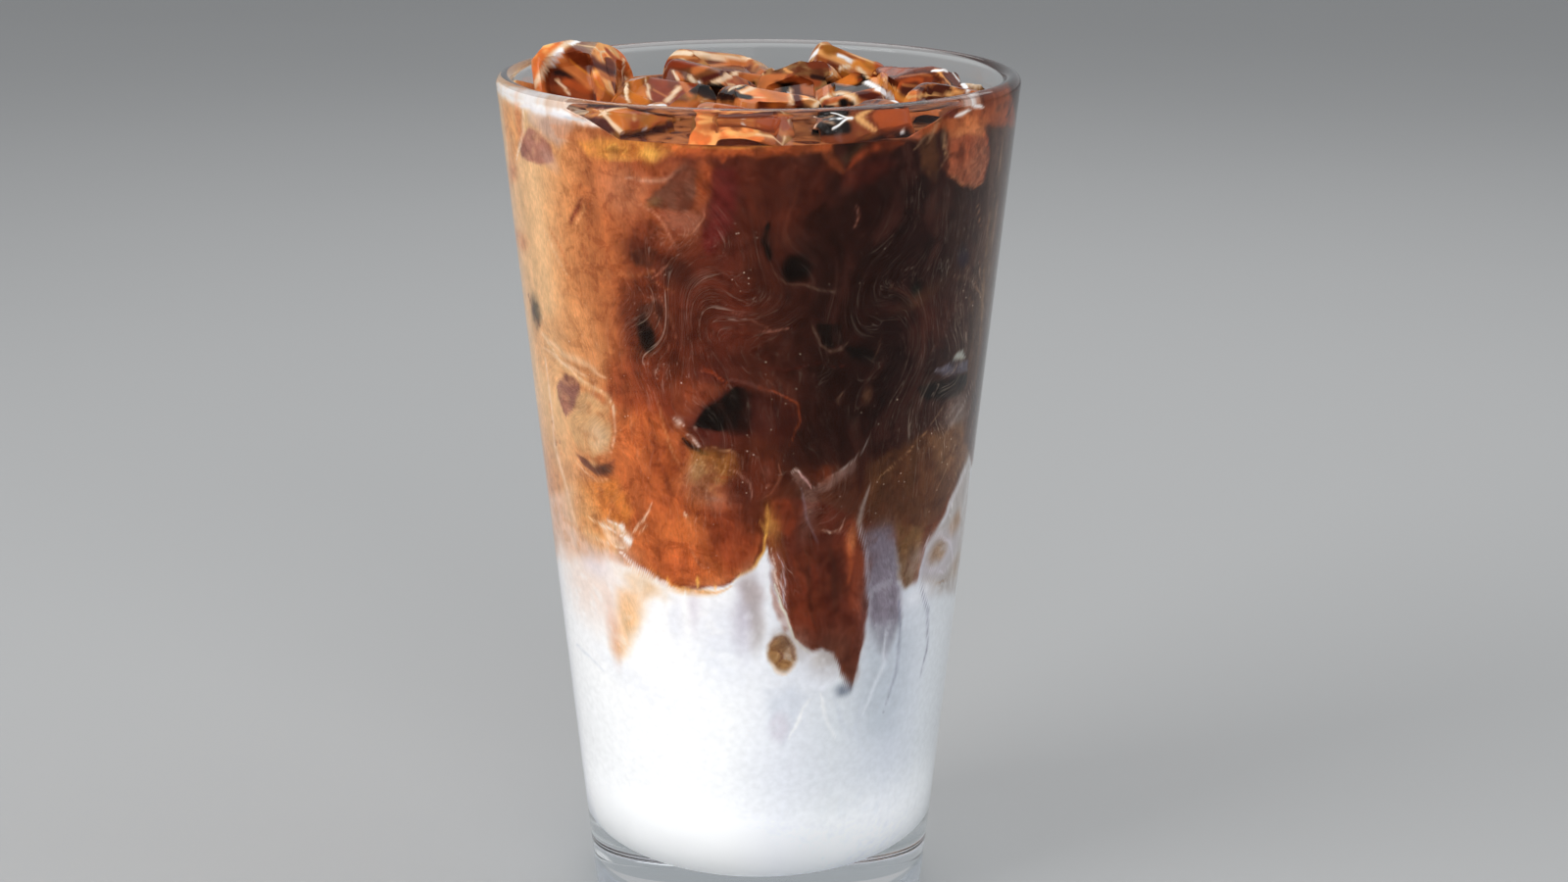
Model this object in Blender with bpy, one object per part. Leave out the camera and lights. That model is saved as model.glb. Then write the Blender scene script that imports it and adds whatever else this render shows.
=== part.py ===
"""An iced latte in a tapered mixing glass: milk below, coffee above, ice standing out of the coffee.

The glass is turned. The milk and the coffee are solids that meet at a wavy border of tongues,
and each ice cube sits in its own pocket in the coffee.
"""

import math

import bmesh
import bpy
from mathutils import Euler, Matrix, Vector

# Driving dimensions, in metres. The origin is the centre of the glass's foot.
HEIGHT = 0.149
RIM_RADIUS = 0.0445
FOOT_RADIUS = 0.030
WALL_AT_RIM = 0.0030
WALL_AT_FOOT = 0.0040
BASE_THICKNESS = 0.010
FLOOR_CURVE = 0.015
FOOT_ROUND = 0.0015
PUSH_UP_DEPTH = 0.0018
PUSH_UP_RADIUS = 0.022
PUSH_UP_SLOPE = 0.004
LEVEL = 0.1425
GAP = 0.0003
POCKET_GAP = 0.00045

# The ice is given in millimetres.
MM = 0.001

# How finely the round parts are cut.
GLASS_SEGMENTS = 64
DRINK_SEGMENTS = 48
ARC_STEPS = 6
ICE_CUTS = 3

# The border of milk and coffee: its mean height, and its tongues along the wall.
# Each tongue is an azimuth and a half-width in degrees, and its rise in metres. A tongue of
# coffee reaches down into the milk, so its rise is negative.
BORDER_HEIGHT = 0.066
TONGUES = (
    (-158, 12, 0.005),
    (-131, 9, -0.011),
    (-110, 9, 0.002),
    (-87, 6, 0.010),
    (-69, 9, -0.014),
    (-56, 6, 0.010),
    (-27, 10, 0.013),
    (-9, 9, -0.007),
    (22, 12, 0.006),
    (52, 10, -0.010),
    (84, 12, 0.008),
    (118, 10, -0.008),
    (150, 12, 0.006),
    (177, 9, -0.006),
)

# The tongues fade towards the axis, by this power of the share of the radius. The border is cut at
# these shares of it.
TONGUE_FADE = 1.5
BORDER_SHARES = (1.0, 0.82, 0.6, 0.35)

# An ice cube is square to this power. Each face is dished by this share of its half-size, and the
# dish is flat to this power.
ICE_SQUARENESS = 5.0
ICE_DISH = 0.36
ICE_DISH_FLATNESS = 4

# The ice cubes. Each has its place, its size and its turn. The place is the azimuth in degrees, and
# the distance from the axis and the height of the centre in millimetres. The size, in millimetres,
# runs towards the wall, along it and up. The turn, in degrees, is about the same three directions.
ICE = (
    # The tall lump at the left, which stands over the rim.
    ((168, 30.3, 143.0), (14, 17, 16), (28, 12, 8)),
    # The cube with the upright bar, in front of it.
    ((-153, 18.6, 141.0), (13, 13, 15), (-22, 18, 26)),
    # The back row, from left to right.
    ((104, 29.8, 139.5), (15, 17, 14), (8, -8, 6)),
    ((62, 30.2, 140.5), (13, 13, 15), (22, 14, 28)),
    ((24, 30.5, 139.5), (13, 16, 15), (-10, 10, -6)),
    # The middle of the heap.
    ((138, 13.0, 140.5), (13, 13, 14), (16, -12, 20)),
    ((54, 13.2, 141.0), (12, 12, 13), (-12, 20, 12)),
    ((-86, 14.2, 140.5), (13, 14, 13), (-14, -10, 16)),
    ((-17, 17.8, 140.8), (12, 12, 14), (16, -12, 14)),
    # The front row against the wall, from left to right.
    ((-156, 34.8, 136.6), (8, 12, 13), (8, 4, 4)),
    ((-131, 32.4, 138.8), (12, 12, 14), (10, 6, -8)),
    ((-96, 31.8, 138.8), (12, 15, 14), (-10, 8, 6)),
    ((-59, 31.2, 139.0), (13, 14, 14), (14, -8, -8)),
    ((-24, 32.8, 139.0), (12, 14, 15), (6, 6, 4)),
    # A chip at the right wall.
    ((-2, 36.3, 141.0), (5, 6, 10), (10, 8, 20)),
)


def clear_scene():
    """Removes every object that is in the file already."""
    for thing in list(bpy.data.objects):
        bpy.data.objects.remove(thing)


def material(name, colour, roughness, transmission=0.0, ior=1.45):
    """A Principled material with the part's own colour."""
    finish = bpy.data.materials.new(name)
    finish.use_nodes = True
    shader = finish.node_tree.nodes["Principled BSDF"]
    shader.inputs["Base Color"].default_value = (*colour, 1.0)
    shader.inputs["Roughness"].default_value = roughness
    shader.inputs["Metallic"].default_value = 0.0
    shader.inputs["Transmission Weight"].default_value = transmission
    shader.inputs["IOR"].default_value = ior
    return finish


def object_from(name, mesh, finish):
    """Turns a bmesh into a named, smooth object with outward faces, and returns it."""
    bmesh.ops.recalc_face_normals(mesh, faces=mesh.faces)
    data = bpy.data.meshes.new(name)
    mesh.to_mesh(data)
    mesh.free()
    data.materials.append(finish)
    data.shade_smooth()
    thing = bpy.data.objects.new(name, data)
    bpy.context.scene.collection.objects.link(thing)
    return thing


def outer_radius(height):
    """The glass's outside, a straight taper from foot to rim."""
    return FOOT_RADIUS + (RIM_RADIUS - FOOT_RADIUS) * height / HEIGHT


def inner_radius(height):
    """The glass's inside, whose wall thins from the foot to the rim."""
    wall = WALL_AT_FOOT + (WALL_AT_RIM - WALL_AT_FOOT) * height / HEIGHT
    return outer_radius(height) - wall


def arc(centre, radius, start, end):
    """Points on an arc about (radius, height), its angles in degrees, both ends included."""
    turns = [start + (end - start) * step / ARC_STEPS for step in range(ARC_STEPS + 1)]
    return [
        (
            centre[0] + radius * math.cos(math.radians(turn)),
            centre[1] + radius * math.sin(math.radians(turn)),
        )
        for turn in turns
    ]


def bowl_profile(inset):
    """The inside of the glass from the axis out to where its wall runs straight, inset into the hollow."""
    curve_top = BASE_THICKNESS + FLOOR_CURVE
    radius = FLOOR_CURVE - inset
    centre = (inner_radius(curve_top) - FLOOR_CURVE, curve_top)
    return [(0.0, BASE_THICKNESS + inset)] + arc(centre, radius, -90, 0)


def glass_profile():
    """The wall's section: up the inside, over the rim, down the outside and back under the foot."""
    lip = WALL_AT_RIM / 2
    lip_centre = (RIM_RADIUS - lip, HEIGHT - lip)
    foot_centre = (outer_radius(FOOT_ROUND) - FOOT_ROUND, FOOT_ROUND)
    under = [(PUSH_UP_RADIUS, 0.0), (PUSH_UP_RADIUS - PUSH_UP_SLOPE, PUSH_UP_DEPTH), (0.0, PUSH_UP_DEPTH)]
    return bowl_profile(0.0) + arc(lip_centre, lip, 180, 0) + arc(foot_centre, FOOT_ROUND, 0, -90) + under


def make_glass(finish):
    """The mixing glass, its section turned about Z by a Screw modifier."""
    mesh = bmesh.new()
    points = [mesh.verts.new((radius, 0.0, height)) for radius, height in glass_profile()]
    for first, second in zip(points, points[1:]):
        mesh.edges.new((first, second))
    thing = object_from("glass", mesh, finish)
    turn = thing.modifiers.new("turn", "SCREW")
    turn.steps = GLASS_SEGMENTS
    turn.render_steps = GLASS_SEGMENTS
    turn.use_merge_vertices = True
    turn.merge_threshold = 0.00001
    turn.use_smooth_shade = True
    return thing


def border_height(share, azimuth):
    """The height of the border of milk and coffee, at a share of the radius and an azimuth in degrees."""
    rise = 0.0
    for centre, width, height in TONGUES:
        away = (azimuth - centre + 180) % 360 - 180
        rise += height * math.exp(-((away / width) ** 2))
    return BORDER_HEIGHT + rise * share**TONGUE_FADE


def turned_solid(profile_at):
    """A closed bmesh through one section for each azimuth, whose first and last points are on the axis."""
    mesh = bmesh.new()
    azimuths = [360 * step / DRINK_SEGMENTS - 180 for step in range(DRINK_SEGMENTS)]
    sections = [profile_at(azimuth) for azimuth in azimuths]
    first = mesh.verts.new((0.0, 0.0, sections[0][0][1]))
    last = mesh.verts.new((0.0, 0.0, sections[0][-1][1]))
    columns = []
    for azimuth, section in zip(azimuths, sections):
        x, y = math.cos(math.radians(azimuth)), math.sin(math.radians(azimuth))
        columns.append([mesh.verts.new((radius * x, radius * y, height)) for radius, height in section[1:-1]])
    for left, right in zip(columns, columns[1:] + columns[:1]):
        mesh.faces.new((first, right[0], left[0]))
        mesh.faces.new((last, left[-1], right[-1]))
        for step in range(len(left) - 1):
            mesh.faces.new((left[step], right[step], right[step + 1], left[step + 1]))
    bmesh.ops.triangulate(mesh, faces=[face for face in mesh.faces if len(face.verts) == 4])
    return mesh


def milk_section(azimuth):
    """The milk's section: out along the glass's floor, up its wall and in along the border."""
    section = bowl_profile(GAP)
    for share in BORDER_SHARES:
        height = border_height(share, azimuth)
        section.append((share * (inner_radius(height) - GAP), height))
    return section + [(0.0, BORDER_HEIGHT)]


def coffee_section(azimuth):
    """The coffee's section: out along the border, up the wall to the level and in along the surface."""
    section = [(0.0, BORDER_HEIGHT + GAP)]
    for share in reversed(BORDER_SHARES):
        height = border_height(share, azimuth)
        section.append((share * (inner_radius(height) - GAP), height + GAP))
    return section + [(inner_radius(LEVEL) - GAP, LEVEL), (0.0, LEVEL)]


def melted(corner):
    """A point of a cube of half-size 1, with its edges rounded and its faces dished."""
    power = ICE_SQUARENESS
    length = sum(abs(value) ** power for value in corner) ** (1 / power)
    point = Vector(corner) * 2 ** (1 / power) / length
    for axis in range(3):
        on_this_face = abs(corner[axis]) > 1 - 1e-6
        if on_this_face:
            across, along = corner[axis - 1], corner[axis - 2]
            bowl = (1 - across**ICE_DISH_FLATNESS) * (1 - along**ICE_DISH_FLATNESS)
            point[axis] *= 1 - ICE_DISH * bowl
    return point


def ice_cube(name, place, finish, grow=0.0):
    """A melted cube at its place. Grown along its normals, it is the pocket that it sits in."""
    (azimuth, distance, height), size, turn = place
    mesh = bmesh.new()
    bmesh.ops.create_cube(mesh, size=2.0)
    bmesh.ops.subdivide_edges(mesh, edges=mesh.edges[:], cuts=ICE_CUTS, use_grid_fill=True)
    half = Matrix.Diagonal([side * MM / 2 for side in size])
    turned = Euler([math.radians(angle) for angle in turn]).to_matrix()
    about_axis = Matrix.Rotation(math.radians(azimuth), 3, "Z")
    centre = Vector((distance * MM, 0.0, height * MM))
    for vertex in mesh.verts:
        vertex.co = about_axis @ (turned @ half @ melted(vertex.co) + centre)
    bmesh.ops.triangulate(mesh, faces=mesh.faces, quad_method="FIXED")
    mesh.normal_update()
    for vertex, normal in [(vertex, vertex.normal.copy()) for vertex in mesh.verts]:
        vertex.co += normal * grow
    return object_from(name, mesh, finish)


def make_coffee(finish):
    """The coffee, with a pocket cut round each ice cube."""
    coffee = object_from("coffee", turned_solid(coffee_section), finish)
    for number, place in enumerate(ICE, 1):
        pocket = ice_cube(f"pocket_{number:02d}", place, finish, grow=POCKET_GAP)
        pocket.hide_render = True
        pocket.display_type = "WIRE"
        cut = coffee.modifiers.new(pocket.name, "BOOLEAN")
        cut.operation = "DIFFERENCE"
        cut.object = pocket
    return coffee


def main():
    """Builds the glass, the milk, the coffee and the ice."""
    clear_scene()
    make_glass(material("clear_glass", (0.95, 0.97, 0.97), 0.02, transmission=1.0, ior=1.5))
    object_from("milk", turned_solid(milk_section), material("milk", (0.90, 0.90, 0.92), 0.30))
    make_coffee(material("coffee", (0.27, 0.09, 0.03), 0.18))
    ice_finish = material("ice", (0.62, 0.30, 0.12), 0.08, transmission=0.5, ior=1.31)
    for number, place in enumerate(ICE, 1):
        ice_cube(f"ice_{number:02d}", place, ice_finish)


main()
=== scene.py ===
"""Dresses the packed iced latte: clear glass, milk and coffee with their swirls, and coated ice.

Every piece is a surface worked out with numpy as whole arrays. Lengths are metres unless a name or
a docstring says millimetres. Azimuths are degrees about +Z, and the photographed side is at -90.
"""

import itertools
import logging
import math
from dataclasses import dataclass, field
from enum import Enum, IntEnum
from typing import ClassVar, Sequence

import bpy
import numpy as np
from mathutils import Euler, Matrix, Vector


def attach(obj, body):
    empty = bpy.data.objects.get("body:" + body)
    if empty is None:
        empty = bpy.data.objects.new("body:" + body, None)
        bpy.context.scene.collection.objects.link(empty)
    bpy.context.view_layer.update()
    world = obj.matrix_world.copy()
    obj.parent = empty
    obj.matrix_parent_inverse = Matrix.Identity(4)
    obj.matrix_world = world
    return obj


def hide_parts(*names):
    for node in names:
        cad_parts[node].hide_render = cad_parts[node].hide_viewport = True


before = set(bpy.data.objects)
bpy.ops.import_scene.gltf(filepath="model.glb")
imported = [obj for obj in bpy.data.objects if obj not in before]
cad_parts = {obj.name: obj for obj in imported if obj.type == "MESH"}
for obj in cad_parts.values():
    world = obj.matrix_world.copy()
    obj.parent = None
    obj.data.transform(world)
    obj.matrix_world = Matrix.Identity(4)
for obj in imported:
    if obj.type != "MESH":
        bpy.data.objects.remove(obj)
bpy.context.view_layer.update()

LOG = logging.getLogger("iced_latte")

MM = 0.001
BODY = "root"
SHARP_ANGLE = 50.0
HALF_TURN = 180.0
FULL_TURN = 360.0
FAR = 1e9
TINY = 1e-9
TABLE_SIZE = 4096
TABLE_PRIMES = (73856093, 19349663, 83492791)
TINT = "Tint"
THREADS = "Threads"
FLOW = "Flow"

Array = np.ndarray
Node = bpy.types.Node
Socket = bpy.types.NodeSocket
Thing = bpy.types.Object
Colour = tuple[float, float, float, float]
Pair = tuple[float, float]
Triple = tuple[float, float, float]


class Seed(IntEnum):
    """The seeds of the noises and the draws. A cube of ice adds its number to its own."""

    WASH = 7
    BACK_MARKS = 23
    SIDEWAYS = 27
    UPWARDS = 37
    FILM = 41
    ACROSS = 47
    ALONG = 57
    THREADS = 67
    STREAKS = 77
    SPOTS = 87
    VEILS = 92
    THIN_SPOTS = 97
    BORDER = 102
    ICE_BOWLS = 100
    ICE_GRAIN = 200
    ICE_BLOTCHES = 300
    ICE_VEINS = 400
    ICE_EDGES = 500
    STROKES = 610
    CHIP_TONES = 700
    HOLLOWS = 800
    CHIPS = 900


class Tone(Enum):
    """The drink's and the ice's colours in white light, in display values from 0 to 255."""

    MILK = (251, 251, 252)
    MILK_COOL = (235, 237, 244)
    LILAC_PALE = (220, 212, 222)
    MILK_DIM = (224, 228, 233)
    MILK_SHADE = (212, 217, 227)
    MILK_GREY = (180, 188, 197)
    SLATE = (128, 128, 148)
    SLATE_BLUE = (104, 112, 128)
    SLATE_DARK = (92, 88, 102)
    STEEL = (172, 176, 168)
    INK = (34, 22, 32)
    LAVENDER_DIM = (116, 106, 118)
    LAVENDER_DARK = (104, 88, 92)
    LAVENDER = (150, 140, 160)
    LILAC = (196, 190, 202)
    LILAC_GREY = (158, 142, 134)
    PALE_GREEN = (222, 220, 204)
    PALE_CREAM = (240, 214, 188)
    PINK_BRIGHT = (216, 170, 164)
    DUSTY_PINK = (190, 158, 142)
    CREAM = (244, 224, 198)
    BLUSH = (236, 212, 198)
    PALE_TAN = (228, 184, 134)
    KHAKI = (206, 164, 116)
    TAN = (214, 150, 96)
    TAN_DEEP = (207, 139, 85)
    AMBER = (226, 150, 68)
    AMBER_DEEP = (212, 128, 54)
    GOLD = (240, 178, 84)
    OCHRE = (158, 104, 44)
    APRICOT = (238, 182, 124)
    CARAMEL = (200, 122, 72)
    ORANGE = (202, 98, 48)
    RUST = (172, 84, 42)
    BRICK = (134, 56, 28)
    CHESTNUT = (112, 52, 30)
    ROSEWOOD = (92, 38, 28)
    RUST_BRIGHT = (190, 100, 50)
    BRICK_BRIGHT = (150, 76, 42)
    CARAMEL_DEEP = (180, 101, 56)
    CARAMEL_GREY = (162, 118, 80)
    ORANGE_BROWN = (168, 92, 60)
    TOFFEE = (188, 106, 58)
    PINK_TAN = (214, 168, 146)
    ROSE_TAN = (200, 134, 102)
    ROSE_BROWN = (150, 96, 78)
    RED_ORANGE = (192, 82, 42)
    TERRACOTTA = (174, 96, 66)
    SIENNA_RED = (132, 62, 38)
    KHAKI_GREY = (158, 124, 94)
    BROWN_GREY = (98, 74, 60)
    MAUVE_DARK = (132, 84, 74)
    MAUVE_GREY = (136, 104, 94)
    COFFEE_OLIVE = (148, 104, 60)
    COCOA = (106, 64, 48)
    MAUVE = (164, 106, 90)
    PLUM = (120, 78, 70)
    UMBER = (74, 32, 20)
    CHESTNUT_DEEP = (96, 42, 24)
    SIENNA = (92, 38, 24)
    MAROON = (80, 30, 20)
    WINE = (96, 32, 28)
    BARK = (60, 34, 24)
    BARK_WARM = (92, 56, 32)
    OLIVE = (44, 38, 24)
    OLIVE_BROWN = (118, 86, 52)
    DARK = (42, 19, 13)
    DARKEST = (33, 14, 10)
    NIGHT = (14, 7, 5)
    NIGHT_GREEN = (20, 20, 12)

    @property
    def display(self) -> Array:
        """The tone as three display values from 0 to 1."""
        return np.array(self.value, float) / 255.0

    @property
    def linear(self) -> Colour:
        """The tone as a linear colour with full alpha, for a shader's socket."""
        red, green, blue = linear_from_display(self.display)
        return (float(red), float(green), float(blue), 1.0)


def linear_from_display(colour: Array) -> Array:
    """Turns display values into linear light.

    Args:
        colour: Values from 0 to 1, in any shape.

    Returns:
        The linear values: a straight line near black, and a power of 2.4 above it.
    """
    return np.where(colour <= 0.04045, colour / 12.92, ((colour + 0.055) / 1.055) ** 2.4)


def smooth(part: Array) -> Array:
    """3t^2 - 2t^3 of a part t of the way from 0 to 1."""
    return part * part * (3.0 - 2.0 * part)


def eased(low: float, high: float, value: Array) -> Array:
    """A smooth step: 0 below low, 1 above high, and 3t^2 - 2t^3 of the way t between them.

    Args:
        low: Where the step starts. It may be above high, which turns the step round.
        high: Where the step ends.
        value: The values to step.

    Returns:
        The eased values, from 0 to 1.
    """
    return smooth(np.clip((value - low) / (high - low), 0.0, 1.0))


def laid(colour: Array, over: Array, share: Array) -> Array:
    """A colour with a share of another laid over it."""
    return colour * (1.0 - share) + over * share


def wrapped(azimuth: Array) -> Array:
    """Azimuths brought to between -180 and 180 degrees."""
    return (azimuth + HALF_TURN) % FULL_TURN - HALF_TURN


def azimuth_of(points: Array) -> Array:
    """The azimuth of each point, in degrees."""
    return np.degrees(np.arctan2(points[:, 1], points[:, 0]))


def lattice_noise(points: Array, cell: float, seed: int) -> Array:
    """Value noise: seeded random values at the corners of a cubic lattice, eased between them.

    Args:
        points: Points, with x, y and z along the last axis.
        cell: The lattice's spacing, in the points' unit.
        seed: Which noise it is.

    Returns:
        One value from -1 to 1 for each point.
    """
    table = np.random.default_rng(seed).uniform(-1.0, 1.0, TABLE_SIZE)
    scaled = np.asarray(points, float) / cell
    base = np.floor(scaled).astype(np.int64)
    part = smooth(scaled - base)
    total = np.zeros(scaled.shape[:-1])
    for corner in itertools.product((0, 1), repeat=3):
        keys = (base + np.array(corner)) * np.array(TABLE_PRIMES)
        index = (keys[..., 0] ^ keys[..., 1] ^ keys[..., 2]) & (TABLE_SIZE - 1)
        weight = np.prod(np.where(np.array(corner) == 1, part, 1.0 - part), axis=-1)
        total += weight * table[index]
    return total


def layered_noise(points: Array, cell: float, seed: int, layers: int = 3) -> Array:
    """Sums lattice noise, each layer with half the cell and half the height of the one before.

    Args:
        points: Points, with x, y and z along the last axis.
        cell: The first layer's spacing.
        seed: The first layer's seed.
        layers: How many layers there are.

    Returns:
        One value for each point, about -1 to 1.
    """
    total = sum(lattice_noise(points, cell / 2**n, seed + n) / 2**n for n in range(layers))
    return np.asarray(total) / (2.0 - 2.0 ** (1 - layers))


def grid_faces(columns: int, rows: int, closed: bool) -> Array:
    """The four-sided faces of a grid whose vertices run row by row.

    Args:
        columns: How many vertices a row has.
        rows: How many rows there are.
        closed: Whether the last column joins the first.

    Returns:
        An array of faces, four vertex numbers each, wound so that with columns turning
        anticlockwise and rows going up, the faces point outwards.
    """
    column = np.arange(columns if closed else columns - 1)
    after = (column + 1) % columns
    row = np.arange(rows - 1)[:, None] * columns
    corners = [row + column, row + after, row + columns + after, row + columns + column]
    return np.stack(corners, axis=-1).reshape(-1, 4)


def pole_fans(columns: int, rows: int) -> Array:
    """The fans of triangles that close a turned grid at its first and last pole.

    Args:
        columns: How many vertices a ring has.
        rows: How many rings there are. The two poles are the vertices after them.

    Returns:
        The triangles, facing the same way as grid_faces.
    """
    column = np.arange(columns)
    after = (column + 1) % columns
    first, last = columns * rows, columns * rows + 1
    top = (rows - 1) * columns
    low = np.stack([np.full(columns, first), after, column], axis=1)
    high = np.stack([np.full(columns, last), top + column, top + after], axis=1)
    return np.concatenate([low, high])


def new_mesh_object(
    name: str,
    points: Array,
    quads: Array,
    triangles: Array | None = None,
    sharp: float = SHARP_ANGLE,
) -> Thing:
    """Makes an object at the origin from arrays of points and faces.

    Args:
        name: The object's name.
        points: The vertices, in metres.
        quads: The four-sided faces.
        triangles: The three-sided faces, if there are any.
        sharp: The angle in degrees from which an edge is sharp.

    Returns:
        The object, smooth-shaded and linked to the scene.
    """
    sides = [quads.reshape(-1, 4)] + ([] if triangles is None else [triangles.reshape(-1, 3)])
    corners = np.concatenate([part.ravel() for part in sides]).astype(np.int32)
    sizes = np.concatenate([np.full(len(part), part.shape[1]) for part in sides])
    starts = np.concatenate([[0], np.cumsum(sizes)[:-1]]).astype(np.int32)
    mesh = bpy.data.meshes.new(name)
    mesh.vertices.add(len(points))
    mesh.vertices.foreach_set("co", np.asarray(points, np.float32).ravel())
    mesh.loops.add(len(corners))
    mesh.loops.foreach_set("vertex_index", corners)
    mesh.polygons.add(len(sizes))
    mesh.polygons.foreach_set("loop_start", starts)
    mesh.update(calc_edges=True)
    mesh.validate()
    mesh.shade_smooth()
    mesh.set_sharp_from_angle(angle=math.radians(sharp))
    thing = bpy.data.objects.new(name, mesh)
    bpy.context.scene.collection.objects.link(thing)
    return thing


def add_colour(thing: Thing, display: Array) -> None:
    """Stores a tint for each vertex.

    Args:
        thing: The object.
        display: One row of three display values for each vertex.
    """
    linear = linear_from_display(np.clip(display, 0.0, 1.0))
    colours = np.concatenate([linear, np.ones((len(linear), 1))], axis=1).astype(np.float32)
    attribute = thing.data.attributes.new(TINT, "FLOAT_COLOR", "POINT")
    attribute.data.foreach_set("color", colours.ravel())


def add_values(thing: Thing, name: str, values: Array) -> None:
    """Stores a number for each vertex, or a row of three.

    Args:
        thing: The object.
        name: The attribute's name.
        values: The numbers or rows.
    """
    kind, key = ("FLOAT_VECTOR", "vector") if values.ndim == 2 else ("FLOAT", "value")
    attribute = thing.data.attributes.new(name, kind, "POINT")
    attribute.data.foreach_set(key, np.asarray(values, np.float32).ravel())


@dataclass(frozen=True)
class Patch:
    """A soft ellipse of one tone on the drink's wall.

    The place is an azimuth in degrees and a height in millimetres. The half-sizes are millimetres,
    turned by tilt degrees, and edge is the share of the size over which the patch fades.
    """

    tone: Tone
    azimuth: float
    height: float
    half_wide: float
    half_high: float
    tilt: float = 0.0
    strength: float = 1.0
    edge: float = 0.6

    def mask(self, around: Array, up: Array) -> Array:
        """How much of the tone each point takes.

        Args:
            around: Millimetres along the wall from the patch's centre.
            up: Millimetres above the patch's centre.

        Returns:
            The strength inside, eased to 0 over the edge. The distance is the length of the
            turned place divided by the half-sizes, so that it is 1 on the ellipse.
        """
        turn = math.radians(self.tilt)
        wide = around * math.cos(turn) + up * math.sin(turn)
        high = up * math.cos(turn) - around * math.sin(turn)
        away = np.hypot(wide / self.half_wide, high / self.half_high)
        return self.strength * eased(1.0 + self.edge, 1.0 - self.edge, away)

    @property
    def middle(self) -> Pair:
        """The patch's azimuth and height."""
        return self.azimuth, self.height

    @property
    def reach(self) -> float:
        """How far the patch goes from its middle, in millimetres."""
        return max(self.half_wide, self.half_high) * (1.0 + self.edge)


@dataclass(frozen=True)
class WallLine:
    """One tone along points of azimuth and height on the wall, soft over some millimetres."""

    tone: Tone
    points: tuple[Pair, ...]
    soft: float
    strength: float = 1.0
    margin: ClassVar[float] = 1.0

    @property
    def middle(self) -> Pair:
        """The mean azimuth and height of the points."""
        azimuth, height = np.mean(np.array(self.points, float), axis=0)
        return float(azimuth), float(height)

    @property
    def path(self) -> Array:
        """The points laid out flat about the middle: millimetres along its circle, and up."""
        path = np.array(self.points, float) - np.array(self.middle)
        path[:, 0] = np.radians(path[:, 0]) * VESSEL.drink_radius(self.middle[1] * MM) / MM
        return path

    @property
    def reach(self) -> float:
        """How far the tone goes from the middle, in millimetres."""
        return float(np.hypot(*self.path.T).max()) + self.margin * self.soft

    @staticmethod
    def nearest(around: Array, up: Array, start: Array, stop: Array) -> tuple[Array, Array]:
        """The place on one straight side that is nearest to each point.

        Args:
            around: Millimetres along the wall from the middle.
            up: Millimetres above the middle.
            start: The side's first end.
            stop: The side's second end.

        Returns:
            The share of the side at which the nearest place lies, and how far off that is.
        """
        side = stop - start
        along = ((around - start[0]) * side[0] + (up - start[1]) * side[1]) / max(side @ side, TINY)
        along = np.clip(along, 0.0, 1.0)
        return along, np.hypot(around - start[0] - along * side[0], up - start[1] - along * side[1])


@dataclass(frozen=True)
class Strand(WallLine):
    """A thin line through the points. Soft is its half-width."""

    margin: ClassVar[float] = 3.0
    least: ClassVar[float] = 0.08

    def mask(self, around: Array, up: Array) -> Array:
        """How much of the tone each point takes.

        Args:
            around: Millimetres along the wall from the strand's middle.
            up: Millimetres above the strand's middle.

        Returns:
            The strength times a bell curve of the distance to the line of points over the
            half-width, which narrows to nearly nothing at the two ends.
        """
        path = self.path
        lengths = np.hypot(*np.diff(path, axis=0).T)
        ends = np.concatenate([[0.0], np.cumsum(lengths)]) / lengths.sum()
        nearest = np.full(around.shape, FAR)
        share = np.zeros(around.shape)
        for start, stop, low, high in zip(path, path[1:], ends, ends[1:]):
            along, away = self.nearest(around, up, start, stop)
            share = np.where(away < nearest, low + (high - low) * along, share)
            nearest = np.minimum(nearest, away)
        width = self.soft * np.clip(4.0 * share * (1.0 - share), self.least, 1.0) ** 0.5
        return self.strength * np.exp(-((nearest / width) ** 2))


@dataclass(frozen=True)
class Blot(WallLine):
    """A closed outline through the points, filled. Soft is the half-width of its edge."""

    def mask(self, around: Array, up: Array) -> Array:
        """How much of the tone each point takes.

        Args:
            around: Millimetres along the wall from the blot's middle.
            up: Millimetres above the blot's middle.

        Returns:
            The strength, eased across the outline by the distance to its nearest side. A point
            is inside where a line to its right crosses the outline an odd number of times.
        """
        path = self.path
        nearest = np.full(around.shape, FAR)
        inside = np.zeros(around.shape, bool)
        for start, stop in zip(path, np.roll(path, -1, axis=0)):
            nearest = np.minimum(nearest, self.nearest(around, up, start, stop)[1])
            side = stop - start
            if abs(side[1]) > TINY:
                crosses = (start[1] > up) != (stop[1] > up)
                inside ^= crosses & (around < start[0] + (up - start[1]) * side[0] / side[1])
        return self.strength * eased(-self.soft, self.soft, np.where(inside, nearest, -nearest))


Mark = Patch | Strand | Blot


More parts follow.
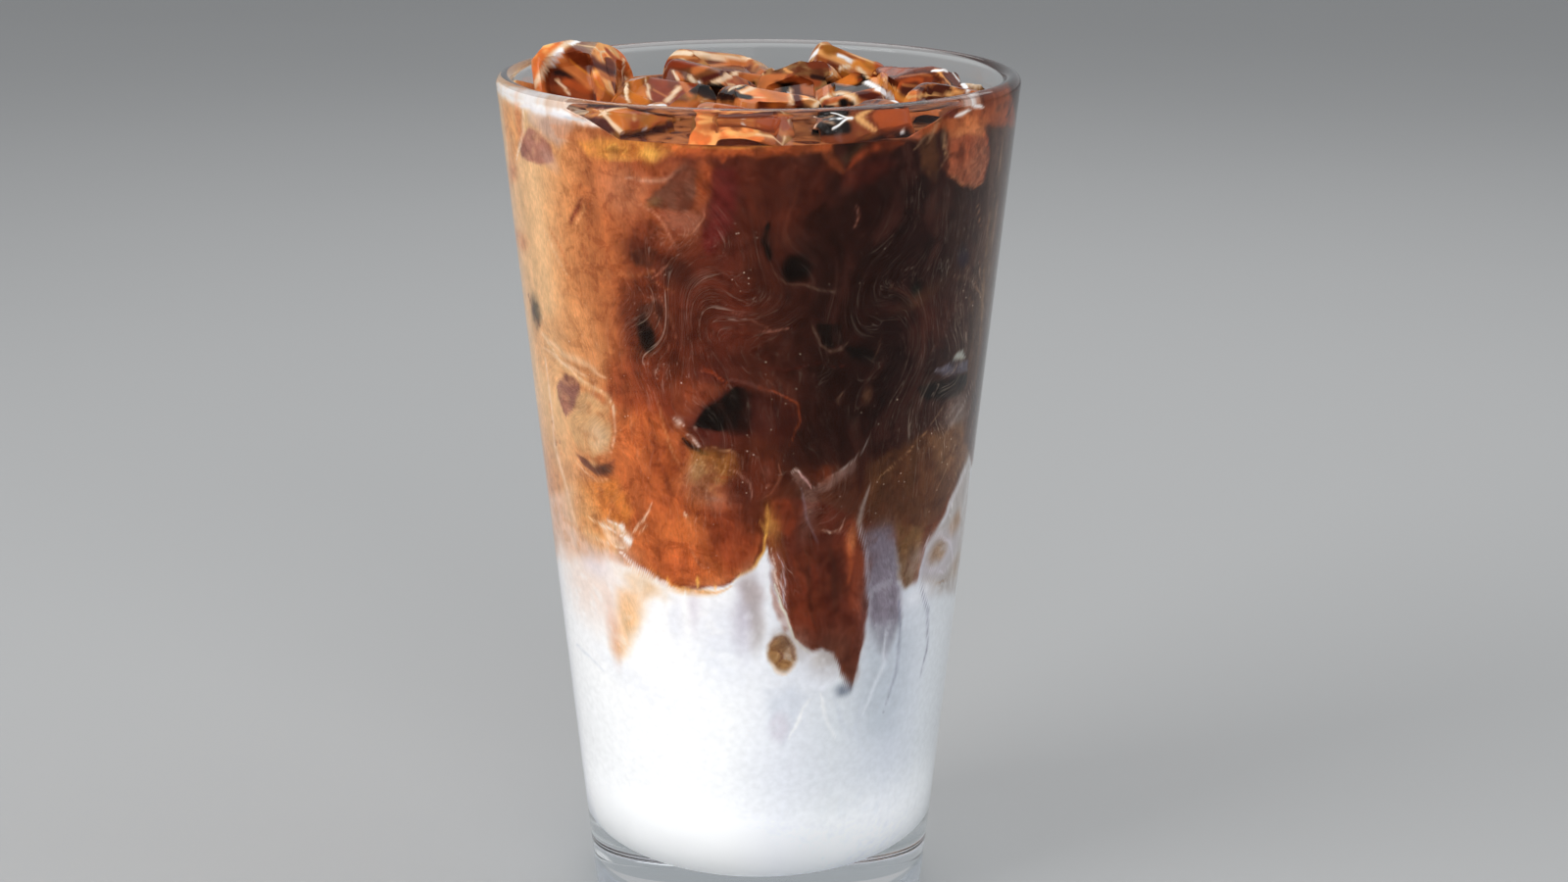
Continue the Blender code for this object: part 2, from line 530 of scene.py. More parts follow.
@dataclass(frozen=True)
class Vessel:
    """The mixing glass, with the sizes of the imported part."""

    height: float = 0.149
    rim_radius: float = 0.0445
    foot_radius: float = 0.030
    wall_at_rim: float = 0.0030
    wall_at_foot: float = 0.0040
    base_thickness: float = 0.010
    floor_curve: float = 0.015
    foot_round: float = 0.0015
    push_up_depth: float = 0.0018
    push_up_radius: float = 0.022
    push_up_slope: float = 0.004
    push_up_flat: float = 0.009
    level: float = 0.1425
    reach: float = 0.00015
    segments: int = 224
    floor_steps: int = 12
    curve_steps: int = 20
    wall_steps: int = 24
    slope_steps: int = 9

    def outer_radius(self, height: Array | float) -> Array | float:
        """The outside, a straight taper from foot to rim."""
        return self.foot_radius + (self.rim_radius - self.foot_radius) * height / self.height

    def inner_radius(self, height: Array | float) -> Array | float:
        """The inside, straight from the top of the floor's curve to the foot of the rim's round.

        Args:
            height: A height or heights.

        Returns:
            The radius there, on the line through the radii at the two ends.
        """
        low = self.base_thickness + self.floor_curve
        high = self.height - self.wall_at_rim / 2
        wall = self.wall_at_foot + (self.wall_at_rim - self.wall_at_foot) * low / self.height
        start = self.outer_radius(low) - wall
        return start + (self.rim_radius - self.wall_at_rim - start) * (height - low) / (high - low)

    def drink_radius(self, height: Array | float) -> Array | float:
        """The radius of what fills the glass, which reaches just into the wall."""
        return self.inner_radius(height) + self.reach

    def arc(self, centre: Pair, radius: float, start: float, end: float) -> Array:
        """Points of radius and height on an arc about a centre, between two angles in degrees."""
        turns = np.radians(np.linspace(start, end, self.curve_steps + 1))
        return np.array(centre) + radius * np.stack([np.cos(turns), np.sin(turns)], axis=1)

    def floor_profile(self, outwards: float) -> Array:
        """The inside from the axis to the top of the floor's curve, moved outwards by a distance.

        Args:
            outwards: How far the profile lies beyond the inside, in the glass.

        Returns:
            Rows of radius and height.
        """
        top = self.base_thickness + self.floor_curve
        centre = (float(self.inner_radius(top)) - self.floor_curve, top)
        flat = np.linspace(0.0, centre[0], self.floor_steps)[:-1]
        level = np.full(len(flat), self.base_thickness - outwards)
        curve = self.arc(centre, self.floor_curve + outwards, -90.0, 0.0)
        return np.concatenate([np.stack([flat, level], axis=1), curve])

    def profile(self) -> Array:
        """The wall's section.

        Returns:
            Rows of radius and height: up the inside, over the rim in half a circle, down the
            outside, round the foot, and over the push-up in an eased step.
        """
        inside = self.floor_profile(0.0)
        lip = self.wall_at_rim / 2
        rim = self.arc((self.rim_radius - lip, self.height - lip), lip, 180.0, 0.0)
        foot_centre = (float(self.outer_radius(self.foot_round)) - self.foot_round, self.foot_round)
        foot = self.arc(foot_centre, self.foot_round, 0.0, -90.0)
        slope = np.linspace(0.0, 1.0, self.slope_steps)
        radius = self.push_up_radius - self.push_up_slope * slope
        under = np.stack([radius, self.push_up_depth * smooth(slope)], axis=1)
        centre = np.array([[self.push_up_flat, self.push_up_depth], [0.0, self.push_up_depth]])
        share = np.linspace(0, 1, self.wall_steps)[1:-1, None]
        up = inside[-1] + (rim[0] - inside[-1]) * share
        down = rim[-1] + (foot[0] - rim[-1]) * share
        return np.concatenate([inside, up, rim, down, foot, under, centre])

    def build(self) -> Thing:
        """Turns the profile about the axis.

        Returns:
            The glass. Each profile point, but the two on the axis, is a ring: its radius times the
            cosine and sine of the azimuth, and its height. The two ends close in fans.
        """
        profile = self.profile()[::-1]
        azimuths = 2.0 * np.pi * np.arange(self.segments) / self.segments
        radius, height = profile[1:-1, :1], profile[1:-1, 1:]
        level = np.repeat(height, self.segments, axis=1)
        rings = np.stack([radius * np.cos(azimuths), radius * np.sin(azimuths), level], axis=-1)
        poles = np.array([[0.0, 0.0, profile[0, 1]], [0.0, 0.0, profile[-1, 1]]])
        points = np.concatenate([rings.reshape(-1, 3), poles])
        quads = grid_faces(self.segments, len(rings), closed=True)
        return new_mesh_object("mixing_glass", points, quads, pole_fans(self.segments, len(rings)))


VESSEL = Vessel()


@dataclass(frozen=True)
class Border:
    """The wavy border of milk and coffee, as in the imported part.

    Each tongue is an azimuth and a half-width in degrees, and its rise in metres.
    """

    height: float = 0.066
    fade: float = 1.5
    shares: tuple[float, ...] = (1.0, 0.92, 0.82, 0.6, 0.35, 0.12)
    tongues: tuple[Triple, ...] = (
        (-158, 12, 0.005),
        (-131, 9, -0.011),
        (-110, 9, 0.002),
        (-87, 6, 0.010),
        (-69, 9, -0.014),
        (-56, 6, 0.010),
        (-27, 10, 0.013),
        (-9, 9, -0.007),
        (22, 12, 0.006),
        (52, 10, -0.010),
        (84, 12, 0.008),
        (118, 10, -0.008),
        (150, 12, 0.006),
        (177, 9, -0.006),
    )

    def at(self, share: float, azimuths: Array) -> Array:
        """The border's height: its mean, and a bell curve for each tongue that fades to the axis.

        Args:
            share: The share of the radius.
            azimuths: Azimuths, in degrees.

        Returns:
            The height at each azimuth.
        """
        centres, widths, rises = (np.array(column) for column in zip(*self.tongues))
        away = wrapped(azimuths[:, None] - centres)
        bells = rises * np.exp(-((away / widths) ** 2))
        return self.height + bells.sum(axis=1) * share**self.fade


BORDER = Border()

# Tones round the coffee, by azimuth. It is pale at the left, and darkest right of the middle.
WASH: tuple[tuple[int, Tone], ...] = (
    (-164, Tone.PALE_TAN),
    (-152, Tone.PALE_TAN),
    (-139, Tone.TAN_DEEP),
    (-127, Tone.CARAMEL_DEEP),
    (-117, Tone.BRICK),
    (-108, Tone.ROSEWOOD),
    (-92, Tone.UMBER),
    (-76, Tone.DARK),
    (-58, Tone.DARKEST),
    (-40, Tone.DARK),
    (-19, Tone.BARK),
    (20, Tone.BARK),
    (60, Tone.CHESTNUT),
    (100, Tone.RUST),
    (140, Tone.TAN),
    (170, Tone.PALE_TAN),
)

# The line that the milk rises to: azimuth and height in degrees and mm, and how soft it is in mm.
MILK_LINE: tuple[Triple, ...] = (
    (-175.8, 64.7, 3),
    (-154.9, 67.6, 2.5),
    (-137, 69.4, 1.6),
    (-127.7, 69.6, 0.7),
    (-121.2, 68.2, 0.5),
    (-115.7, 67.7, 0.4),
    (-107.1, 67.4, 0.4),
    (-97.9, 68.5, 0.4),
    (-92.7, 70.9, 0.5),
    (-89.2, 74.1, 0.6),
    (-87.6, 75.9, 0.9),
    (-85.7, 70.7, 0.8),
    (-83.4, 64.8, 0.7),
    (-79.5, 58.9, 0.6),
    (-74.1, 56.1, 0.6),
    (-70.3, 56.2, 0.5),
    (-67, 54.2, 0.5),
    (-64.7, 50.7, 0.8),
    (-61.2, 48.5, 1),
    (-58.8, 53.4, 0.7),
    (-57.5, 60.9, 0.6),
    (-57.3, 68.9, 0.8),
    (-53.9, 73, 3),
    (-48.9, 72.4, 2),
    (-44.4, 65.1, 0.9),
    (-38.5, 65.2, 0.9),
    (-36.5, 71.3, 0.9),
    (-29.6, 74.7, 0.9),
    (-24, 78.6, 0.9),
    (-16.7, 81.9, 0.8),
    (-6, 82.9, 0.8),
)

# The milk's tones, by azimuth: white at the left and in shade at the right.
MILK_SHADES: tuple[tuple[int, Tone], ...] = (
    (-180, Tone.MILK_COOL),
    (-165, Tone.MILK),
    (-100, Tone.MILK),
    (-82, Tone.MILK_COOL),
    (-66, Tone.MILK_DIM),
    (-45, Tone.MILK_SHADE),
    (-20, Tone.MILK_DIM),
    (20, Tone.MILK_DIM),
    (90, Tone.MILK_COOL),
    (180, Tone.MILK_COOL),
)

# What shows at the glass, laid over the wash in this order: azimuth and height in degrees and mm.
FRONT_MARKS: tuple[Mark, ...] = (
    # Upper left: pale tan where the ice leans on the glass, and an amber band under the level,
    # partly painted light through the thin coffee.
    Blot(Tone.TAN, ((-168.9, 145.2), (-152.3, 146.9), (-153.2, 141.8), (-160.1, 135.6),
        (-173.2, 128.7), (-167.3, 137.8)), 0.58, 0.8),
    Patch(Tone.AMBER, -162.4, 140.8, 3.87, 3.17, 6, 0.4, 0.7),
    Blot(Tone.DUSTY_PINK, ((-149.8, 146.1), (-139.9, 146.7), (-133.7, 145.9), (-134.8, 143),
        (-139.6, 140.6), (-144.4, 141.8), (-150.6, 143.5)), 0.88, 0.8),
    Patch(Tone.CREAM, -147.8, 145.3, 2.21, 1.16, 0, 0.5, 0.8),
    Blot(Tone.MAUVE, ((-150.9, 142.6), (-157.6, 139.4), (-156.7, 137.3), (-146.5, 137.1),
        (-141.5, 138.4), (-142.1, 140.6), (-145.9, 142.2)), 0.36, 0.92),
    Patch(Tone.DUSTY_PINK, -143.1, 138.1, 2.48, 1.32, -30, 0.45, 0.7),
    Patch(Tone.PLUM, -154.9, 138.8, 1.64, 1.71, 8, 0.45, 0.7),
    Strand(Tone.CREAM, ((-151.2, 147.3), (-152.7, 144.6), (-153.6, 142.2), (-157.2, 138.9),
        (-161.6, 135.4)), 0.41, 0.9),
    Blot(Tone.CARAMEL, ((-141.6, 144), (-135.4, 144.7), (-126.4, 143.6), (-125, 142.6),
        (-131.1, 142), (-139.2, 142.3)), 0.38, 0.8),
    Blot(Tone.AMBER, ((-132.9, 141.8), (-127, 143.1), (-116.9, 143.7), (-107.8, 143.5),
        (-105.6, 142.4), (-111.1, 140.5), (-119.6, 140.1), (-130.3, 139.8)), 0.73, 0.8),
    Patch(Tone.GOLD, -114.1, 140.9, 1.5, 1.26, 10, 0.85, 0.7),
    Patch(Tone.GOLD, -122.7, 140.2, 2.95, 0.48, 0, 0.6),
    Patch(Tone.OCHRE, -122.5, 141.3, 1.84, 0.57, 0, 0.95, 0.4),
    Strand(Tone.GOLD, ((-125.7, 141.1), (-122.9, 142.2), (-119.5, 141.7), (-120.6, 140.7)),
        0.2, 0.7),
    Blot(Tone.ORANGE, ((-110.9, 143.5), (-101.3, 143.2), (-90.8, 143), (-84.6, 143.4),
        (-77.3, 144.4), (-74, 144), (-74.4, 142.1), (-82.5, 141.7), (-90.8, 141.6),
        (-100.3, 141.3), (-107.9, 141.1)), 0.58, 0.75),
    Strand(Tone.AMBER, ((-107.8, 143.2), (-97.1, 142.8), (-86.7, 143.2), (-77.9, 144.3)),
        0.26, 0.6),
    Blot(Tone.CARAMEL_DEEP, ((-131.6, 138.9), (-119.7, 139.6), (-107.9, 141.1), (-101, 140.5),
        (-101.6, 135), (-102.8, 128.6), (-106.6, 125), (-116.4, 123.1), (-126.5, 123.7),
        (-132.4, 127.6), (-134.5, 133.1)), 1.46, 0.5),
    Patch(Tone.ROSE_TAN, -121.3, 134.7, 4.38, 4.18, 0, 0.5, 0.8),
    Strand(Tone.BLUSH, ((-106.5, 139.3), (-110.4, 137.6), (-116.3, 136.9), (-120, 137.2)),
        0.44, 0.3),
    Blot(Tone.COCOA, ((-105.3, 140.6), (-103.4, 139.2), (-103.8, 135.1), (-106.2, 132.8),
        (-111.7, 132.3), (-115.2, 133.5), (-110.9, 136.7), (-108, 139.1)), 0.44, 0.85),
    Patch(Tone.OLIVE_BROWN, -113.5, 133.3, 1.34, 0.8, 30, 0.6),
    Blot(Tone.ROSE_BROWN, ((-112.2, 132.1), (-106.2, 132.7), (-102.6, 131.8), (-103.2, 129.6),
        (-106.8, 128.8), (-111, 129.6)), 0.66, 0.5),
    Strand(Tone.ROSE_TAN, ((-117.9, 133), (-114.6, 132), (-112.3, 131), (-109.9, 127.9),
        (-106.6, 125)), 0.23, 0.75),
    Strand(Tone.ROSE_TAN, ((-102.5, 134), (-102.2, 131.5), (-105, 128.9), (-108.7, 128.4)),
        0.18, 0.5),
    Blot(Tone.CHESTNUT_DEEP, ((-122.1, 119.5), (-115.8, 124.5), (-108.8, 127.4), (-101.5, 128),
        (-98.8, 119.1), (-102.3, 107.1), (-110.1, 101.7), (-119.9, 102.7), (-124.5, 109.3),
        (-124.9, 115.1)), 2.04, 0.85),
    Blot(Tone.CHESTNUT, ((-117.7, 130.8), (-112.9, 129.8), (-112.7, 125.6), (-115.2, 122.9),
        (-119.6, 122.6), (-121.4, 124.7), (-120.2, 128.4)), 0.88, 0.8),
    Blot(Tone.BARK, ((-120.3, 125.2), (-116.1, 126.4), (-113.2, 125.6), (-114.9, 123.2),
        (-119, 122.6)), 0.51, 0.85),
    Strand(Tone.CARAMEL, ((-126.9, 124.6), (-124, 121.5), (-118.7, 120.9), (-112.9, 123.2)),
        0.38, 0.6),
    Blot(Tone.UMBER, ((-113.2, 125.3), (-110.4, 124.8), (-109.6, 122.2), (-111.2, 120.2),
        (-113.6, 121), (-114.4, 122.9)), 0.44, 0.8),
    Strand(Tone.ROSE_TAN, ((-115.6, 121.1), (-112.5, 122.4), (-109, 124.9)), 0.16, 0.7),
    Strand(Tone.CARAMEL, ((-118, 119.8), (-113.7, 120.4), (-109.4, 118.7)), 0.18, 0.5),
    Strand(Tone.CHESTNUT, ((-133, 132.9), (-135.3, 130.7), (-137.8, 128.2)), 0.5, 0.95),
    Strand(Tone.APRICOT, ((-131.5, 132.7), (-133.5, 130.2), (-136.2, 128)), 0.23, 0.5),
    Strand(Tone.CARAMEL, ((-146.6, 126.8), (-143.6, 124), (-138.9, 120)), 0.28, 0.75),
    Strand(Tone.CREAM, ((-148.7, 125.7), (-146, 122.7), (-141.3, 119.3)), 0.23, 0.35),
    Strand(Tone.CHESTNUT, ((-165.9, 112.8), (-162.3, 110.1), (-157.7, 107.7)), 0.47, 0.85),
    Strand(Tone.CREAM, ((-160.9, 113.9), (-157.3, 111.3), (-154.1, 108.9)), 0.22, 0.5),
    Patch(Tone.CARAMEL, -167.3, 121.8, 4.59, 1.73, 8, 0.6),
    Patch(Tone.CARAMEL, -165.2, 133.9, 3.16, 1.64, 6, 0.5),
    # Painted reflection: a white band along the top of the film under the rim at the left, greying
    # towards its right end.
    Strand(Tone.MILK, ((-176, 146.9), (-160, 146.9), (-145, 146.8), (-137, 146.6), (-131, 145.8),
        (-126, 144.9)), 1.15),
    Strand(Tone.MILK_COOL, ((-154.7, 146), (-141.9, 145.9), (-132.2, 146)), 0.58, 0.8),
    Strand(Tone.MILK_GREY, ((-136.8, 145.8), (-129.3, 146.1), (-124.4, 146.4)), 0.32, 0.6),
    Patch(Tone.ORANGE, -155.4, 143, 1.25, 3.39, 4, 0.35, 0.8),
    Blot(Tone.DUSTY_PINK, ((-147.9, 145), (-136.9, 145.3), (-132.4, 144.7), (-137.5, 142.4),
        (-146.5, 142.9)), 0.73, 0.5),
    # The dark zone's left edge, wine red beside an orange rim.
    Blot(Tone.RUST, ((-102.9, 141), (-99.7, 140.9), (-100.2, 136.6), (-101.7, 133.8),
        (-103.2, 134)), 0.88, 0.65),
    Blot(Tone.WINE, ((-99.5, 139.5), (-95.1, 139.5), (-93.8, 135.2), (-95.7, 130.1),
        (-101.6, 125.1), (-102.8, 127), (-100.4, 133.5)), 0.73, 0.75),
    Strand(Tone.RUST_BRIGHT, ((-98.6, 141.4), (-97.8, 140.6), (-96.9, 141.4)), 0.23, 0.6),
    Patch(Tone.BRICK, -97.8, 141.1, 0.6, 0.63, 0, 0.6, 0.5),
    Blot(Tone.SIENNA, ((-93.8, 140.5), (-73.8, 140.2), (-74.4, 134.1), (-84.3, 129.6),
        (-93.5, 129.4)), 1.31, 0.45),
    Blot(Tone.SIENNA, ((-106.6, 125), (-97.5, 125.2), (-90.9, 119.2), (-92.1, 109.3),
        (-102.8, 107.1), (-110, 110.4), (-109.4, 118.7)), 1.75, 0.6),
    Patch(Tone.NIGHT_GREEN, -117.9, 111.4, 1.6, 2.84, 8, 0.97, 0.2),
    Blot(Tone.BARK, ((-119.8, 116), (-114.9, 117.4), (-112.6, 115.5), (-114.3, 112.8),
        (-118.5, 113.2)), 0.44, 0.75),
    Strand(Tone.KHAKI, ((-121.1, 109.3), (-119.3, 107.9), (-116.6, 108.3), (-114.8, 110.1)),
        0.18, 0.4),
    Strand(Tone.ROSE_TAN, ((-115.8, 118.6), (-115.1, 115.7), (-113.3, 112.5), (-111.6, 108.7)),
        0.15, 0.6),
    Strand(Tone.ROSE_TAN, ((-113.8, 118.4), (-112.6, 115.5), (-112.3, 112.6)), 0.13, 0.6),
    Strand(Tone.ROSE_TAN, ((-116.9, 117.9), (-113.9, 117.4), (-111.1, 115), (-109.9, 111.2)),
        0.13, 0.5),
    Strand(Tone.ROSE_BROWN, ((-96.6, 116.2), (-92.1, 115.1), (-86.3, 112.9)), 0.13, 0.5),
    Strand(Tone.ROSE_BROWN, ((-90.9, 113.1), (-86.8, 112.9), (-82.4, 113.4)), 0.18, 0.8),
    # Upper right: a fold, and ice that shows through the coffee.
    Blot(Tone.OLIVE, ((-72.1, 141.1), (-70.4, 142.6), (-67.8, 143.6), (-66.8, 143.1), (-69, 141.6),
        (-70.7, 140.1)), 0.58, 0.6),
    Strand(Tone.RUST, ((-76.1, 142.2), (-73.8, 140.2), (-71, 138.2)), 0.88, 0.5),
    Strand(Tone.RED_ORANGE, ((-70.2, 139.2), (-68.7, 141), (-65.8, 142.1), (-61.8, 142.5),
        (-57.4, 142.4)), 1.02, 0.55),
    Blot(Tone.MAROON, ((-71.9, 138.3), (-67, 140), (-61.2, 140.9), (-59.3, 139.5), (-64.4, 136.7),
        (-70.9, 136)), 1.17, 0.65),
    Blot(Tone.TERRACOTTA, ((-66.4, 148.4), (-63.2, 149.5), (-55.9, 149.1), (-50.3, 147.5),
        (-49.4, 144.9), (-53, 142.9), (-57.4, 143.1), (-61.4, 143.4), (-64.7, 144.9)), 0.58, 0.85),
    Strand(Tone.BARK, ((-64.7, 144.9), (-61.2, 143.4), (-57.2, 143.2)), 0.25, 0.8),
    Strand(Tone.KHAKI_GREY, ((-54.4, 141.7), (-51.1, 143.3), (-48.5, 144.6)), 0.44, 0.6),
    Strand(Tone.KHAKI_GREY, ((-47.2, 145.7), (-45.7, 142.7), (-44.2, 139.4), (-46, 137.4)),
        0.41, 0.85),
    Blot(Tone.BARK_WARM, ((-53.3, 141.7), (-49.2, 143.6), (-46.7, 139.6), (-46.6, 135.6),
        (-51.6, 137.6)), 0.58, 0.7),
    Blot(Tone.ORANGE_BROWN, ((-45.5, 144.7), (-40.8, 145.3), (-31.7, 143.7), (-28.5, 141),
        (-26.7, 137.4), (-28.5, 134.1), (-32.4, 133.2), (-38.3, 134.5), (-43.6, 136.6),
        (-44.1, 141)), 0.73, 0.85),
    Patch(Tone.BRICK, -38.3, 140.5, 4.29, 1.97, 10, 0.45, 0.9),
    Strand(Tone.ROSE_TAN, ((-43, 136.7), (-37.5, 134.4), (-31.6, 133.6), (-28.8, 136.3),
        (-28.7, 140.2)), 0.23, 0.45),
    Blot(Tone.CARAMEL, ((-44.8, 144.5), (-39.4, 145), (-31.6, 143.4), (-29.6, 141.4), (-38, 142.4),
        (-44.1, 142.4)), 0.35, 0.6),
    Strand(Tone.RED_ORANGE, ((-32.2, 142.8), (-28.9, 140.8), (-27.8, 137.8)), 0.23, 0.6),
    Strand(Tone.CARAMEL, ((-43.2, 136.4), (-37.9, 134.3), (-32.3, 133.1), (-28.4, 133.9)),
        0.18, 0.6),
    Patch(Tone.UMBER, -44.2, 137.9, 0.92, 0.73, 0, 0.95, 0.4),
    Blot(Tone.BROWN_GREY, ((-28.4, 146.3), (-13.4, 145.1), (-4.6, 125), (-6.4, 105.4),
        (-21.7, 107.8), (-24.4, 127.5)), 0.88, 0.55),
    Strand(Tone.KHAKI_GREY, ((-19.5, 144.1), (-19.2, 136.9), (-20.7, 130.4)), 0.26, 0.6),
    Strand(Tone.KHAKI_GREY, ((-17.5, 130), (-18, 120), (-16.3, 107.8)), 0.22, 0.5),
    Strand(Tone.KHAKI_GREY, ((-24.4, 127.5), (-24.3, 119.2), (-26.2, 112.7)), 0.16, 0.45),
    Strand(Tone.DARK, ((-13.6, 140.2), (-12.7, 136.4)), 0.35, 0.8),
    Strand(Tone.CARAMEL_GREY, ((-30.6, 130.6), (-28.8, 127.9), (-26.7, 125.2)), 0.16, 0.6),
    Strand(Tone.NIGHT, ((-87.4, 130.7), (-88.5, 127.9), (-87.8, 124.6)), 0.64, 0.95),
    Patch(Tone.NIGHT, -81.7, 123.3, 2.14, 2.26, -30, 0.97, 0.45),
    Patch(Tone.DARK, -79.1, 125.6, 1.5, 1.75, -40, 0.7, 0.7),
    Strand(Tone.BROWN_GREY, ((-85.8, 121.9), (-83.5, 120.6), (-79.8, 120.5), (-74.9, 119.3),
        (-69.7, 118.9)), 0.23, 0.7),
    Strand(Tone.ROSE_BROWN, ((-68.1, 133.5), (-67, 131.2), (-67.8, 129.7)), 0.19, 0.7),
    Patch(Tone.INK, -33.2, 121.4, 1.38, 1.55, 0, 0.8, 0.5),
    Patch(Tone.INK, -49.9, 117.8, 0.84, 0.84, 0, 0.7, 0.5),
    Strand(Tone.BROWN_GREY, ((-58.6, 117.9), (-57.7, 119.5), (-56.2, 118.7)), 0.18, 0.7),
    Strand(Tone.KHAKI_GREY, ((-32.7, 119.9), (-25.1, 115.6), (-16.8, 110)), 0.15, 0.6),
    Strand(Tone.KHAKI_GREY, ((-42.1, 120), (-31.6, 117.7), (-21.9, 113.8)), 0.13, 0.5),
    Blot(Tone.RUST, ((-54.4, 147.7), (-46.1, 147.8), (-18.4, 147.3), (-6.4, 140.4), (-30.7, 143.3),
        (-46.8, 143.7), (-53, 143.2)), 0.58, 0.8),
    Strand(Tone.KHAKI_GREY, ((-50.6, 142.1), (-48.5, 144.8), (-46.7, 146.2)), 0.44, 0.6),
    Patch(Tone.MAROON, -44.3, 146.4, 1.38, 0.8, 0, 0.9, 0.5),
    # Painted highlights: white and cream glints along the top of the film at the right.
    Strand(Tone.MILK, ((-42.9, 146), (-40.3, 146.1), (-37.5, 146.1)), 0.38),
    Strand(Tone.MILK, ((-41, 147.5), (-37, 147.1), (-32.5, 146.3)), 0.47),
    Strand(Tone.PALE_CREAM, ((-37.6, 147.9), (-29, 147.9), (-13.4, 147.7)), 0.35),
    Strand(Tone.DARK, ((-14.2, 146.2), (-19.1, 143.4)), 0.44, 0.8),
    # Middle left: a pale band, a mauve leaf, a khaki panel and a dark crescent.
    Blot(Tone.TAN, ((-164.7, 107.7), (-134.8, 115), (-129.1, 107.2), (-132.2, 100.1),
        (-154.3, 97.2), (-163.7, 100.9)), 1.75, 0.45),
    Strand(Tone.PALE_TAN, ((-159, 107.8), (-153.4, 105), (-146.3, 102.4), (-137.7, 100.8),
        (-130.4, 99.3), (-128.5, 97.1)), 0.73, 0.8),
    Strand(Tone.CREAM, ((-156.4, 106.3), (-148.8, 103.5), (-139.1, 101.3), (-130.9, 99.9)),
        0.19, 0.5),
    Blot(Tone.MAUVE_DARK, ((-147, 101.5), (-143.1, 101.5), (-140.9, 100.4), (-140.9, 98.7),
        (-145, 96.1), (-149.2, 93.2), (-151.4, 95.8), (-152.7, 98.1)), 0.26, 0.9),
    Patch(Tone.ROSE_TAN, -148.8, 95.9, 1.31, 1.82, 10, 0.5, 0.7),
    Blot(Tone.KHAKI, ((-141.2, 99.2), (-135.8, 99.7), (-130.1, 99), (-130.8, 93.4), (-132.4, 90.1),
        (-138.4, 87.8), (-144.9, 88.6), (-148.3, 92.8)), 0.58, 0.85),
    Patch(Tone.CREAM, -136, 91.9, 2.14, 2.49, 0, 0.35, 0.8),
    Patch(Tone.RUST, -133.5, 99, 1.8, 0.7, -20, 0.6, 0.7),
    Strand(Tone.CREAM, ((-130.3, 99.6), (-129, 97.7), (-129.7, 93.6), (-131.4, 89.9)), 0.22, 0.75),
    Blot(Tone.COCOA, ((-146.2, 87.4), (-142.2, 87.5), (-138.7, 86.5), (-134.8, 87.1),
        (-130.6, 88.6), (-130.5, 87.2), (-133.6, 85.5), (-138.3, 85), (-143, 85.9)), 0.23, 0.92),
    Patch(Tone.BARK, -133.4, 86.7, 1.35, 0.89, 0, 0.8, 0.5),
    Patch(Tone.KHAKI, -138.6, 86.9, 1, 0.54, 0, 0.6),
    Strand(Tone.CREAM, ((-147.9, 86.6), (-144.1, 85.1), (-138.5, 83.9), (-132.3, 84.8)), 0.2, 0.4),
    Strand(Tone.PALE_CREAM, ((-157.5, 102.5), (-157.8, 94.9), (-158.2, 86.9), (-153, 78.4),
        (-150.3, 73.5)), 0.66, 0.7),
    Strand(Tone.COCOA, ((-158.7, 91.6), (-157.7, 89.3), (-157, 86.6)), 0.2, 0.55),
    Strand(Tone.COCOA, ((-155, 89.5), (-154.4, 88)), 0.2, 0.5),
    Strand(Tone.BLUSH, ((-174.8, 86.7), (-175.1, 79.4), (-172.3, 72.7), (-167.2, 67.9)), 0.51, 0.6),
    Strand(Tone.CARAMEL, ((-157.9, 97.5), (-159.2, 92), (-153.9, 85)), 0.2, 0.5),
    # Middle: rust streaks run down past a black wedge and a slit.
    Blot(Tone.RUST_BRIGHT, ((-127.9, 98.5), (-116.8, 98.2), (-108.5, 96.1), (-102.1, 90.6),
        (-97.5, 82.1), (-96.9, 75.8), (-112.9, 74.3), (-131.2, 75.9), (-133.5, 82.7)), 1.46, 0.75),
    Blot(Tone.BRICK, ((-129.4, 105.2), (-117.9, 108.2), (-107.8, 105.5), (-104.3, 102.3),
        (-110.9, 98.6), (-125, 97.5), (-131.5, 100.2)), 1.31, 0.6),
    Blot(Tone.BRICK_BRIGHT, ((-111.5, 103.3), (-104.9, 104.3), (-98.1, 103.9), (-102.1, 101.1),
        (-106.8, 97.2), (-110.9, 98)), 1.17, 0.5),
    Strand(Tone.RED_ORANGE, ((-104.6, 106), (-101.2, 105.8), (-98.1, 104.2)), 0.23, 0.6),
    Strand(Tone.BRICK, ((-122, 99.8), (-120.5, 93.6), (-118, 87.2)), 0.29, 0.55),
    Strand(Tone.CHESTNUT, ((-119.6, 98.7), (-117.4, 93.1), (-115.7, 87.3)), 0.25, 0.55),
    Strand(Tone.APRICOT, ((-116.5, 101.6), (-114.4, 95), (-110.6, 88.4)), 0.19, 0.35),
    Strand(Tone.ROSE_TAN, ((-124.8, 99.2), (-123.9, 92.5), (-120.7, 84.1)), 0.19, 0.4),
    Strand(Tone.CHESTNUT, ((-116.6, 90), (-114.7, 86), (-112.1, 83.5)), 0.47, 0.45),
    Blot(Tone.NIGHT, ((-106.9, 96.3), (-103.2, 99), (-98.7, 101.9), (-96, 103.3), (-93.3, 103.1),
        (-92.9, 100.6), (-95.4, 96.5), (-100.3, 95.7)), 0.32, 0.97),
    Blot(Tone.DARKEST, ((-95.7, 103.1), (-91, 102.8), (-85.7, 101.6), (-83.7, 99.2), (-85.6, 96.6),
        (-91.5, 95.7), (-98.4, 95.8)), 0.66, 0.9),
    Strand(Tone.PLUM, ((-98.1, 104.9), (-91.7, 104), (-83.8, 102.1)), 0.25, 0.6),
    Strand(Tone.ROSEWOOD, ((-106.4, 95.5), (-99.6, 94.7), (-91, 94.9)), 0.35, 0.6),
    Strand(Tone.NIGHT, ((-109.4, 94), (-107.1, 92.9), (-103.1, 91.6)), 0.53, 0.96),
    # Painted highlight: the pale line just above the black slit.
    Strand(Tone.BLUSH, ((-108.8, 95), (-107, 94.4), (-104.5, 92.9)), 0.28, 0.85),
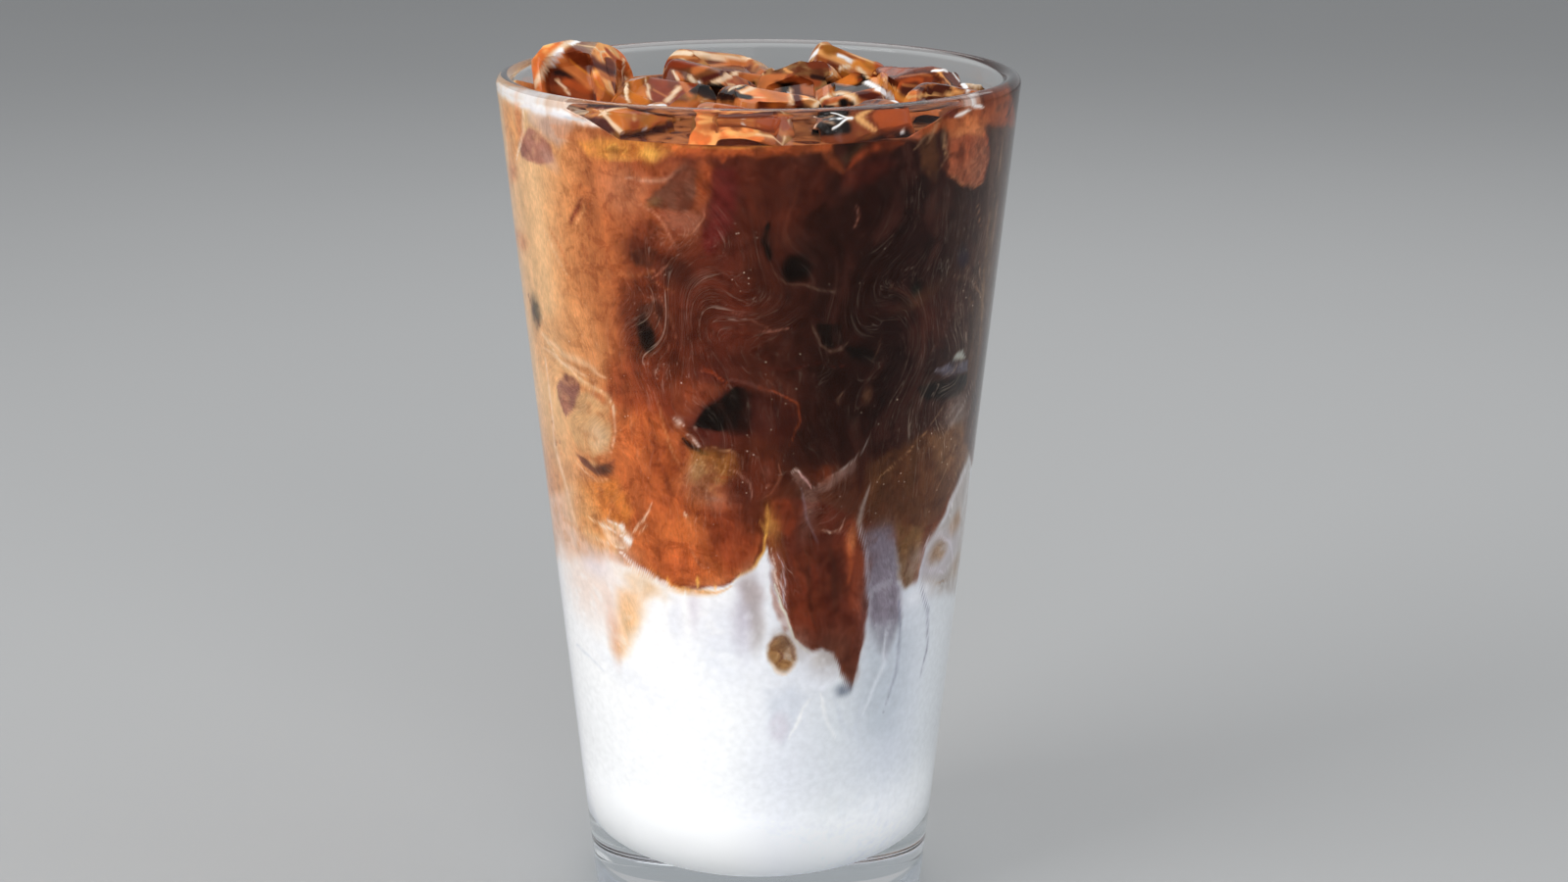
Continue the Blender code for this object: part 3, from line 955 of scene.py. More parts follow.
    Patch(Tone.BLUSH, -110.5, 97, 0.67, 0.85, 0, 0.6, 0.95),
    Strand(Tone.BLUSH, ((-111.5, 97.9), (-110.5, 97), (-109.2, 96.4)), 0.15, 0.6),
    Patch(Tone.CREAM, -106.4, 96.2, 0.32, 0.41, 0, 0.6),
    Blot(Tone.OCHRE, ((-107.7, 92), (-103, 92.9), (-95.5, 91.8), (-94.5, 88.4), (-99.1, 86.9),
        (-107, 86.9)), 0.88, 0.65),
    Patch(Tone.KHAKI, -105.3, 89.1, 1.94, 1.72, 0, 0.5, 0.9),
    Strand(Tone.PALE_TAN, ((-107.4, 87.9), (-106.3, 89.7), (-106.7, 91.4)), 0.12, 0.5),
    Strand(Tone.PALE_TAN, ((-105.4, 87.3), (-104.2, 89.8), (-105.1, 91.5)), 0.12, 0.5),
    Strand(Tone.KHAKI, ((-103.3, 87.1), (-101.6, 89.6), (-102.5, 91.9)), 0.12, 0.5),
    Strand(Tone.KHAKI, ((-100.7, 86.8), (-99.1, 89.3), (-99.5, 91.3)), 0.12, 0.45),
    Strand(Tone.BRICK, ((-105.9, 86.6), (-101.2, 88.2), (-96.6, 87.6)), 0.35, 0.6),
    Strand(Tone.CHESTNUT, ((-98, 90.7), (-96, 89), (-96.6, 86.3)), 0.38, 0.5),
    Strand(Tone.KHAKI, ((-103, 92.9), (-97.2, 92.4), (-93, 91.1)), 0.19, 0.6),
    Patch(Tone.ROSE_BROWN, -101.9, 83.9, 1.6, 0.52, -12, 0.7),
    Patch(Tone.BRICK, -105, 84.8, 1.3, 0.69, 0, 0.6),
    Blot(Tone.SIENNA, ((-95.5, 90.8), (-86, 90.8), (-84.4, 85.9), (-88, 83.6), (-94.1, 83.5)),
        0.88, 0.8),
    Strand(Tone.ROSE_TAN, ((-85, 90.4), (-84.2, 88), (-86.7, 84.9), (-89.7, 83.7)), 0.22, 0.7),
    Patch(Tone.ROSE_TAN, -87.7, 86.3, 0.37, 0.41, 0, 0.8, 0.5),
    Patch(Tone.ROSE_BROWN, -88.5, 88.4, 1.09, 1.03, 0, 0.5, 0.7),
    Strand(Tone.BRICK, ((-91, 103.8), (-85.5, 102.6), (-80.6, 100.5), (-79.5, 97.4),
        (-82.1, 93.3)), 0.19, 0.85),
    Blot(Tone.MAROON, ((-91.4, 102.6), (-85, 101.6), (-80.8, 99.8), (-80.2, 97.1), (-83.6, 93.8),
        (-89.8, 93.2), (-92.2, 95.6)), 0.73, 0.5),
    Strand(Tone.ROSEWOOD, ((-90.9, 107.3), (-83.9, 106.3), (-75.5, 107), (-68.7, 106.3)),
        0.18, 0.6),
    Blot(Tone.CHESTNUT_DEEP, ((-96.4, 94.5), (-85.6, 94.9), (-83.3, 82.1), (-89.5, 80.4),
        (-95.7, 82.1)), 1.61, 0.6),
    # Middle right: small dark windows, a slot with a highlight, and fans of pale streaks.
    Blot(Tone.NIGHT, ((-76.6, 114), (-70.3, 113.7), (-69.3, 110.4), (-72.4, 109.5),
        (-74.9, 110.6)), 0.38, 0.85),
    Strand(Tone.BROWN_GREY, ((-77.5, 113.7), (-75.2, 110.3), (-72.7, 109.2), (-69.5, 109.5),
        (-67.5, 110.9)), 0.22, 0.85),
    Blot(Tone.NIGHT, ((-69, 109.9), (-60.8, 108.8), (-62.4, 106.7), (-67.2, 107.3)), 0.32, 0.92),
    Strand(Tone.BROWN_GREY, ((-59.1, 111.3), (-59.6, 108.7), (-61.9, 106.5)), 0.18, 0.6),
    Blot(Tone.STEEL, ((-33.8, 104.2), (-28.9, 105.5), (-26.4, 103.1)), 0.18, 0.95),
    Blot(Tone.SLATE_DARK, ((-41.2, 102.9), (-34, 103.3), (-25.1, 102.8), (-24.2, 100.7),
        (-35.1, 101.3)), 0.26, 0.9),
    Strand(Tone.LILAC, ((-40.5, 103), (-34.8, 103.1)), 0.19, 0.6),
    Blot(Tone.NIGHT, ((-46.9, 100.7), (-36.8, 101), (-24, 100.2), (-23.9, 98.4), (-28.4, 96.7),
        (-37.5, 97.3), (-44, 98.6)), 0.26, 0.98),
    Strand(Tone.LILAC_GREY, ((-19.4, 97.7), (-25.2, 94.3), (-32.2, 91.5), (-33.7, 88.6)),
        0.28, 0.8),
    Strand(Tone.LILAC_GREY, ((-15, 96.1), (-19.7, 92.7), (-27.4, 89.7)), 0.18, 0.7),
    Patch(Tone.LILAC_GREY, -28.7, 93.3, 3.25, 4.06, 20, 0.75, 0.8),
    Strand(Tone.KHAKI_GREY, ((-10.2, 94.6), (-15.5, 88.5), (-19.5, 83.9)), 0.2, 0.7),
    Strand(Tone.KHAKI_GREY, ((-34.7, 96.7), (-37.6, 94.7), (-40.6, 93.4)), 0.18, 0.5),
    Blot(Tone.BARK_WARM, ((-61, 88.4), (-54.9, 90.3), (-41.5, 92.5), (-21.1, 91.2), (-12.4, 84.4),
        (-25.3, 78.6), (-34.7, 74.8), (-49.3, 76.3), (-58, 78.7), (-60.5, 84.2)), 1.17, 0.85),
    Blot(Tone.CARAMEL_GREY, ((-40, 91.2), (-24.5, 91.4), (-14.6, 84.4), (-24, 81.4),
        (-35.5, 85.4)), 1.02, 0.4),
    Strand(Tone.KHAKI_GREY, ((-26.2, 88.1), (-29.7, 84.1), (-34.2, 80.9)), 0.18, 0.55),
    Strand(Tone.KHAKI_GREY, ((-19.3, 86.3), (-23.1, 82.3), (-27.8, 78.9)), 0.18, 0.55),
    Patch(Tone.CARAMEL_GREY, -62.4, 100.9, 0.89, 1.36, 0, 0.35, 0.8),
    Strand(Tone.KHAKI_GREY, ((-68.9, 102), (-70.3, 101.1), (-69.7, 99.7)), 0.15, 0.5),
    # Pale wings and veils over the dark coffee.
    Blot(Tone.MAUVE_GREY, ((-64.3, 90.3), (-63.5, 88.3), (-68.1, 86.2), (-72.6, 85), (-75.9, 85.5),
        (-73, 86.9), (-68.8, 88.4)), 0.58, 0.7),
    Strand(Tone.LILAC_GREY, ((-60.9, 93.3), (-62.5, 91.7), (-64.3, 90.3), (-68.3, 88.3),
        (-72.2, 87), (-75.6, 85.8)), 0.16, 0.75),
    Blot(Tone.MAUVE_GREY, ((-81.4, 88.6), (-79.1, 89.2), (-76.1, 85.7), (-73.8, 81.7),
        (-72.9, 76.4), (-75.7, 77.5), (-77.5, 81.4), (-78.7, 85.1)), 0.73, 0.6),
    Strand(Tone.PINK_BRIGHT, ((-79.4, 89.2), (-77.8, 87.3), (-76.1, 85.5)), 0.19, 0.8),
    Strand(Tone.BLUSH, ((-81.4, 88.6), (-80.2, 89.3), (-78.9, 88.9)), 0.23, 0.6),
    Patch(Tone.BRICK, -73.1, 87.9, 1.97, 1.38, 30, 0.55, 0.7),
    Blot(Tone.COCOA, ((-76.6, 84.3), (-70.2, 85), (-64.3, 87.3), (-61.6, 83.5), (-63.5, 79.3),
        (-69.7, 78), (-74.8, 80)), 1.02, 0.45),
    Strand(Tone.CARAMEL_GREY, ((-41.5, 92.3), (-46.3, 90.5), (-55.3, 86.9), (-59.3, 84.8)),
        0.16, 0.8),
    Strand(Tone.LILAC_GREY, ((-59.3, 84.8), (-61.3, 81.5), (-62.2, 78.3), (-59.9, 74.4)),
        0.47, 0.85),
    Strand(Tone.LILAC, ((-61.8, 77.4), (-59.1, 73.2), (-58.7, 70), (-56.9, 64.1), (-54.4, 58.7)),
        0.5, 0.9),
    Strand(Tone.BLUSH, ((-72.4, 77.8), (-69.9, 77.3), (-67.6, 77.1), (-66.3, 78.1)), 0.19, 0.9),
    Patch(Tone.LAVENDER_DARK, -55.2, 75.1, 2.97, 2.34, 0, 0.85, 0.5),
    # Where coffee and milk meet on the left: amber, fuzz and a white seam.
    Blot(Tone.BLUSH, ((-175.9, 74.7), (-150, 80.3), (-151.2, 69.3), (-164.6, 64.2),
        (-175.8, 64.7)), 1.17, 0.6),
    Blot(Tone.AMBER_DEEP, ((-146.7, 82.6), (-129.5, 85.3), (-125.7, 80.1), (-129.9, 75.2),
        (-139.8, 71.9), (-147.7, 73.2)), 1.02, 0.75),
    Blot(Tone.AMBER, ((-148.6, 73.7), (-141.7, 74.5), (-131.7, 73), (-132.8, 71.1),
        (-142.7, 70.7)), 0.58, 0.7),
    Blot(Tone.CREAM, ((-139.5, 76.2), (-133.8, 77.4), (-128.3, 76.3), (-125.2, 74.5), (-129, 72.3),
        (-136.2, 73.1)), 0.66, 0.65),
    Strand(Tone.CREAM, ((-143.8, 76.6), (-138.8, 76), (-135.1, 74.5)), 0.16, 0.7),
    Strand(Tone.MILK, ((-138.8, 76), (-135, 75.3), (-128.6, 74.7)), 0.22, 0.85),
    Strand(Tone.MILK, ((-136.1, 77), (-131, 76.7), (-128.5, 74.8)), 0.16, 0.75),
    Strand(Tone.PALE_CREAM, ((-126.7, 76), (-122, 78.7), (-119.8, 81.8)), 0.28, 0.8),
    Strand(Tone.CREAM, ((-125.1, 75.6), (-120.9, 77.8)), 0.2, 0.7),
    Strand(Tone.CREAM, ((-142.1, 73), (-135.6, 72.5), (-128.9, 72.7)), 0.18, 0.8),
    Patch(Tone.MILK, -128.3, 74.3, 0.94, 0.65, -20, 0.9, 0.5),
    Patch(Tone.MILK, -130, 76.6, 0.55, 0.54, 0, 0.8, 0.5),
    Strand(Tone.PALE_CREAM, ((-109.5, 81.2), (-109.1, 79.5), (-108.1, 77.8)), 0.35, 0.85),
    Strand(Tone.ROSE_TAN, ((-110, 79.1), (-107.6, 77.1), (-104.7, 75.5)), 0.19, 0.6),
    # The main lobe, with its golden lower rim.
    Blot(Tone.RUST_BRIGHT, ((-128.2, 72.8), (-125, 76), (-116.5, 79.3), (-107.4, 80.6),
        (-97.8, 80), (-89.5, 79.4), (-89.5, 76.6), (-92.1, 72), (-97.3, 69.3), (-102.6, 68),
        (-107.7, 68.1), (-111.7, 68.2), (-115.6, 68.6), (-119.2, 69.5), (-124.4, 71.1)),
        0.23, 0.92),
    Blot(Tone.BRICK, ((-105.1, 81.8), (-92.6, 83.6), (-89.2, 79.4), (-90, 75.2), (-92.7, 72.4),
        (-98.1, 70.5), (-102.3, 74.9)), 1.17, 0.75),
    Patch(Tone.BRICK, -98.4, 78.6, 3.17, 3.85, 0, 0.5, 0.9),
    Patch(Tone.CHESTNUT_DEEP, -92.6, 82.9, 2.5, 4.17, 0, 0.9, 0.9),
    Patch(Tone.RED_ORANGE, -113.2, 71.8, 4.54, 2.86, 0, 0.25, 0.8),
    Strand(Tone.AMBER, ((-124.5, 70.5), (-119.2, 68.9), (-115.3, 67.9), (-111.2, 67.3),
        (-107.2, 67), (-102.1, 67.1), (-97.1, 68.2)), 0.32, 0.8),
    Strand(Tone.GOLD, ((-89.5, 80.4), (-88.2, 77.8), (-88.7, 74.8), (-91.9, 71.7), (-96.8, 68.9)),
        0.28, 0.9),
    Strand(Tone.GOLD, ((-87.7, 83.2), (-87.4, 80.4), (-88.4, 77.3)), 0.38, 0.65),
    Strand(Tone.GOLD, ((-107, 69.7), (-107.1, 67.6)), 0.29, 0.9),
    Strand(Tone.GOLD, ((-116.1, 69.1), (-115.4, 67.7)), 0.29, 0.8),
    Strand(Tone.GOLD, ((-102.6, 68.5), (-102.3, 67.5)), 0.23, 0.8),
    Strand(Tone.MILK, ((-132.6, 72.4), (-129.2, 70.9), (-126, 69.6), (-120.6, 68.4),
        (-115.6, 67.8)), 0.35, 0.9),
    Strand(Tone.AMBER, ((-132.2, 70.5), (-126.1, 68.7), (-119, 68.1)), 0.15, 0.6),
    # Painted shade under the lobe.
    Patch(Tone.MAUVE_GREY, -92.2, 67.7, 2.21, 1.25, -25, 0.4, 0.8),
    Patch(Tone.AMBER, -109.5, 66.9, 3.05, 0.63, 0, 0.5, 0.7),
    # Soft stains in the milk under it, and cool patches of painted shade on its folds.
    Blot(Tone.APRICOT, ((-133.3, 64.9), (-121.5, 66.4), (-123.5, 63.3), (-128.6, 58),
        (-132.7, 52.6), (-136.3, 51), (-138.8, 53.2), (-136.1, 59.1)), 1.75, 0.75),
    Patch(Tone.AMBER, -131.1, 60.7, 1.75, 3.35, 12, 0.35, 0.8),
    Patch(Tone.ROSE_TAN, -137.9, 57, 1.5, 5.69, 4, 0.5, 0.8),
    Patch(Tone.PALE_TAN, -124.7, 66.7, 4.39, 1.64, -14, 0.6, 0.7),
    Patch(Tone.BLUSH, -146.7, 63.6, 8.18, 6.52, 0, 0.7, 0.9),
    Patch(Tone.LILAC_PALE, -143.4, 68.1, 3.43, 2.26, 0, 0.5, 0.8),
    Patch(Tone.MILK_COOL, -114.2, 61.3, 1.41, 4.01, 0, 0.8, 0.7),
    Strand(Tone.MILK, ((-110.6, 67.4), (-110.9, 64.5), (-111.7, 61.2)), 0.26, 0.9),
    Patch(Tone.LILAC_PALE, -108.3, 63.6, 1.01, 3.61, 0, 0.6, 0.8),
    Patch(Tone.MILK_COOL, -99.4, 58.1, 5.18, 7.62, 0, 0.9, 0.7),
    Patch(Tone.LILAC, -93.3, 63.8, 1.9, 6.46, -6, 0.8, 0.8),
    Patch(Tone.LILAC_GREY, -92.2, 67, 1.26, 3.21, 0, 0.45, 0.8),
    Patch(Tone.MILK_COOL, -133.5, 48.5, 9.89, 2.29, -20, 0.4, 0.8),
    Strand(Tone.MILK_SHADE, ((-161.7, 49.6), (-151.8, 49.1), (-143.6, 47.6)), 0.35, 0.5),
    Strand(Tone.MILK, ((-157.3, 51.8), (-147.8, 50.6), (-141.2, 49.1)), 0.23, 0.8),
    # The red-brown lobe, the feathery hairs left of it and the brown ball.
    Blot(Tone.SIENNA, ((-86.9, 81.5), (-82.6, 75.1), (-83.7, 68), (-83.1, 65.2), (-79.5, 59.3),
        (-74.2, 56.5), (-70.9, 56.6), (-67.1, 54.9), (-65.2, 52.4), (-62, 49.7), (-60.1, 50.9),
        (-58.9, 54.1), (-57.1, 61), (-58.8, 68.2), (-60.7, 73.7), (-62.9, 79.2), (-72.8, 83.1),
        (-81.8, 84.1)), 0.38, 0.9),
    Patch(Tone.BRICK, -76.6, 64.2, 2.29, 4.68, 0, 0.45, 0.8),
    Blot(Tone.UMBER, ((-77.4, 79.1), (-70.7, 76.7), (-66.5, 74.2), (-65.2, 67), (-68.4, 62.3),
        (-72.2, 65.8), (-74.9, 73)), 1.02, 0.55),
    Blot(Tone.SIENNA_RED, ((-66.4, 79.5), (-62.8, 78.9), (-60.4, 73.7), (-58.9, 66.4),
        (-59.5, 61.1), (-62.9, 63.2), (-65.5, 70.6)), 0.51, 0.7),
    Patch(Tone.CARAMEL, -63.9, 75.4, 0.8, 2.14, 0, 0.65, 0.7),
    Blot(Tone.BRICK, ((-86.9, 83.6), (-81.8, 84.1), (-80.1, 80.3), (-82.1, 77.2), (-85.3, 78.7)),
        0.58, 0.6),
    Patch(Tone.GOLD, -86.6, 79.4, 1.25, 3.14, 6, 0.4, 0.95),
    Blot(Tone.ROSE_BROWN, ((-87.6, 74.1), (-84.2, 75.1), (-81.9, 69.8), (-81, 60.8), (-82.7, 59.8),
        (-85.6, 64.5)), 0.44, 0.6),
    Strand(Tone.LILAC, ((-87.9, 74.1), (-86.8, 69.9), (-84, 65.5)), 0.16, 0.75),
    Strand(Tone.BLUSH, ((-86.3, 75.2), (-85.7, 70.9), (-83.1, 65.9)), 0.13, 0.75),
    Strand(Tone.LILAC, ((-84.7, 74.1), (-82.7, 69.8), (-82.8, 64.8)), 0.13, 0.65),
    Strand(Tone.BLUSH, ((-87.1, 71.6), (-84.6, 69.5), (-82.3, 66.9)), 0.12, 0.6),
    Strand(Tone.LILAC, ((-83.3, 72.6), (-83.8, 69.1), (-81.7, 63.7)), 0.12, 0.55),
    Patch(Tone.COFFEE_OLIVE, -83.2, 56, 2.24, 3.46, 6, 0.95, 0.22),
    Strand(Tone.COCOA, ((-86.6, 56.9), (-85.5, 58.7), (-82.7, 59), (-80.3, 57.1), (-79.9, 54.6)),
        0.29, 0.65),
    Strand(Tone.KHAKI, ((-85.7, 54.4), (-83.7, 56.5), (-81.4, 55)), 0.16, 0.6),
    Strand(Tone.COCOA, ((-84.6, 56.5), (-82.9, 55.4), (-84.3, 54.3)), 0.23, 0.8),
    Strand(Tone.PALE_CREAM, ((-86.9, 54.4), (-84.8, 52.5), (-81.9, 52.1), (-79.6, 53.5)),
        0.19, 0.6),
    Strand(Tone.PALE_GREEN, ((-85.7, 69.1), (-84.3, 67), (-83.1, 64.4), (-81.3, 61.2),
        (-79.5, 58.7), (-77.4, 57), (-75, 55.6)), 0.25, 0.97),
    Patch(Tone.LILAC_GREY, -79.2, 57.5, 1.94, 2.91, 0, 0.4, 0.9),
    Blot(Tone.MILK_COOL, ((-78.9, 51.6), (-76.7, 54.8), (-74.4, 56.1), (-71.5, 56.7),
        (-67.7, 55.1), (-65.9, 52.6), (-65.9, 49.7), (-70.2, 48.2), (-76.4, 48.9)), 0.38, 0.95),
    Patch(Tone.MILK, -71.9, 54.5, 1.52, 1.28, 0, 0.7, 0.7),
    Patch(Tone.COCOA, -61.5, 51.1, 1.11, 1.68, 20, 0.6, 0.7),
    Patch(Tone.SLATE_BLUE, -63.8, 48.2, 1.45, 1.31, 20, 0.8),
    Strand(Tone.MILK, ((-66.7, 50.8), (-64.6, 49.5), (-61.9, 48.9)), 0.18, 0.8),
    # Right of it: a lavender column, a brown strip, a ringed swirl and a pale wedge.
    Patch(Tone.LAVENDER_DARK, -55.1, 76.7, 2.57, 2.33, 0, 0.5, 0.9),
    Patch(Tone.BARK, -53.2, 81, 3.05, 2.5, 0, 0.5, 0.9),
    Blot(Tone.LAVENDER_DIM, ((-60.2, 76.9), (-49.4, 75.3), (-46.3, 66.7), (-44.4, 59.5),
        (-46.3, 55.4), (-49.2, 52.2), (-54.1, 56.8), (-58.1, 68.1)), 1.17, 0.9),
    Patch(Tone.LAVENDER_DIM, -53.4, 65.8, 2.86, 7.33, 0, 0.6, 0.9),
    Patch(Tone.LILAC, -51.8, 64.5, 1.25, 3.68, 0, 0.15, 0.8),
    Blot(Tone.OLIVE_BROWN, ((-49.7, 76.8), (-37.6, 75.1), (-38.4, 71.6), (-39.5, 65.7),
        (-43.5, 64.5), (-46.8, 67.1)), 0.88, 0.85),
    Patch(Tone.BARK_WARM, -42.7, 70.3, 0.98, 2.59, 0, 0.7),
    Strand(Tone.OCHRE, ((-39.8, 70), (-37.7, 65.4)), 0.22, 0.5),
    Blot(Tone.LILAC_GREY, ((-11.2, 83.1), (-4.5, 72.1), (-6, 61.4), (-7.9, 57), (-35.8, 62.2),
        (-37.7, 69), (-35.2, 73.1), (-28.4, 74.3), (-23.9, 78.2), (-18, 81.1)), 1.31, 0.62),
    Strand(Tone.LILAC_PALE, ((-15.1, 82.4), (-22.4, 77.9), (-28.5, 74.7)), 0.38, 0.6),
    Strand(Tone.MILK, ((-16, 82.2), (-22.4, 77.9), (-24.8, 74.4)), 0.22, 0.7),
    Strand(Tone.MILK_COOL, ((-11.6, 80.7), (-9.8, 73.1), (-7.5, 65.4)), 0.23, 0.5),
    Patch(Tone.CARAMEL_GREY, -18.7, 72.2, 2.52, 1.82, 0, 0.75),
    Patch(Tone.LILAC, -29, 68.3, 8.01, 3.86, 0, 0.6),
    Patch(Tone.KHAKI_GREY, -29.2, 69.1, 2.83, 1.92, 0, 0.85),
    Strand(Tone.LILAC_PALE, ((-37.7, 70.4), (-35.5, 72.6), (-28.6, 72), (-20.9, 69), (-16.9, 65),
        (-24.2, 64.2), (-32.6, 66.4)), 0.29, 0.75),
    Strand(Tone.KHAKI_GREY, ((-36.7, 65.2), (-27.4, 62.6), (-15, 62.1)), 0.25, 0.55),
    Patch(Tone.KHAKI_GREY, -11.5, 63.4, 3.41, 2.01, 0, 0.5, 0.7),
    Patch(Tone.MILK_COOL, -36.8, 62.4, 4, 1.9, 0, 0.8, 0.7),
    # Painted shade: two grey lines down the milk where it folds.
    Strand(Tone.SLATE, ((-45.9, 62.6), (-44.3, 57.3), (-43.8, 49.3), (-47.2, 41.9)), 0.34, 0.8),
    Strand(Tone.SLATE, ((-37.7, 64), (-31.6, 58.6), (-29, 53), (-29.6, 48.3), (-31.4, 45.2)),
        0.31, 0.8),
    # The milk on the right in painted shade, with soft folds, and a broad patch of painted light
    # low down.
    Blot(Tone.MILK_GREY, ((-55.1, 58.8), (-43.8, 58.7), (-37.4, 54.4), (-36.7, 45), (-40.7, 36.7),
        (-53.9, 37.9), (-59.4, 44.9)), 3.21, 0.45),
    Patch(Tone.MILK_GREY, -51.3, 49.1, 2.55, 7.57, 6, 0.35, 0.9),
    Strand(Tone.MILK_COOL, ((-49.6, 58.1), (-50.1, 50.8), (-56.1, 42.3)), 0.44, 0.6),
    Blot(Tone.MILK_DIM, ((-29.3, 61.4), (-12, 58.2), (-11.7, 40.2), (-16.5, 24), (-28.6, 24.6),
        (-30.6, 36.4), (-27.9, 45.3)), 1.46, 0.6),
    Blot(Tone.MILK_SHADE, ((-87.7, 48.9), (-79.4, 49.8), (-75.1, 47), (-78.5, 42), (-82.1, 38.8),
        (-85.8, 41.1)), 1.31, 0.6),
    Patch(Tone.LILAC_PALE, -83.4, 42.2, 1.61, 2.61, 0, 0.6),
    Strand(Tone.MILK, ((-80.5, 39.5), (-78.5, 42.4), (-73.9, 46.9)), 0.32, 0.9),
    Strand(Tone.MILK, ((-70.8, 47.8), (-69.2, 43.7), (-65.5, 39.2)), 0.38, 0.7),
    Strand(Tone.MILK_SHADE, ((-66.9, 46.8), (-63.8, 42.1), (-59, 37.4)), 0.35, 0.6),
    Strand(Tone.MILK_SHADE, ((-56.6, 45.2), (-58.7, 39.8), (-53.2, 33.5)), 0.47, 0.5),
    Patch(Tone.MILK_COOL, -75.5, 32.8, 10.34, 4.94, 0, 0.4, 0.9),
    Patch(Tone.MILK, -52.2, 19, 18.02, 8.35, 0, 0.65, 0.9),
    # Last, shade and light over larger places.
    Patch(Tone.UMBER, -115.4, 112.4, 4.86, 8.99, 0, 0.5, 0.95),
    Patch(Tone.UMBER, -101, 116.1, 3.43, 5.57, 0, 0.35, 0.95),
    Patch(Tone.CHESTNUT_DEEP, -92.1, 82.5, 1.56, 4.86, 0, 0.75, 0.9),
    Patch(Tone.PALE_TAN, -147.5, 77.1, 4.53, 4.5, 0, 0.6, 0.9),
    Patch(Tone.BLUSH, -142.5, 71.3, 7.64, 2.24, 0, 0.5, 0.9),
    Patch(Tone.CARAMEL, -37.7, 143.9, 5.49, 1.47, -8, 0.55, 0.7),
    Strand(Tone.KHAKI, ((-45.9, 145.2), (-45.9, 141.7), (-44.2, 138.1)), 0.19, 0.8),
    Strand(Tone.CHESTNUT, ((-44, 142.1), (-36.6, 142.5), (-30.1, 142.9)), 0.15, 0.5),
    Patch(Tone.ROSE_TAN, -32.9, 138, 2.47, 3.01, 0, 0.35, 0.8),
    Patch(Tone.SIENNA, -117.1, 126.3, 3.49, 2.44, 0, 0.45, 0.9),
    Patch(Tone.DARK, -108.2, 122.5, 2.1, 2.44, 20, 0.55, 0.9),
    Patch(Tone.NIGHT, -117.8, 111.9, 1.24, 2.67, 8, 0.85),
    Strand(Tone.CREAM, ((-158.1, 106.9), (-146.9, 105.1), (-137, 104.3), (-131.2, 102.3)),
        0.73, 0.4),
    Strand(Tone.PALE_CREAM, ((-157.9, 104.6), (-145.2, 103.1), (-135.3, 102.1)), 0.36, 0.45),
    Patch(Tone.OLIVE, -160.5, 110.5, 2.16, 2.97, -14, 0.8),
    Patch(Tone.KHAKI_GREY, -104.9, 86.3, 2.92, 2.6, 0, 0.5, 0.9),
    Patch(Tone.ROSE_BROWN, -99.3, 83.4, 3.17, 1.74, 10, 0.45, 0.9),
    Patch(Tone.MAROON, -93.1, 85.6, 1.56, 2.76, 0, 0.5, 0.9),
    Patch(Tone.SIENNA_RED, -98.4, 77.2, 3.81, 3.86, 0, 0.35, 0.95),
    Strand(Tone.PINK_TAN, ((-99.1, 89.3), (-95.5, 88.7), (-92.5, 86.7), (-91.5, 83.6)), 0.19, 0.45),
    Strand(Tone.ROSE_TAN, ((-108.9, 74.6), (-106.8, 72.2), (-103.6, 70.6)), 0.23, 0.5),
    Patch(Tone.MILK, -133.8, 69.9, 3.23, 1.47, 0, 0.35, 0.9),
    Patch(Tone.LILAC_GREY, -90.6, 60.9, 1.11, 3.97, 0, 0.45, 0.9),
    Patch(Tone.BROWN_GREY, -83.5, 58.1, 1.6, 2.18, 0, 0.45, 0.9),
    Blot(Tone.NIGHT, ((-106.4, 96.7), (-102.7, 99.9), (-98.6, 102.5), (-95.3, 103.3),
        (-94.1, 99.9), (-95.4, 96.9), (-101.3, 97.1)), 0.58, 0.85),
    Patch(Tone.MAUVE_GREY, -76.4, 81.5, 1.29, 4.89, -14, 0.45, 0.9),
    Strand(Tone.LAVENDER, ((-78.7, 85.8), (-77, 81), (-73.9, 75.4)), 0.32, 0.35),
    Strand(Tone.PALE_CREAM, ((-73.3, 78), (-70.5, 77.3), (-67.9, 77.5), (-66.4, 79.5)), 0.16, 0.6),
    Patch(Tone.BROWN_GREY, -67.8, 55.7, 3.84, 3.67, 0, 0.4, 0.9),
    Strand(Tone.BARK, ((-77.2, 74.9), (-75.7, 68.5), (-74.1, 60.5)), 0.38, 0.4),
    Strand(Tone.BARK, ((-70, 75.2), (-68.3, 69.1), (-67.7, 61.8)), 0.5, 0.5),
    Strand(Tone.ORANGE, ((-64.9, 76.2), (-63.9, 71.9), (-64, 67.3)), 0.38, 0.4),
    Strand(Tone.COFFEE_OLIVE, ((-23.5, 128.3), (-22, 122.2), (-20.6, 115.3), (-18.2, 108.1),
        (-17.3, 101), (-17.3, 94.1)), 0.44, 0.4),
    Strand(Tone.KHAKI_GREY, ((-26.7, 120.8), (-22, 115.5), (-18.6, 111.6), (-18.8, 106.5),
        (-18, 100.8)), 0.19, 0.55),
    Strand(Tone.OLIVE_BROWN, ((-28.6, 114.7), (-23.3, 107.1), (-23.4, 100.3), (-23.6, 95.1)),
        0.36, 0.4),
    Patch(Tone.OLIVE_BROWN, -19.6, 113.4, 3.3, 13.07, 3, 0.3, 0.9),
    Patch(Tone.NIGHT, -81.1, 123.6, 2.3, 2.1, 10, 0.7, 0.7),
    Patch(Tone.NIGHT, -63.1, 108.1, 1.93, 1.51, -30, 0.75, 0.7),
    Patch(Tone.NIGHT_GREEN, -49.9, 118, 1.05, 1.01, 0, 0.8),
    Patch(Tone.INK, -34.6, 121.9, 1.47, 1.72, 8, 0.8),
    Patch(Tone.SIENNA, -42.2, 112.1, 5.47, 4.13, 0, 0.45, 0.95),
    Patch(Tone.OLIVE_BROWN, -48.1, 116.6, 4.36, 1.52, 20, 0.25, 0.9),
    Strand(Tone.COCOA, ((-87.3, 123), (-85.3, 121.1), (-81, 120.2), (-76.9, 120.9)), 0.23, 0.45),
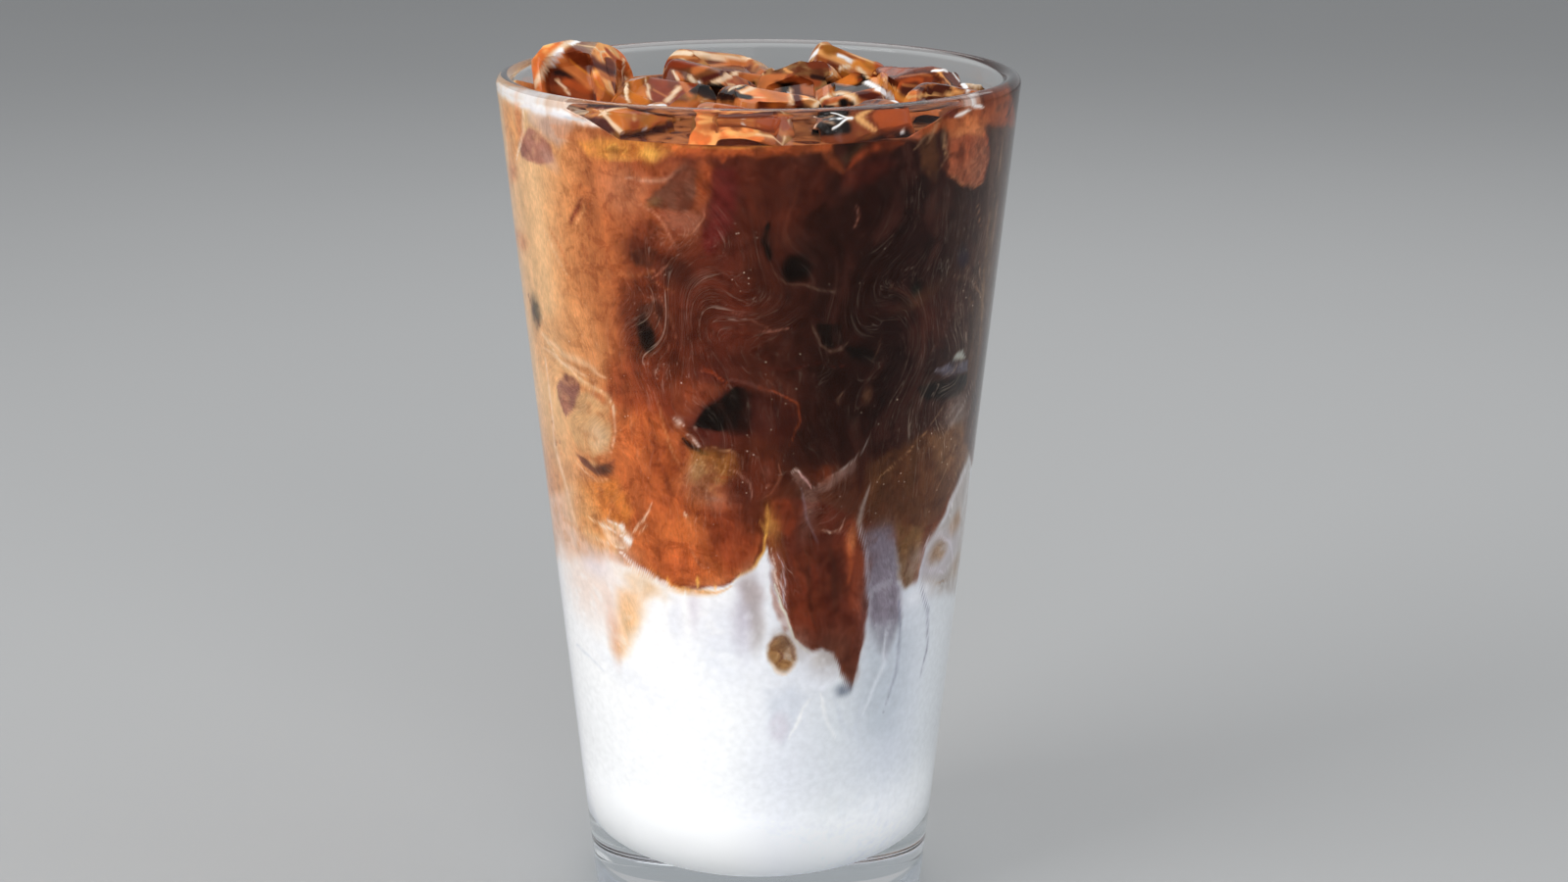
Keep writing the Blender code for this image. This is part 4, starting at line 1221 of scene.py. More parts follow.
    Strand(Tone.MAUVE_GREY, ((-71, 113.6), (-70.4, 111.6), (-69.7, 109.7)), 0.13, 0.4),
    Strand(Tone.COCOA, ((-58.4, 119.2), (-52.6, 117.4), (-46.3, 113.8), (-42.7, 109.7)),
        0.26, 0.35),
    Strand(Tone.COCOA, ((-40.6, 116.1), (-38.1, 112.2), (-39.4, 108.3), (-43.4, 106.1)),
        0.23, 0.35),
)


@dataclass(frozen=True)
class Swirl:
    """A place that the threads of milk wind round.

    The azimuth is in degrees, the height and the size in millimetres and the turn in radians.
    """

    azimuth: float
    height: float
    size: float
    turn: float


SWIRLS: tuple[Swirl, ...] = (
    Swirl(-117.9, 111.6, 7, 1.6),
    Swirl(-106.9, 96.7, 6, -1.5),
    Swirl(-146.6, 98.3, 6, 1.8),
    Swirl(-81.5, 123.6, 7, -1.8),
    Swirl(-35.3, 100.3, 6, 1.6),
    Swirl(-83.4, 55.8, 6, 1.5),
    Swirl(-28.9, 68.1, 5, 2.4),
    Swirl(-133.1, 88, 5, -1.6),
    Swirl(-72.7, 81.7, 7, 1.4),
    Swirl(-108.3, 134.8, 6, -1.2),
    Swirl(-97.7, 119.1, 9, 2),
    Swirl(-59.3, 113, 9, -1.6),
    Swirl(20, 118, 8, 1.7),
    Swirl(55, 98, 9, -1.8),
    Swirl(95, 120, 9, 1.9),
    Swirl(130, 100, 8, -1.5),
    Swirl(160, 122, 8, 1.4),
)

# Where threads of milk are thickest: azimuth, height, two half-sizes and how much more there is.
THREAD_PLACES: tuple[tuple[float, float, float, float, float], ...] = (
    (-100, 117.4, 8, 8, 0.22),
    (-30.1, 113.2, 8, 12, 0.6),
    (-141.5, 85.1, 12, 10, 0.35),
    (-69.9, 81.5, 10, 7, 0.25),
    (-33.2, 93.1, 10, 8, 0.7),
    (-83, 70.7, 5, 6, 0.4),
    (-114.6, 115.1, 5, 7, 0.4),
    (-132.1, 74.9, 8, 4, 0.5),
    (-108.7, 128.4, 8, 7, 0.2),
    (-59.5, 114.7, 10, 6, 0.12),
    (-43.5, 109.8, 14, 20, 0.19),
    (-28.5, 123, 7, 22, 0.22),
    (-43.8, 94.5, 14, 12, 0.26),
    (-54.3, 127.3, 12, 14, 0.12),
    (-148, 123.5, 10, 20, 0.15),
    (-97.4, 113.4, 22, 22, 0.2),
    (-117.2, 110.3, 7, 12, 0.45),
    (-103.9, 85.3, 14, 10, 0.35),
    (-142.9, 103.6, 16, 10, 0.35),
)


def round_axis(azimuth: Array, stops: Sequence[float], values: Array) -> Array:
    """Values between stops of azimuth, going round past 180 degrees.

    Args:
        azimuth: Where the values are looked up, in degrees.
        stops: The stops' azimuths, rising.
        values: A number or a row of numbers for each stop.

    Returns:
        A number or a row for each azimuth, on straight lines between the stops.
    """
    at = np.array(stops, float)
    wheel = np.concatenate([at - FULL_TURN, at, at + FULL_TURN])
    thrice = np.concatenate([values] * 3)
    if thrice.ndim == 1:
        return np.interp(wrapped(azimuth), wheel, thrice)
    return np.stack([np.interp(wrapped(azimuth), wheel, channel) for channel in thrice.T], axis=1)


def toned(azimuth: Array, stops: Sequence[tuple[float, Tone]]) -> Array:
    """Display colours between stops of azimuth and tone."""
    at, tones = zip(*stops)
    return round_axis(azimuth, at, np.array([tone.display for tone in tones]))


@dataclass(frozen=True)
class DrinkPainter:
    """Gives every point of the drink its tone, its threads of milk and the way that they run.

    Cells, heights and sizes are millimetres, azimuths are degrees, and pairs are the two ends of
    an eased step. A way is a stretch of noise in x, y and z, or across and along the threads.
    """

    warp: float = 0.62
    warp_cell: float = 3.0
    wash_cell: float = 16.0
    wash_way: Triple = (1.0, 1.0, 0.4)
    wash_drift: float = 6.0
    line_drift: Pair = (1.5, 1.6)
    thin_cell: float = 1.5
    thin_step: Pair = (0.0, 0.45)
    thin_spots: float = 0.38
    least_radius: float = 8.0
    margin: float = 1.0
    warmth: float = 0.45
    warm_heights: Pair = (96.0, 72.0)
    crest: float = 22.0
    crest_azimuth: float = -12.0
    crest_width: float = 24.0
    ring_radius: float = 38.0
    border_cell: float = 7.0
    border_noise: float = 3.0
    unseen_right: Pair = (-22.0, -8.0)
    unseen_left: Pair = (-156.0, -169.0)
    streak_way: Triple = (1.0, 0.22, 0.0)
    streak_cell: float = 1.6
    streaks: float = 0.16
    spot_cell: float = 2.2
    spots: float = 0.12
    brown_step: Pair = (0.86, 0.60)
    deep_step: Pair = (0.36, 0.20)
    pale_grain: float = 0.55
    dark_step: Pair = (0.36, 0.22)
    veil: Tone = Tone.ROSE_BROWN
    veil_way: Triple = (1.0, 1.8, 0.0)
    veil_cell: float = 3.4
    veil_step: Pair = (0.0, 0.55)
    veils: float = 0.12
    thread_cell: float = 7.0
    threads_least: float = 0.03
    threads_vary: float = 0.10
    thread_heights: Pair = (141.0, 134.0)
    threads_on_top: float = 0.25
    sway: float = 5.0
    sway_cell: float = 26.0

    def radius(self, millimetres: Array) -> Array:
        """How far each point is from the axis, and never nearly nothing."""
        return np.maximum(np.hypot(millimetres[:, 0], millimetres[:, 1]), self.least_radius)

    def tint(self, points: Array) -> Array:
        """The drink's colour at its wall.

        Args:
            points: The vertices, in metres.

        Returns:
            Display colours: a tone for each azimuth, then milk below the border, then each mark
            laid over the ones before, thinner in spots, and the coffee's grain. Noise moves the
            place that is looked up, so that no edge is a drawn one.
        """
        millimetres = points / MM
        azimuth, height, radius = azimuth_of(points), millimetres[:, 2], self.radius(millimetres)
        drift = layered_noise(millimetres * np.array(self.wash_way), self.wash_cell, Seed.WASH, 4)
        sideways = self.warp * layered_noise(millimetres, self.warp_cell, Seed.SIDEWAYS, 4)
        upwards = self.warp * layered_noise(millimetres, self.warp_cell, Seed.UPWARDS, 4)
        line_azimuth = azimuth + self.line_drift[0] * sideways
        colour = self.wash(
            azimuth + self.wash_drift * drift, line_azimuth, height + self.line_drift[1] * upwards
        )
        spots = layered_noise(millimetres, self.thin_cell, Seed.THIN_SPOTS, 3)
        solid = 1.0 - self.thin_spots * eased(*self.thin_step, spots)
        for mark in (*back_marks(), *FRONT_MARKS):
            around = np.radians(wrapped(azimuth - mark.middle[0])) * radius + sideways
            up = height - mark.middle[1] + upwards
            reach = mark.reach + self.margin
            near = (np.abs(around) < reach) & (np.abs(up) < reach)
            share = (mark.mask(around[near], up[near]) * solid[near])[:, None]
            colour[near] = laid(colour[near], mark.tone.display, share)
        return self.grained(colour, points)

    def grained(self, colour: Array, points: Array) -> Array:
        """Varies the coffee's brightness along the way that the threads run, and leaves the milk.

        Args:
            colour: Display colours.
            points: The vertices, in metres.

        Returns:
            The colours, each times 1 plus stretched noise, with faint veils over the darkest.
            Where a colour is nearly white it is kept, since milk shows no grain.
        """
        along = self.flow(points) * np.array(self.streak_way)
        streaks = layered_noise(along, self.streak_cell, Seed.STREAKS, 3)
        spots = layered_noise(points / MM, self.spot_cell, Seed.SPOTS, 3)
        least = colour.min(axis=1)
        amount = self.pale_grain + (1.0 - self.pale_grain) * eased(*self.deep_step, least)
        brown = eased(*self.brown_step, least) * amount
        veils = layered_noise(along * np.array(self.veil_way), self.veil_cell, Seed.VEILS, 4)
        dark = eased(*self.dark_step, colour.max(axis=1)) * eased(*self.veil_step, veils)
        lit = colour + dark[:, None] * self.veil.display * self.veils
        return lit * (1.0 + (brown * (self.streaks * streaks + self.spots * spots))[:, None])

    def wash(self, azimuth: Array, line_azimuth: Array, height: Array) -> Array:
        """The coffee's tone by azimuth, warmer low down, with milk under its line.

        Args:
            azimuth: Azimuths at which the tone is looked up, in degrees.
            line_azimuth: Azimuths at which the milk's line is looked up, in degrees.
            height: Heights, in millimetres.

        Returns:
            Display colours. The change at the line is as soft as MILK_LINE says there.
        """
        warm = self.warmth * eased(*self.warm_heights, height)[:, None]
        colour = laid(toned(azimuth, WASH), Tone.RUST.display, warm)
        stops, _, soft = zip(*MILK_LINE)
        width = round_axis(line_azimuth, stops, np.array(soft))
        milky = eased(1.0, -1.0, (height - self.milk_line(line_azimuth)) / width)[:, None]
        return laid(colour, toned(line_azimuth, MILK_SHADES), milky)

    def milk_line(self, azimuth: Array) -> Array:
        """The height that the milk rises to.

        Args:
            azimuth: Azimuths, in degrees.

        Returns:
            Heights in millimetres: MILK_LINE on the side that is seen. On the unseen side it is
            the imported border, with a bell-shaped crest at the right edge and noise.
        """
        turned = wrapped(azimuth)
        crest = self.crest * np.exp(-(((turned - self.crest_azimuth) / self.crest_width) ** 2))
        turns = np.radians(turned)
        ring = self.ring_radius * np.stack([np.cos(turns), np.sin(turns), 0.0 * turned], axis=1)
        noise = self.border_noise * layered_noise(ring, self.border_cell, Seed.BORDER, 4)
        behind = BORDER.at(1.0, turned) / MM + crest + noise
        unseen = np.maximum(eased(*self.unseen_right, turned), eased(*self.unseen_left, turned))
        stops, line, _ = zip(*MILK_LINE)
        seen = round_axis(azimuth, stops, np.array(line))
        return seen + (behind - seen) * unseen

    def threads(self, points: Array) -> Array:
        """How many pale threads show.

        Args:
            points: The vertices, in metres.

        Returns:
            A value from 0 to 1 for each: a little that varies by noise, with a bell curve for each
            of THREAD_PLACES, and less near the level.
        """
        millimetres = points / MM
        azimuth, height = azimuth_of(points), millimetres[:, 2]
        noise = layered_noise(millimetres, self.thread_cell, Seed.THREADS, 3)
        amount = self.threads_least + self.threads_vary * noise
        for at, up, wide, high, more in THREAD_PLACES:
            away = wrapped(azimuth - at)
            amount = amount + more * np.exp(-((away / wide) ** 2) - ((height - up) / high) ** 2)
        top = self.threads_on_top
        return np.clip(amount * (eased(*self.thread_heights, height) * (1.0 - top) + top), 0.0, 1.0)

    def flow(self, points: Array) -> Array:
        """The place of each point across and along the threads, in millimetres.

        Args:
            points: The vertices, in metres.

        Returns:
            Rows of the place across the threads, along them, and the height. Away from swirls a
            thread runs up the wall. At a swirl the place turns about its centre, by an angle that
            falls off as a bell curve, so that the threads wind round it.
        """
        millimetres = points / MM
        azimuth, height, radius = azimuth_of(points), millimetres[:, 2], self.radius(millimetres)
        across = np.radians(azimuth + 90.0) * self.ring_radius
        across = across + self.sway * layered_noise(millimetres, self.sway_cell, Seed.ACROSS, 2)
        along = height + self.sway * layered_noise(millimetres, self.sway_cell, Seed.ALONG, 2)
        for swirl in SWIRLS:
            side = np.radians(wrapped(azimuth - swirl.azimuth)) * radius
            up = height - swirl.height
            angle = swirl.turn * np.exp(-(side**2 + up**2) / swirl.size**2)
            across = across + side * np.cos(angle) - up * np.sin(angle) - side
            along = along + side * np.sin(angle) + up * np.cos(angle) - up
        return np.stack([across, along, height], axis=1)


def border_foot(azimuth: float) -> float:
    """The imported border's height at the wall, in millimetres."""
    return float(BORDER.at(1.0, np.array([azimuth]))[0]) / MM


def back_marks() -> list[Mark]:
    """Marks on the side that the photograph doesn't show, placed by a seeded draw.

    Returns:
        Large soft patches, sunk ice as a dark patch with a pale edge, curved strands that rise
        from the border, and soft patches at the border.
    """
    draw = np.random.default_rng(Seed.BACK_MARKS)
    uniform = draw.uniform
    marks: list[Mark] = []
    for _ in range(26):
        azimuth, height, size = uniform(-2.0, 186.0), uniform(82.0, 134.0), uniform(2.0, 6.0)
        tone = (Tone.RUST, Tone.CARAMEL, Tone.ROSEWOOD, Tone.KHAKI, Tone.CHESTNUT)[draw.integers(5)]
        tilt = uniform(-60.0, 60.0)
        marks.append(Patch(tone, azimuth, height, size, size * uniform(0.6, 1.9), tilt, 0.55, 0.8))
    for _ in range(9):
        azimuth, height, tilt = uniform(0.0, 180.0), uniform(88.0, 132.0), uniform(-70.0, 70.0)
        tone = (Tone.UMBER, Tone.DARK, Tone.MAUVE_DARK)[draw.integers(3)]
        size = uniform(0.6, 2.4)
        marks.append(Patch(tone, azimuth, height, size, size * uniform(1.0, 2.6), tilt, 0.75))
        marks.append(Patch(Tone.KHAKI, azimuth + 2.5, height - 0.5, 0.6, 2.6, tilt, 0.4))
    for _ in range(22):
        azimuth, lean, length = uniform(-4.0, 188.0), uniform(-10.0, 10.0), uniform(6.0, 18.0)
        foot = border_foot(azimuth) - 4.0
        path = tuple(
            (azimuth + lean * share * share + uniform(-1.5, 1.5), foot + length * share)
            for share in (0.0, 0.25, 0.5, 0.75, 1.0)
        )
        tone = (Tone.LILAC_GREY, Tone.CREAM, Tone.APRICOT, Tone.KHAKI)[draw.integers(4)]
        marks.append(Strand(tone, path, uniform(0.3, 1.7), uniform(0.25, 0.6)))
    for _ in range(12):
        azimuth = uniform(0.0, 182.0)
        tone = (Tone.LILAC_GREY, Tone.TAN_DEEP, Tone.CARAMEL_DEEP)[draw.integers(3)]
        wide, high = uniform(2.0, 4.5), uniform(3.0, 8.0)
        height = border_foot(azimuth) + uniform(-6.0, 3.0)
        marks.append(Patch(tone, azimuth, height, wide, high, uniform(-20.0, 20.0), 0.5, 0.9))
    return marks


# How high the film of creamy coffee clings to the wall, and so how high its painted highlights
# reach: azimuth and height in degrees and mm.
FILM_TOPS: tuple[tuple[int, float], ...] = (
    (-180, 147.6),
    (-150, 147.6),
    (-139, 147.5),
    (-131, 146.2),
    (-125, 144.2),
    (-121, 143.0),
    (-57, 143.0),
    (-50, 145.0),
    (-44, 147.0),
    (-36, 147.6),
    (-8, 147.6),
    (6, 145.0),
    (20, 143.0),
    (120, 143.0),
    (160, 144.5),
)


@dataclass(frozen=True)
class DrinkSurface:
    """The grids that the milk, the coffee and the film are made of.

    Columns turn about the axis, closer together at the photographed side. Rows run along the
    section.
    """

    columns: int = 420
    crowding: float = 0.60
    wall_rows: int = 196
    milk_rows: int = 104
    brim: float = 0.0024
    brim_rows: int = 9
    level_rows: int = 22
    level_hub: float = 0.001
    meniscus: float = 0.0007
    meniscus_width: float = 0.0016
    meniscus_power: float = 1.5
    meniscus_fall: float = 2.0
    film_rows: int = 18
    film_foot: float = 0.6
    film_gap: float = 0.00003
    film_thickness: float = 0.0004
    film_cell: float = 0.006
    film_uneven: float = 0.12
    painter: DrinkPainter = DrinkPainter()

    def azimuths(self) -> Array:
        """Azimuths in degrees: even steps, moved by a sine so that the front ones lie closer."""
        step = np.arange(self.columns) / self.columns
        return -90.0 + 360.0 * (step - self.crowding * np.sin(2.0 * np.pi * step) / (2.0 * np.pi))

    def ring_points(self, radius: Array, height: Array) -> Array:
        """Points round the axis at each column's azimuth.

        Args:
            radius: A radius for each column, or rows of them.
            height: The heights, in the same way.

        Returns:
            The points: radius times the azimuth's cosine and sine, and the height.
        """
        turns = np.radians(self.azimuths())
        radius, height = np.broadcast_arrays(radius, height)
        return np.stack([radius * np.cos(turns), radius * np.sin(turns), height], axis=-1)

    def border_rows(self) -> Array:
        """The rows along the border.

        Returns:
            One row of points for each of the border's shares of the radius, from the wall inwards.
        """
        rows = []
        for share in BORDER.shares:
            height = BORDER.at(share, self.azimuths())
            rows.append(self.ring_points(share * VESSEL.drink_radius(height), height))
        return np.array(rows)

    def milk_points(self) -> Array:
        """The milk's rows.

        Returns:
            Rows of points along the floor, round its curve, up the wall and in along the border.
        """
        floor = VESSEL.floor_profile(VESSEL.reach)[1:]
        every = np.ones(self.columns)
        low = [self.ring_points(radius * every, height * every) for radius, height in floor]
        shares = np.linspace(0.0, 1.0, self.milk_rows + 1)[1:, None]
        height = floor[-1, 1] + (BORDER.at(1.0, self.azimuths()) - floor[-1, 1]) * shares
        wall = self.ring_points(VESSEL.drink_radius(height), height)
        return np.concatenate([np.array(low), wall, self.border_rows()[1:]])

    def coffee_points(self) -> Array:
        """The coffee's rows: out along the border, up the wall and in along its level.

        Returns:
            The rows of points. Near the wall the level rises in a meniscus, which falls off as
            the exponential of a power of the distance from the wall.
        """
        border = BORDER.at(1.0, self.azimuths())
        shares = np.linspace(0.0, 1.0, self.wall_rows + 1)[1:, None]
        top = VESSEL.level + self.meniscus
        height = border + (top - border) * shares
        wall = self.ring_points(VESSEL.drink_radius(height), height)
        reach = float(VESSEL.drink_radius(top))
        brim = np.linspace(0.0, self.brim, self.brim_rows)[1:]
        rest = np.linspace(self.brim, reach - self.level_hub, self.level_rows)[1:]
        inwards = np.concatenate([brim, rest])
        away = (inwards / self.meniscus_width) ** self.meniscus_power
        rise = VESSEL.level + self.meniscus * np.exp(-away * self.meniscus_fall)
        level = self.ring_points((reach - inwards)[:, None] * np.ones(self.columns), rise[:, None])
        return np.concatenate([self.border_rows()[::-1], wall, level])

    def film(self, name: str) -> Thing:
        """The thin film of creamy coffee that clings to the wall above the level, which also
        carries painted highlights: a white band under the rim at the left, and glints at the right.

        Args:
            name: The piece's name.

        Returns:
            The painted piece: rows up the wall to FILM_TOPS and down again, a film's thickness
            further in, joined in a ring both ways.
        """
        foot = VESSEL.level + self.film_foot * self.meniscus
        stops, tops = zip(*FILM_TOPS)
        top = round_axis(self.azimuths(), stops, np.array(tops)) * MM
        rim = self.ring_points(np.full(self.columns, VESSEL.rim_radius), 0.0)
        uneven = layered_noise(rim, self.film_cell, Seed.FILM, 3)
        top = foot + (top - foot) * (1.0 + self.film_uneven * uneven)
        top = np.minimum(top, VESSEL.height - VESSEL.wall_at_rim / 2 - self.film_gap)
        height = foot + (top - foot) * np.linspace(0.0, 1.0, self.film_rows)[:, None]
        radius = VESSEL.drink_radius(height) - self.film_gap
        inner = self.ring_points(radius - self.film_thickness, height)[::-1]
        points = np.concatenate([self.ring_points(radius, height), inner]).reshape(-1, 3)
        quads = grid_faces(self.columns, 2 * self.film_rows + 1, closed=True) % len(points)
        return self.painted(new_mesh_object(name, points, quads), points)

    def build(self, name: str, rows: Array, low_pole: float, high_pole: float) -> Thing:
        """Closes rows of points into a painted piece.

        Args:
            name: The piece's name.
            rows: The rings of points.
            low_pole: The height of the pole under the first ring.
            high_pole: The height of the pole over the last ring.

        Returns:
            The piece, with its tint, threads and flow on every vertex.
        """
        poles = np.array([[0.0, 0.0, low_pole], [0.0, 0.0, high_pole]])
        points = np.concatenate([rows.reshape(-1, 3), poles])
        quads = grid_faces(self.columns, len(rows), closed=True)
        fans = pole_fans(self.columns, len(rows))
        return self.painted(new_mesh_object(name, points, quads, fans), points)

    def painted(self, thing: Thing, points: Array) -> Thing:
        """Stores the tint, threads and flow on every vertex of a piece.

        Args:
            thing: The piece.
            points: Its vertices, in metres.

        Returns:
            The piece.
        """
        add_colour(thing, self.painter.tint(points))
        add_values(thing, THREADS, self.painter.threads(points))
        add_values(thing, FLOW, self.painter.flow(points))
        return thing


@dataclass(frozen=True)
class Stroke:
    """A soft line of one tone over the ice, through points in millimetres."""

    tone: Tone
    half_width: float
    strength: float
    points: tuple[Triple, ...]
    fade: ClassVar[Pair] = (1.5, 0.5)
    drift: ClassVar[float] = 0.22
    drift_cell: ClassVar[float] = 1.5

    @property
    def reach(self) -> float:
        """How far the tone goes from the line of points, in millimetres."""
        return self.fade[0] * self.half_width

    def mask(self, place: Array) -> Array:
        """How much of the tone each place takes.

        Args:
            place: Places in millimetres, one row each.

        Returns:
            The strength, eased from 0 to full as the distance to the line of points falls from one
            and a half times the half-width to half of it.
        """
        path = np.array(self.points, float)
        nearest = np.linalg.norm(place - path[0], axis=1)
        for start, stop in zip(path, path[1:]):
            side = stop - start
            along = np.clip(((place - start) @ side) / max(side @ side, TINY), 0.0, 1.0)
            away = np.linalg.norm(place - start - along[:, None] * side, axis=1)
            nearest = np.minimum(nearest, away)
        return self.strength * eased(*self.fade, nearest / self.half_width)


def stroked(colour: Array, points: Array) -> Array:
    """Lays the strokes of ICE_STROKES, with their painted highlights, over the colours of some
    points.

    Args:
        colour: Display colours.
        points: The points, in metres.

    Returns:
        The colours under the strokes. Noise moves each point a little before it is looked up, so
        that no stroke has a drawn edge.
    """
    place = points / MM
    noise = [lattice_noise(place, Stroke.drift_cell, Seed.STROKES + axis) for axis in range(3)]
    place = place + Stroke.drift * np.stack(noise, axis=1)
    low, high = place.min(axis=0), place.max(axis=0)
    for stroke in ICE_STROKES:
        path, reach = np.array(stroke.points), stroke.reach
        if (path.max(axis=0) < low - reach).any() or (path.min(axis=0) > high + reach).any():
            continue
        colour = laid(colour, stroke.tone.display, stroke.mask(place)[:, None])
    return colour


@dataclass(frozen=True)
class IceLook:
    """The tones of one ice cube: its hollows, its faces, its rims and the thin pale line on its
    edges, a painted highlight.

    The widths and the depth are shares of a half-side, and a step is the two ends of an eased one.
    """

    hollow: Tone
    face: Tone
    rim: Tone
    line: Tone = Tone.CREAM
    rim_width: float = 0.27
    hollow_depth: float = 0.40
    face_step: Pair = (-0.25, 0.25)
    hollow_step: Pair = (0.25, 0.75)
    edge_step: Pair = (-0.15, 0.35)
    bare_step: Pair = (0.85, 0.60)
    vein_share: float = 0.4
    blotch_share: float = 0.35
    veins: float = 0.16
    line_width: float = 0.06
    edge_highlight_strength: float = 0.8
    chip_tones: Pair = (0.58, 1.22)
    warmth: Triple = (0.02, 0.10, 0.22)


@dataclass(frozen=True)
class IceCube:
    """A melted, chipped cube at the place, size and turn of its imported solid.

    The place is the azimuth in degrees, and the distance from the axis and the height of the centre
    in millimetres. The size in millimetres runs towards the wall, along it and up, and the turn in
    degrees is about the same directions. Cells are shares of a half-side, or millimetres in a tint.
    """

    number: int
    place: Triple
    size: Triple
    turn: Triple
    look: IceLook
    steps: int = 46
    crowding: float = 0.9
    squareness: float = 7.0
    bowl_depths: tuple[float, ...] = (0.12, 0.5, 0.8, 1.0)
    bowl_edge: Pair = (0.03, -0.16)
    bowl_off: float = 0.22
    bowl_shares: Pair = (0.75, 1.0)
    bowl_tone: float = 0.2
    wobble: float = 0.13
    wobble_cell: float = 0.8
    chips: int = 11
    chip_depths: Pair = (0.76, 0.95)
    least_lean: float = 0.15
    lumps: float = 0.016
    lump_cell: float = 0.55
    sharp: float = 32.0

    @property
    def name(self) -> str:
        """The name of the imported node."""
        return f"ice_{self.number:02d}"

    def cube_grid(self) -> tuple[Array, Array]:
        """The points and faces of a cube of half-size 1, each face a grid, with its seams merged.

        Returns:
            The points and the four-sided faces. Along a side the points stand at the sine of even
            steps, so that they lie closer at the edges.
        """
        steps = np.linspace(-0.5, 0.5, self.steps + 1) * np.pi * self.crowding
        side = np.sin(steps) / math.sin(self.crowding * math.pi / 2)
        across, along = np.meshgrid(side, side, indexing="xy")
        grids, faces = [], []
        for axis, way in itertools.product(range(3), (-1.0, 1.0)):
            grid = np.zeros((*across.shape, 3))
            grid[..., axis] = way
            grid[..., (axis + 1) % 3] = across if way > 0 else along
            grid[..., (axis + 2) % 3] = along if way > 0 else across
            first = len(grids) * across.size
            faces.append(grid_faces(self.steps + 1, self.steps + 1, closed=False) + first)
            grids.append(grid.reshape(-1, 3))
        kept, index = np.unique(np.round(np.concatenate(grids), 6), axis=0, return_inverse=True)
        return kept, index.reshape(-1)[np.concatenate(faces)]

    def melted(self, corner: Array) -> tuple[Array, Array]:
        """Rounds a cube's edges and hollows its faces.

        Args:
            corner: Points of a cube of half-size 1.

        Returns:
            The melted points, and how hollow each is. A point is drawn in until the sum of its
            coordinates to the power of the squareness is 2, and on each face it is pushed in by a
            seeded share of the depth times a bowl: 1 in its middle, eased to 0 at the rim both
            ways. Noise moves the bowl's edge and roughens the whole.
        """
        power = self.squareness
        length = (np.abs(corner) ** power).sum(axis=1) ** (1.0 / power)
        point = corner * 2.0 ** (1.0 / power) / length[:, None]
        apart, seed = corner + 7.0 * self.number, Seed.ICE_BOWLS + self.number
        wobble = self.wobble * layered_noise(apart, self.wobble_cell, seed, 2)
        draw = np.random.default_rng(Seed.HOLLOWS + self.number)
        start, stop = (1.0 - self.look.rim_width + edge for edge in self.bowl_edge)
        hollow = np.zeros(len(corner))
        for axis, way in itertools.product(range(3), (-1.0, 1.0)):
            depth = self.look.hollow_depth * draw.choice(self.bowl_depths)
            off = draw.uniform(-self.bowl_off, self.bowl_off, 2)
            share = draw.uniform(*self.bowl_shares)
            across = np.abs(corner[:, axis - 1] + off[0]) / share + wobble
            along = np.abs(corner[:, axis - 2] + off[1]) - wobble
            bowl = eased(start, stop, across) * eased(start, stop, along)
            bowl = np.where(way * corner[:, axis] > 1.0 - 1e-6, bowl, 0.0)
            point[:, axis] *= 1.0 - depth * bowl
            tone = min(depth / self.look.hollow_depth + self.bowl_tone, 1.0)
            hollow = np.maximum(hollow, bowl * tone)
        apart = corner + 3.0 * self.number
        grain = layered_noise(apart, self.lump_cell, Seed.ICE_GRAIN + self.number, 3)
        return point * (1.0 + self.lumps * grain[:, None]), hollow

    def chipped(self, point: Array) -> tuple[Array, Array]:
        """Cuts flat chips from the edges and corners.

        Args:
            point: The melted points.

        Returns:
            The points, each beyond a seeded plane moved back onto it along the plane's normal, and
            the number of the last chip that moved it, from 1, or 0.
        """
        draw = np.random.default_rng(Seed.CHIPS + self.number)
        chip = np.zeros(len(point), int)
        for number in range(1, self.chips + 1):
            normal = draw.uniform(self.least_lean, 1.0, 3) * draw.choice((-1.0, 1.0), 3)
            normal /= np.linalg.norm(normal)
            depth = (point @ normal).max() * draw.uniform(*self.chip_depths)
            over = point @ normal - depth
            chip[over > 0.0] = number
            point = point - np.maximum(over, 0.0)[:, None] * normal
        return point, chip

    def placed(self, point: Array) -> Array:
        """Scales, turns and moves points of a cube of half-size 1.

        Args:
            point: The points.

        Returns:
            The points at the cube's place, in metres: times the half-sizes, turned, moved out
            from the axis and up, and turned about the axis to the azimuth.
        """
        azimuth, distance, height = self.place
        half = np.diag([side * MM / 2 for side in self.size])
        turned = np.array(Euler([math.radians(angle) for angle in self.turn]).to_matrix())
        about = np.array(Matrix.Rotation(math.radians(azimuth), 3, "Z"))
        return (point @ (turned @ half).T + np.array([distance * MM, 0.0, height * MM])) @ about.T

    def noise(self, points: Array, way: float, cell: float, seed: Seed, layers: int) -> Array:
        """The cube's own noise at points in metres, its z times way, with a cell in millimetres."""
        place = points / MM * np.array([1.0, 1.0, way])
        return layered_noise(place, cell, seed + self.number, layers)

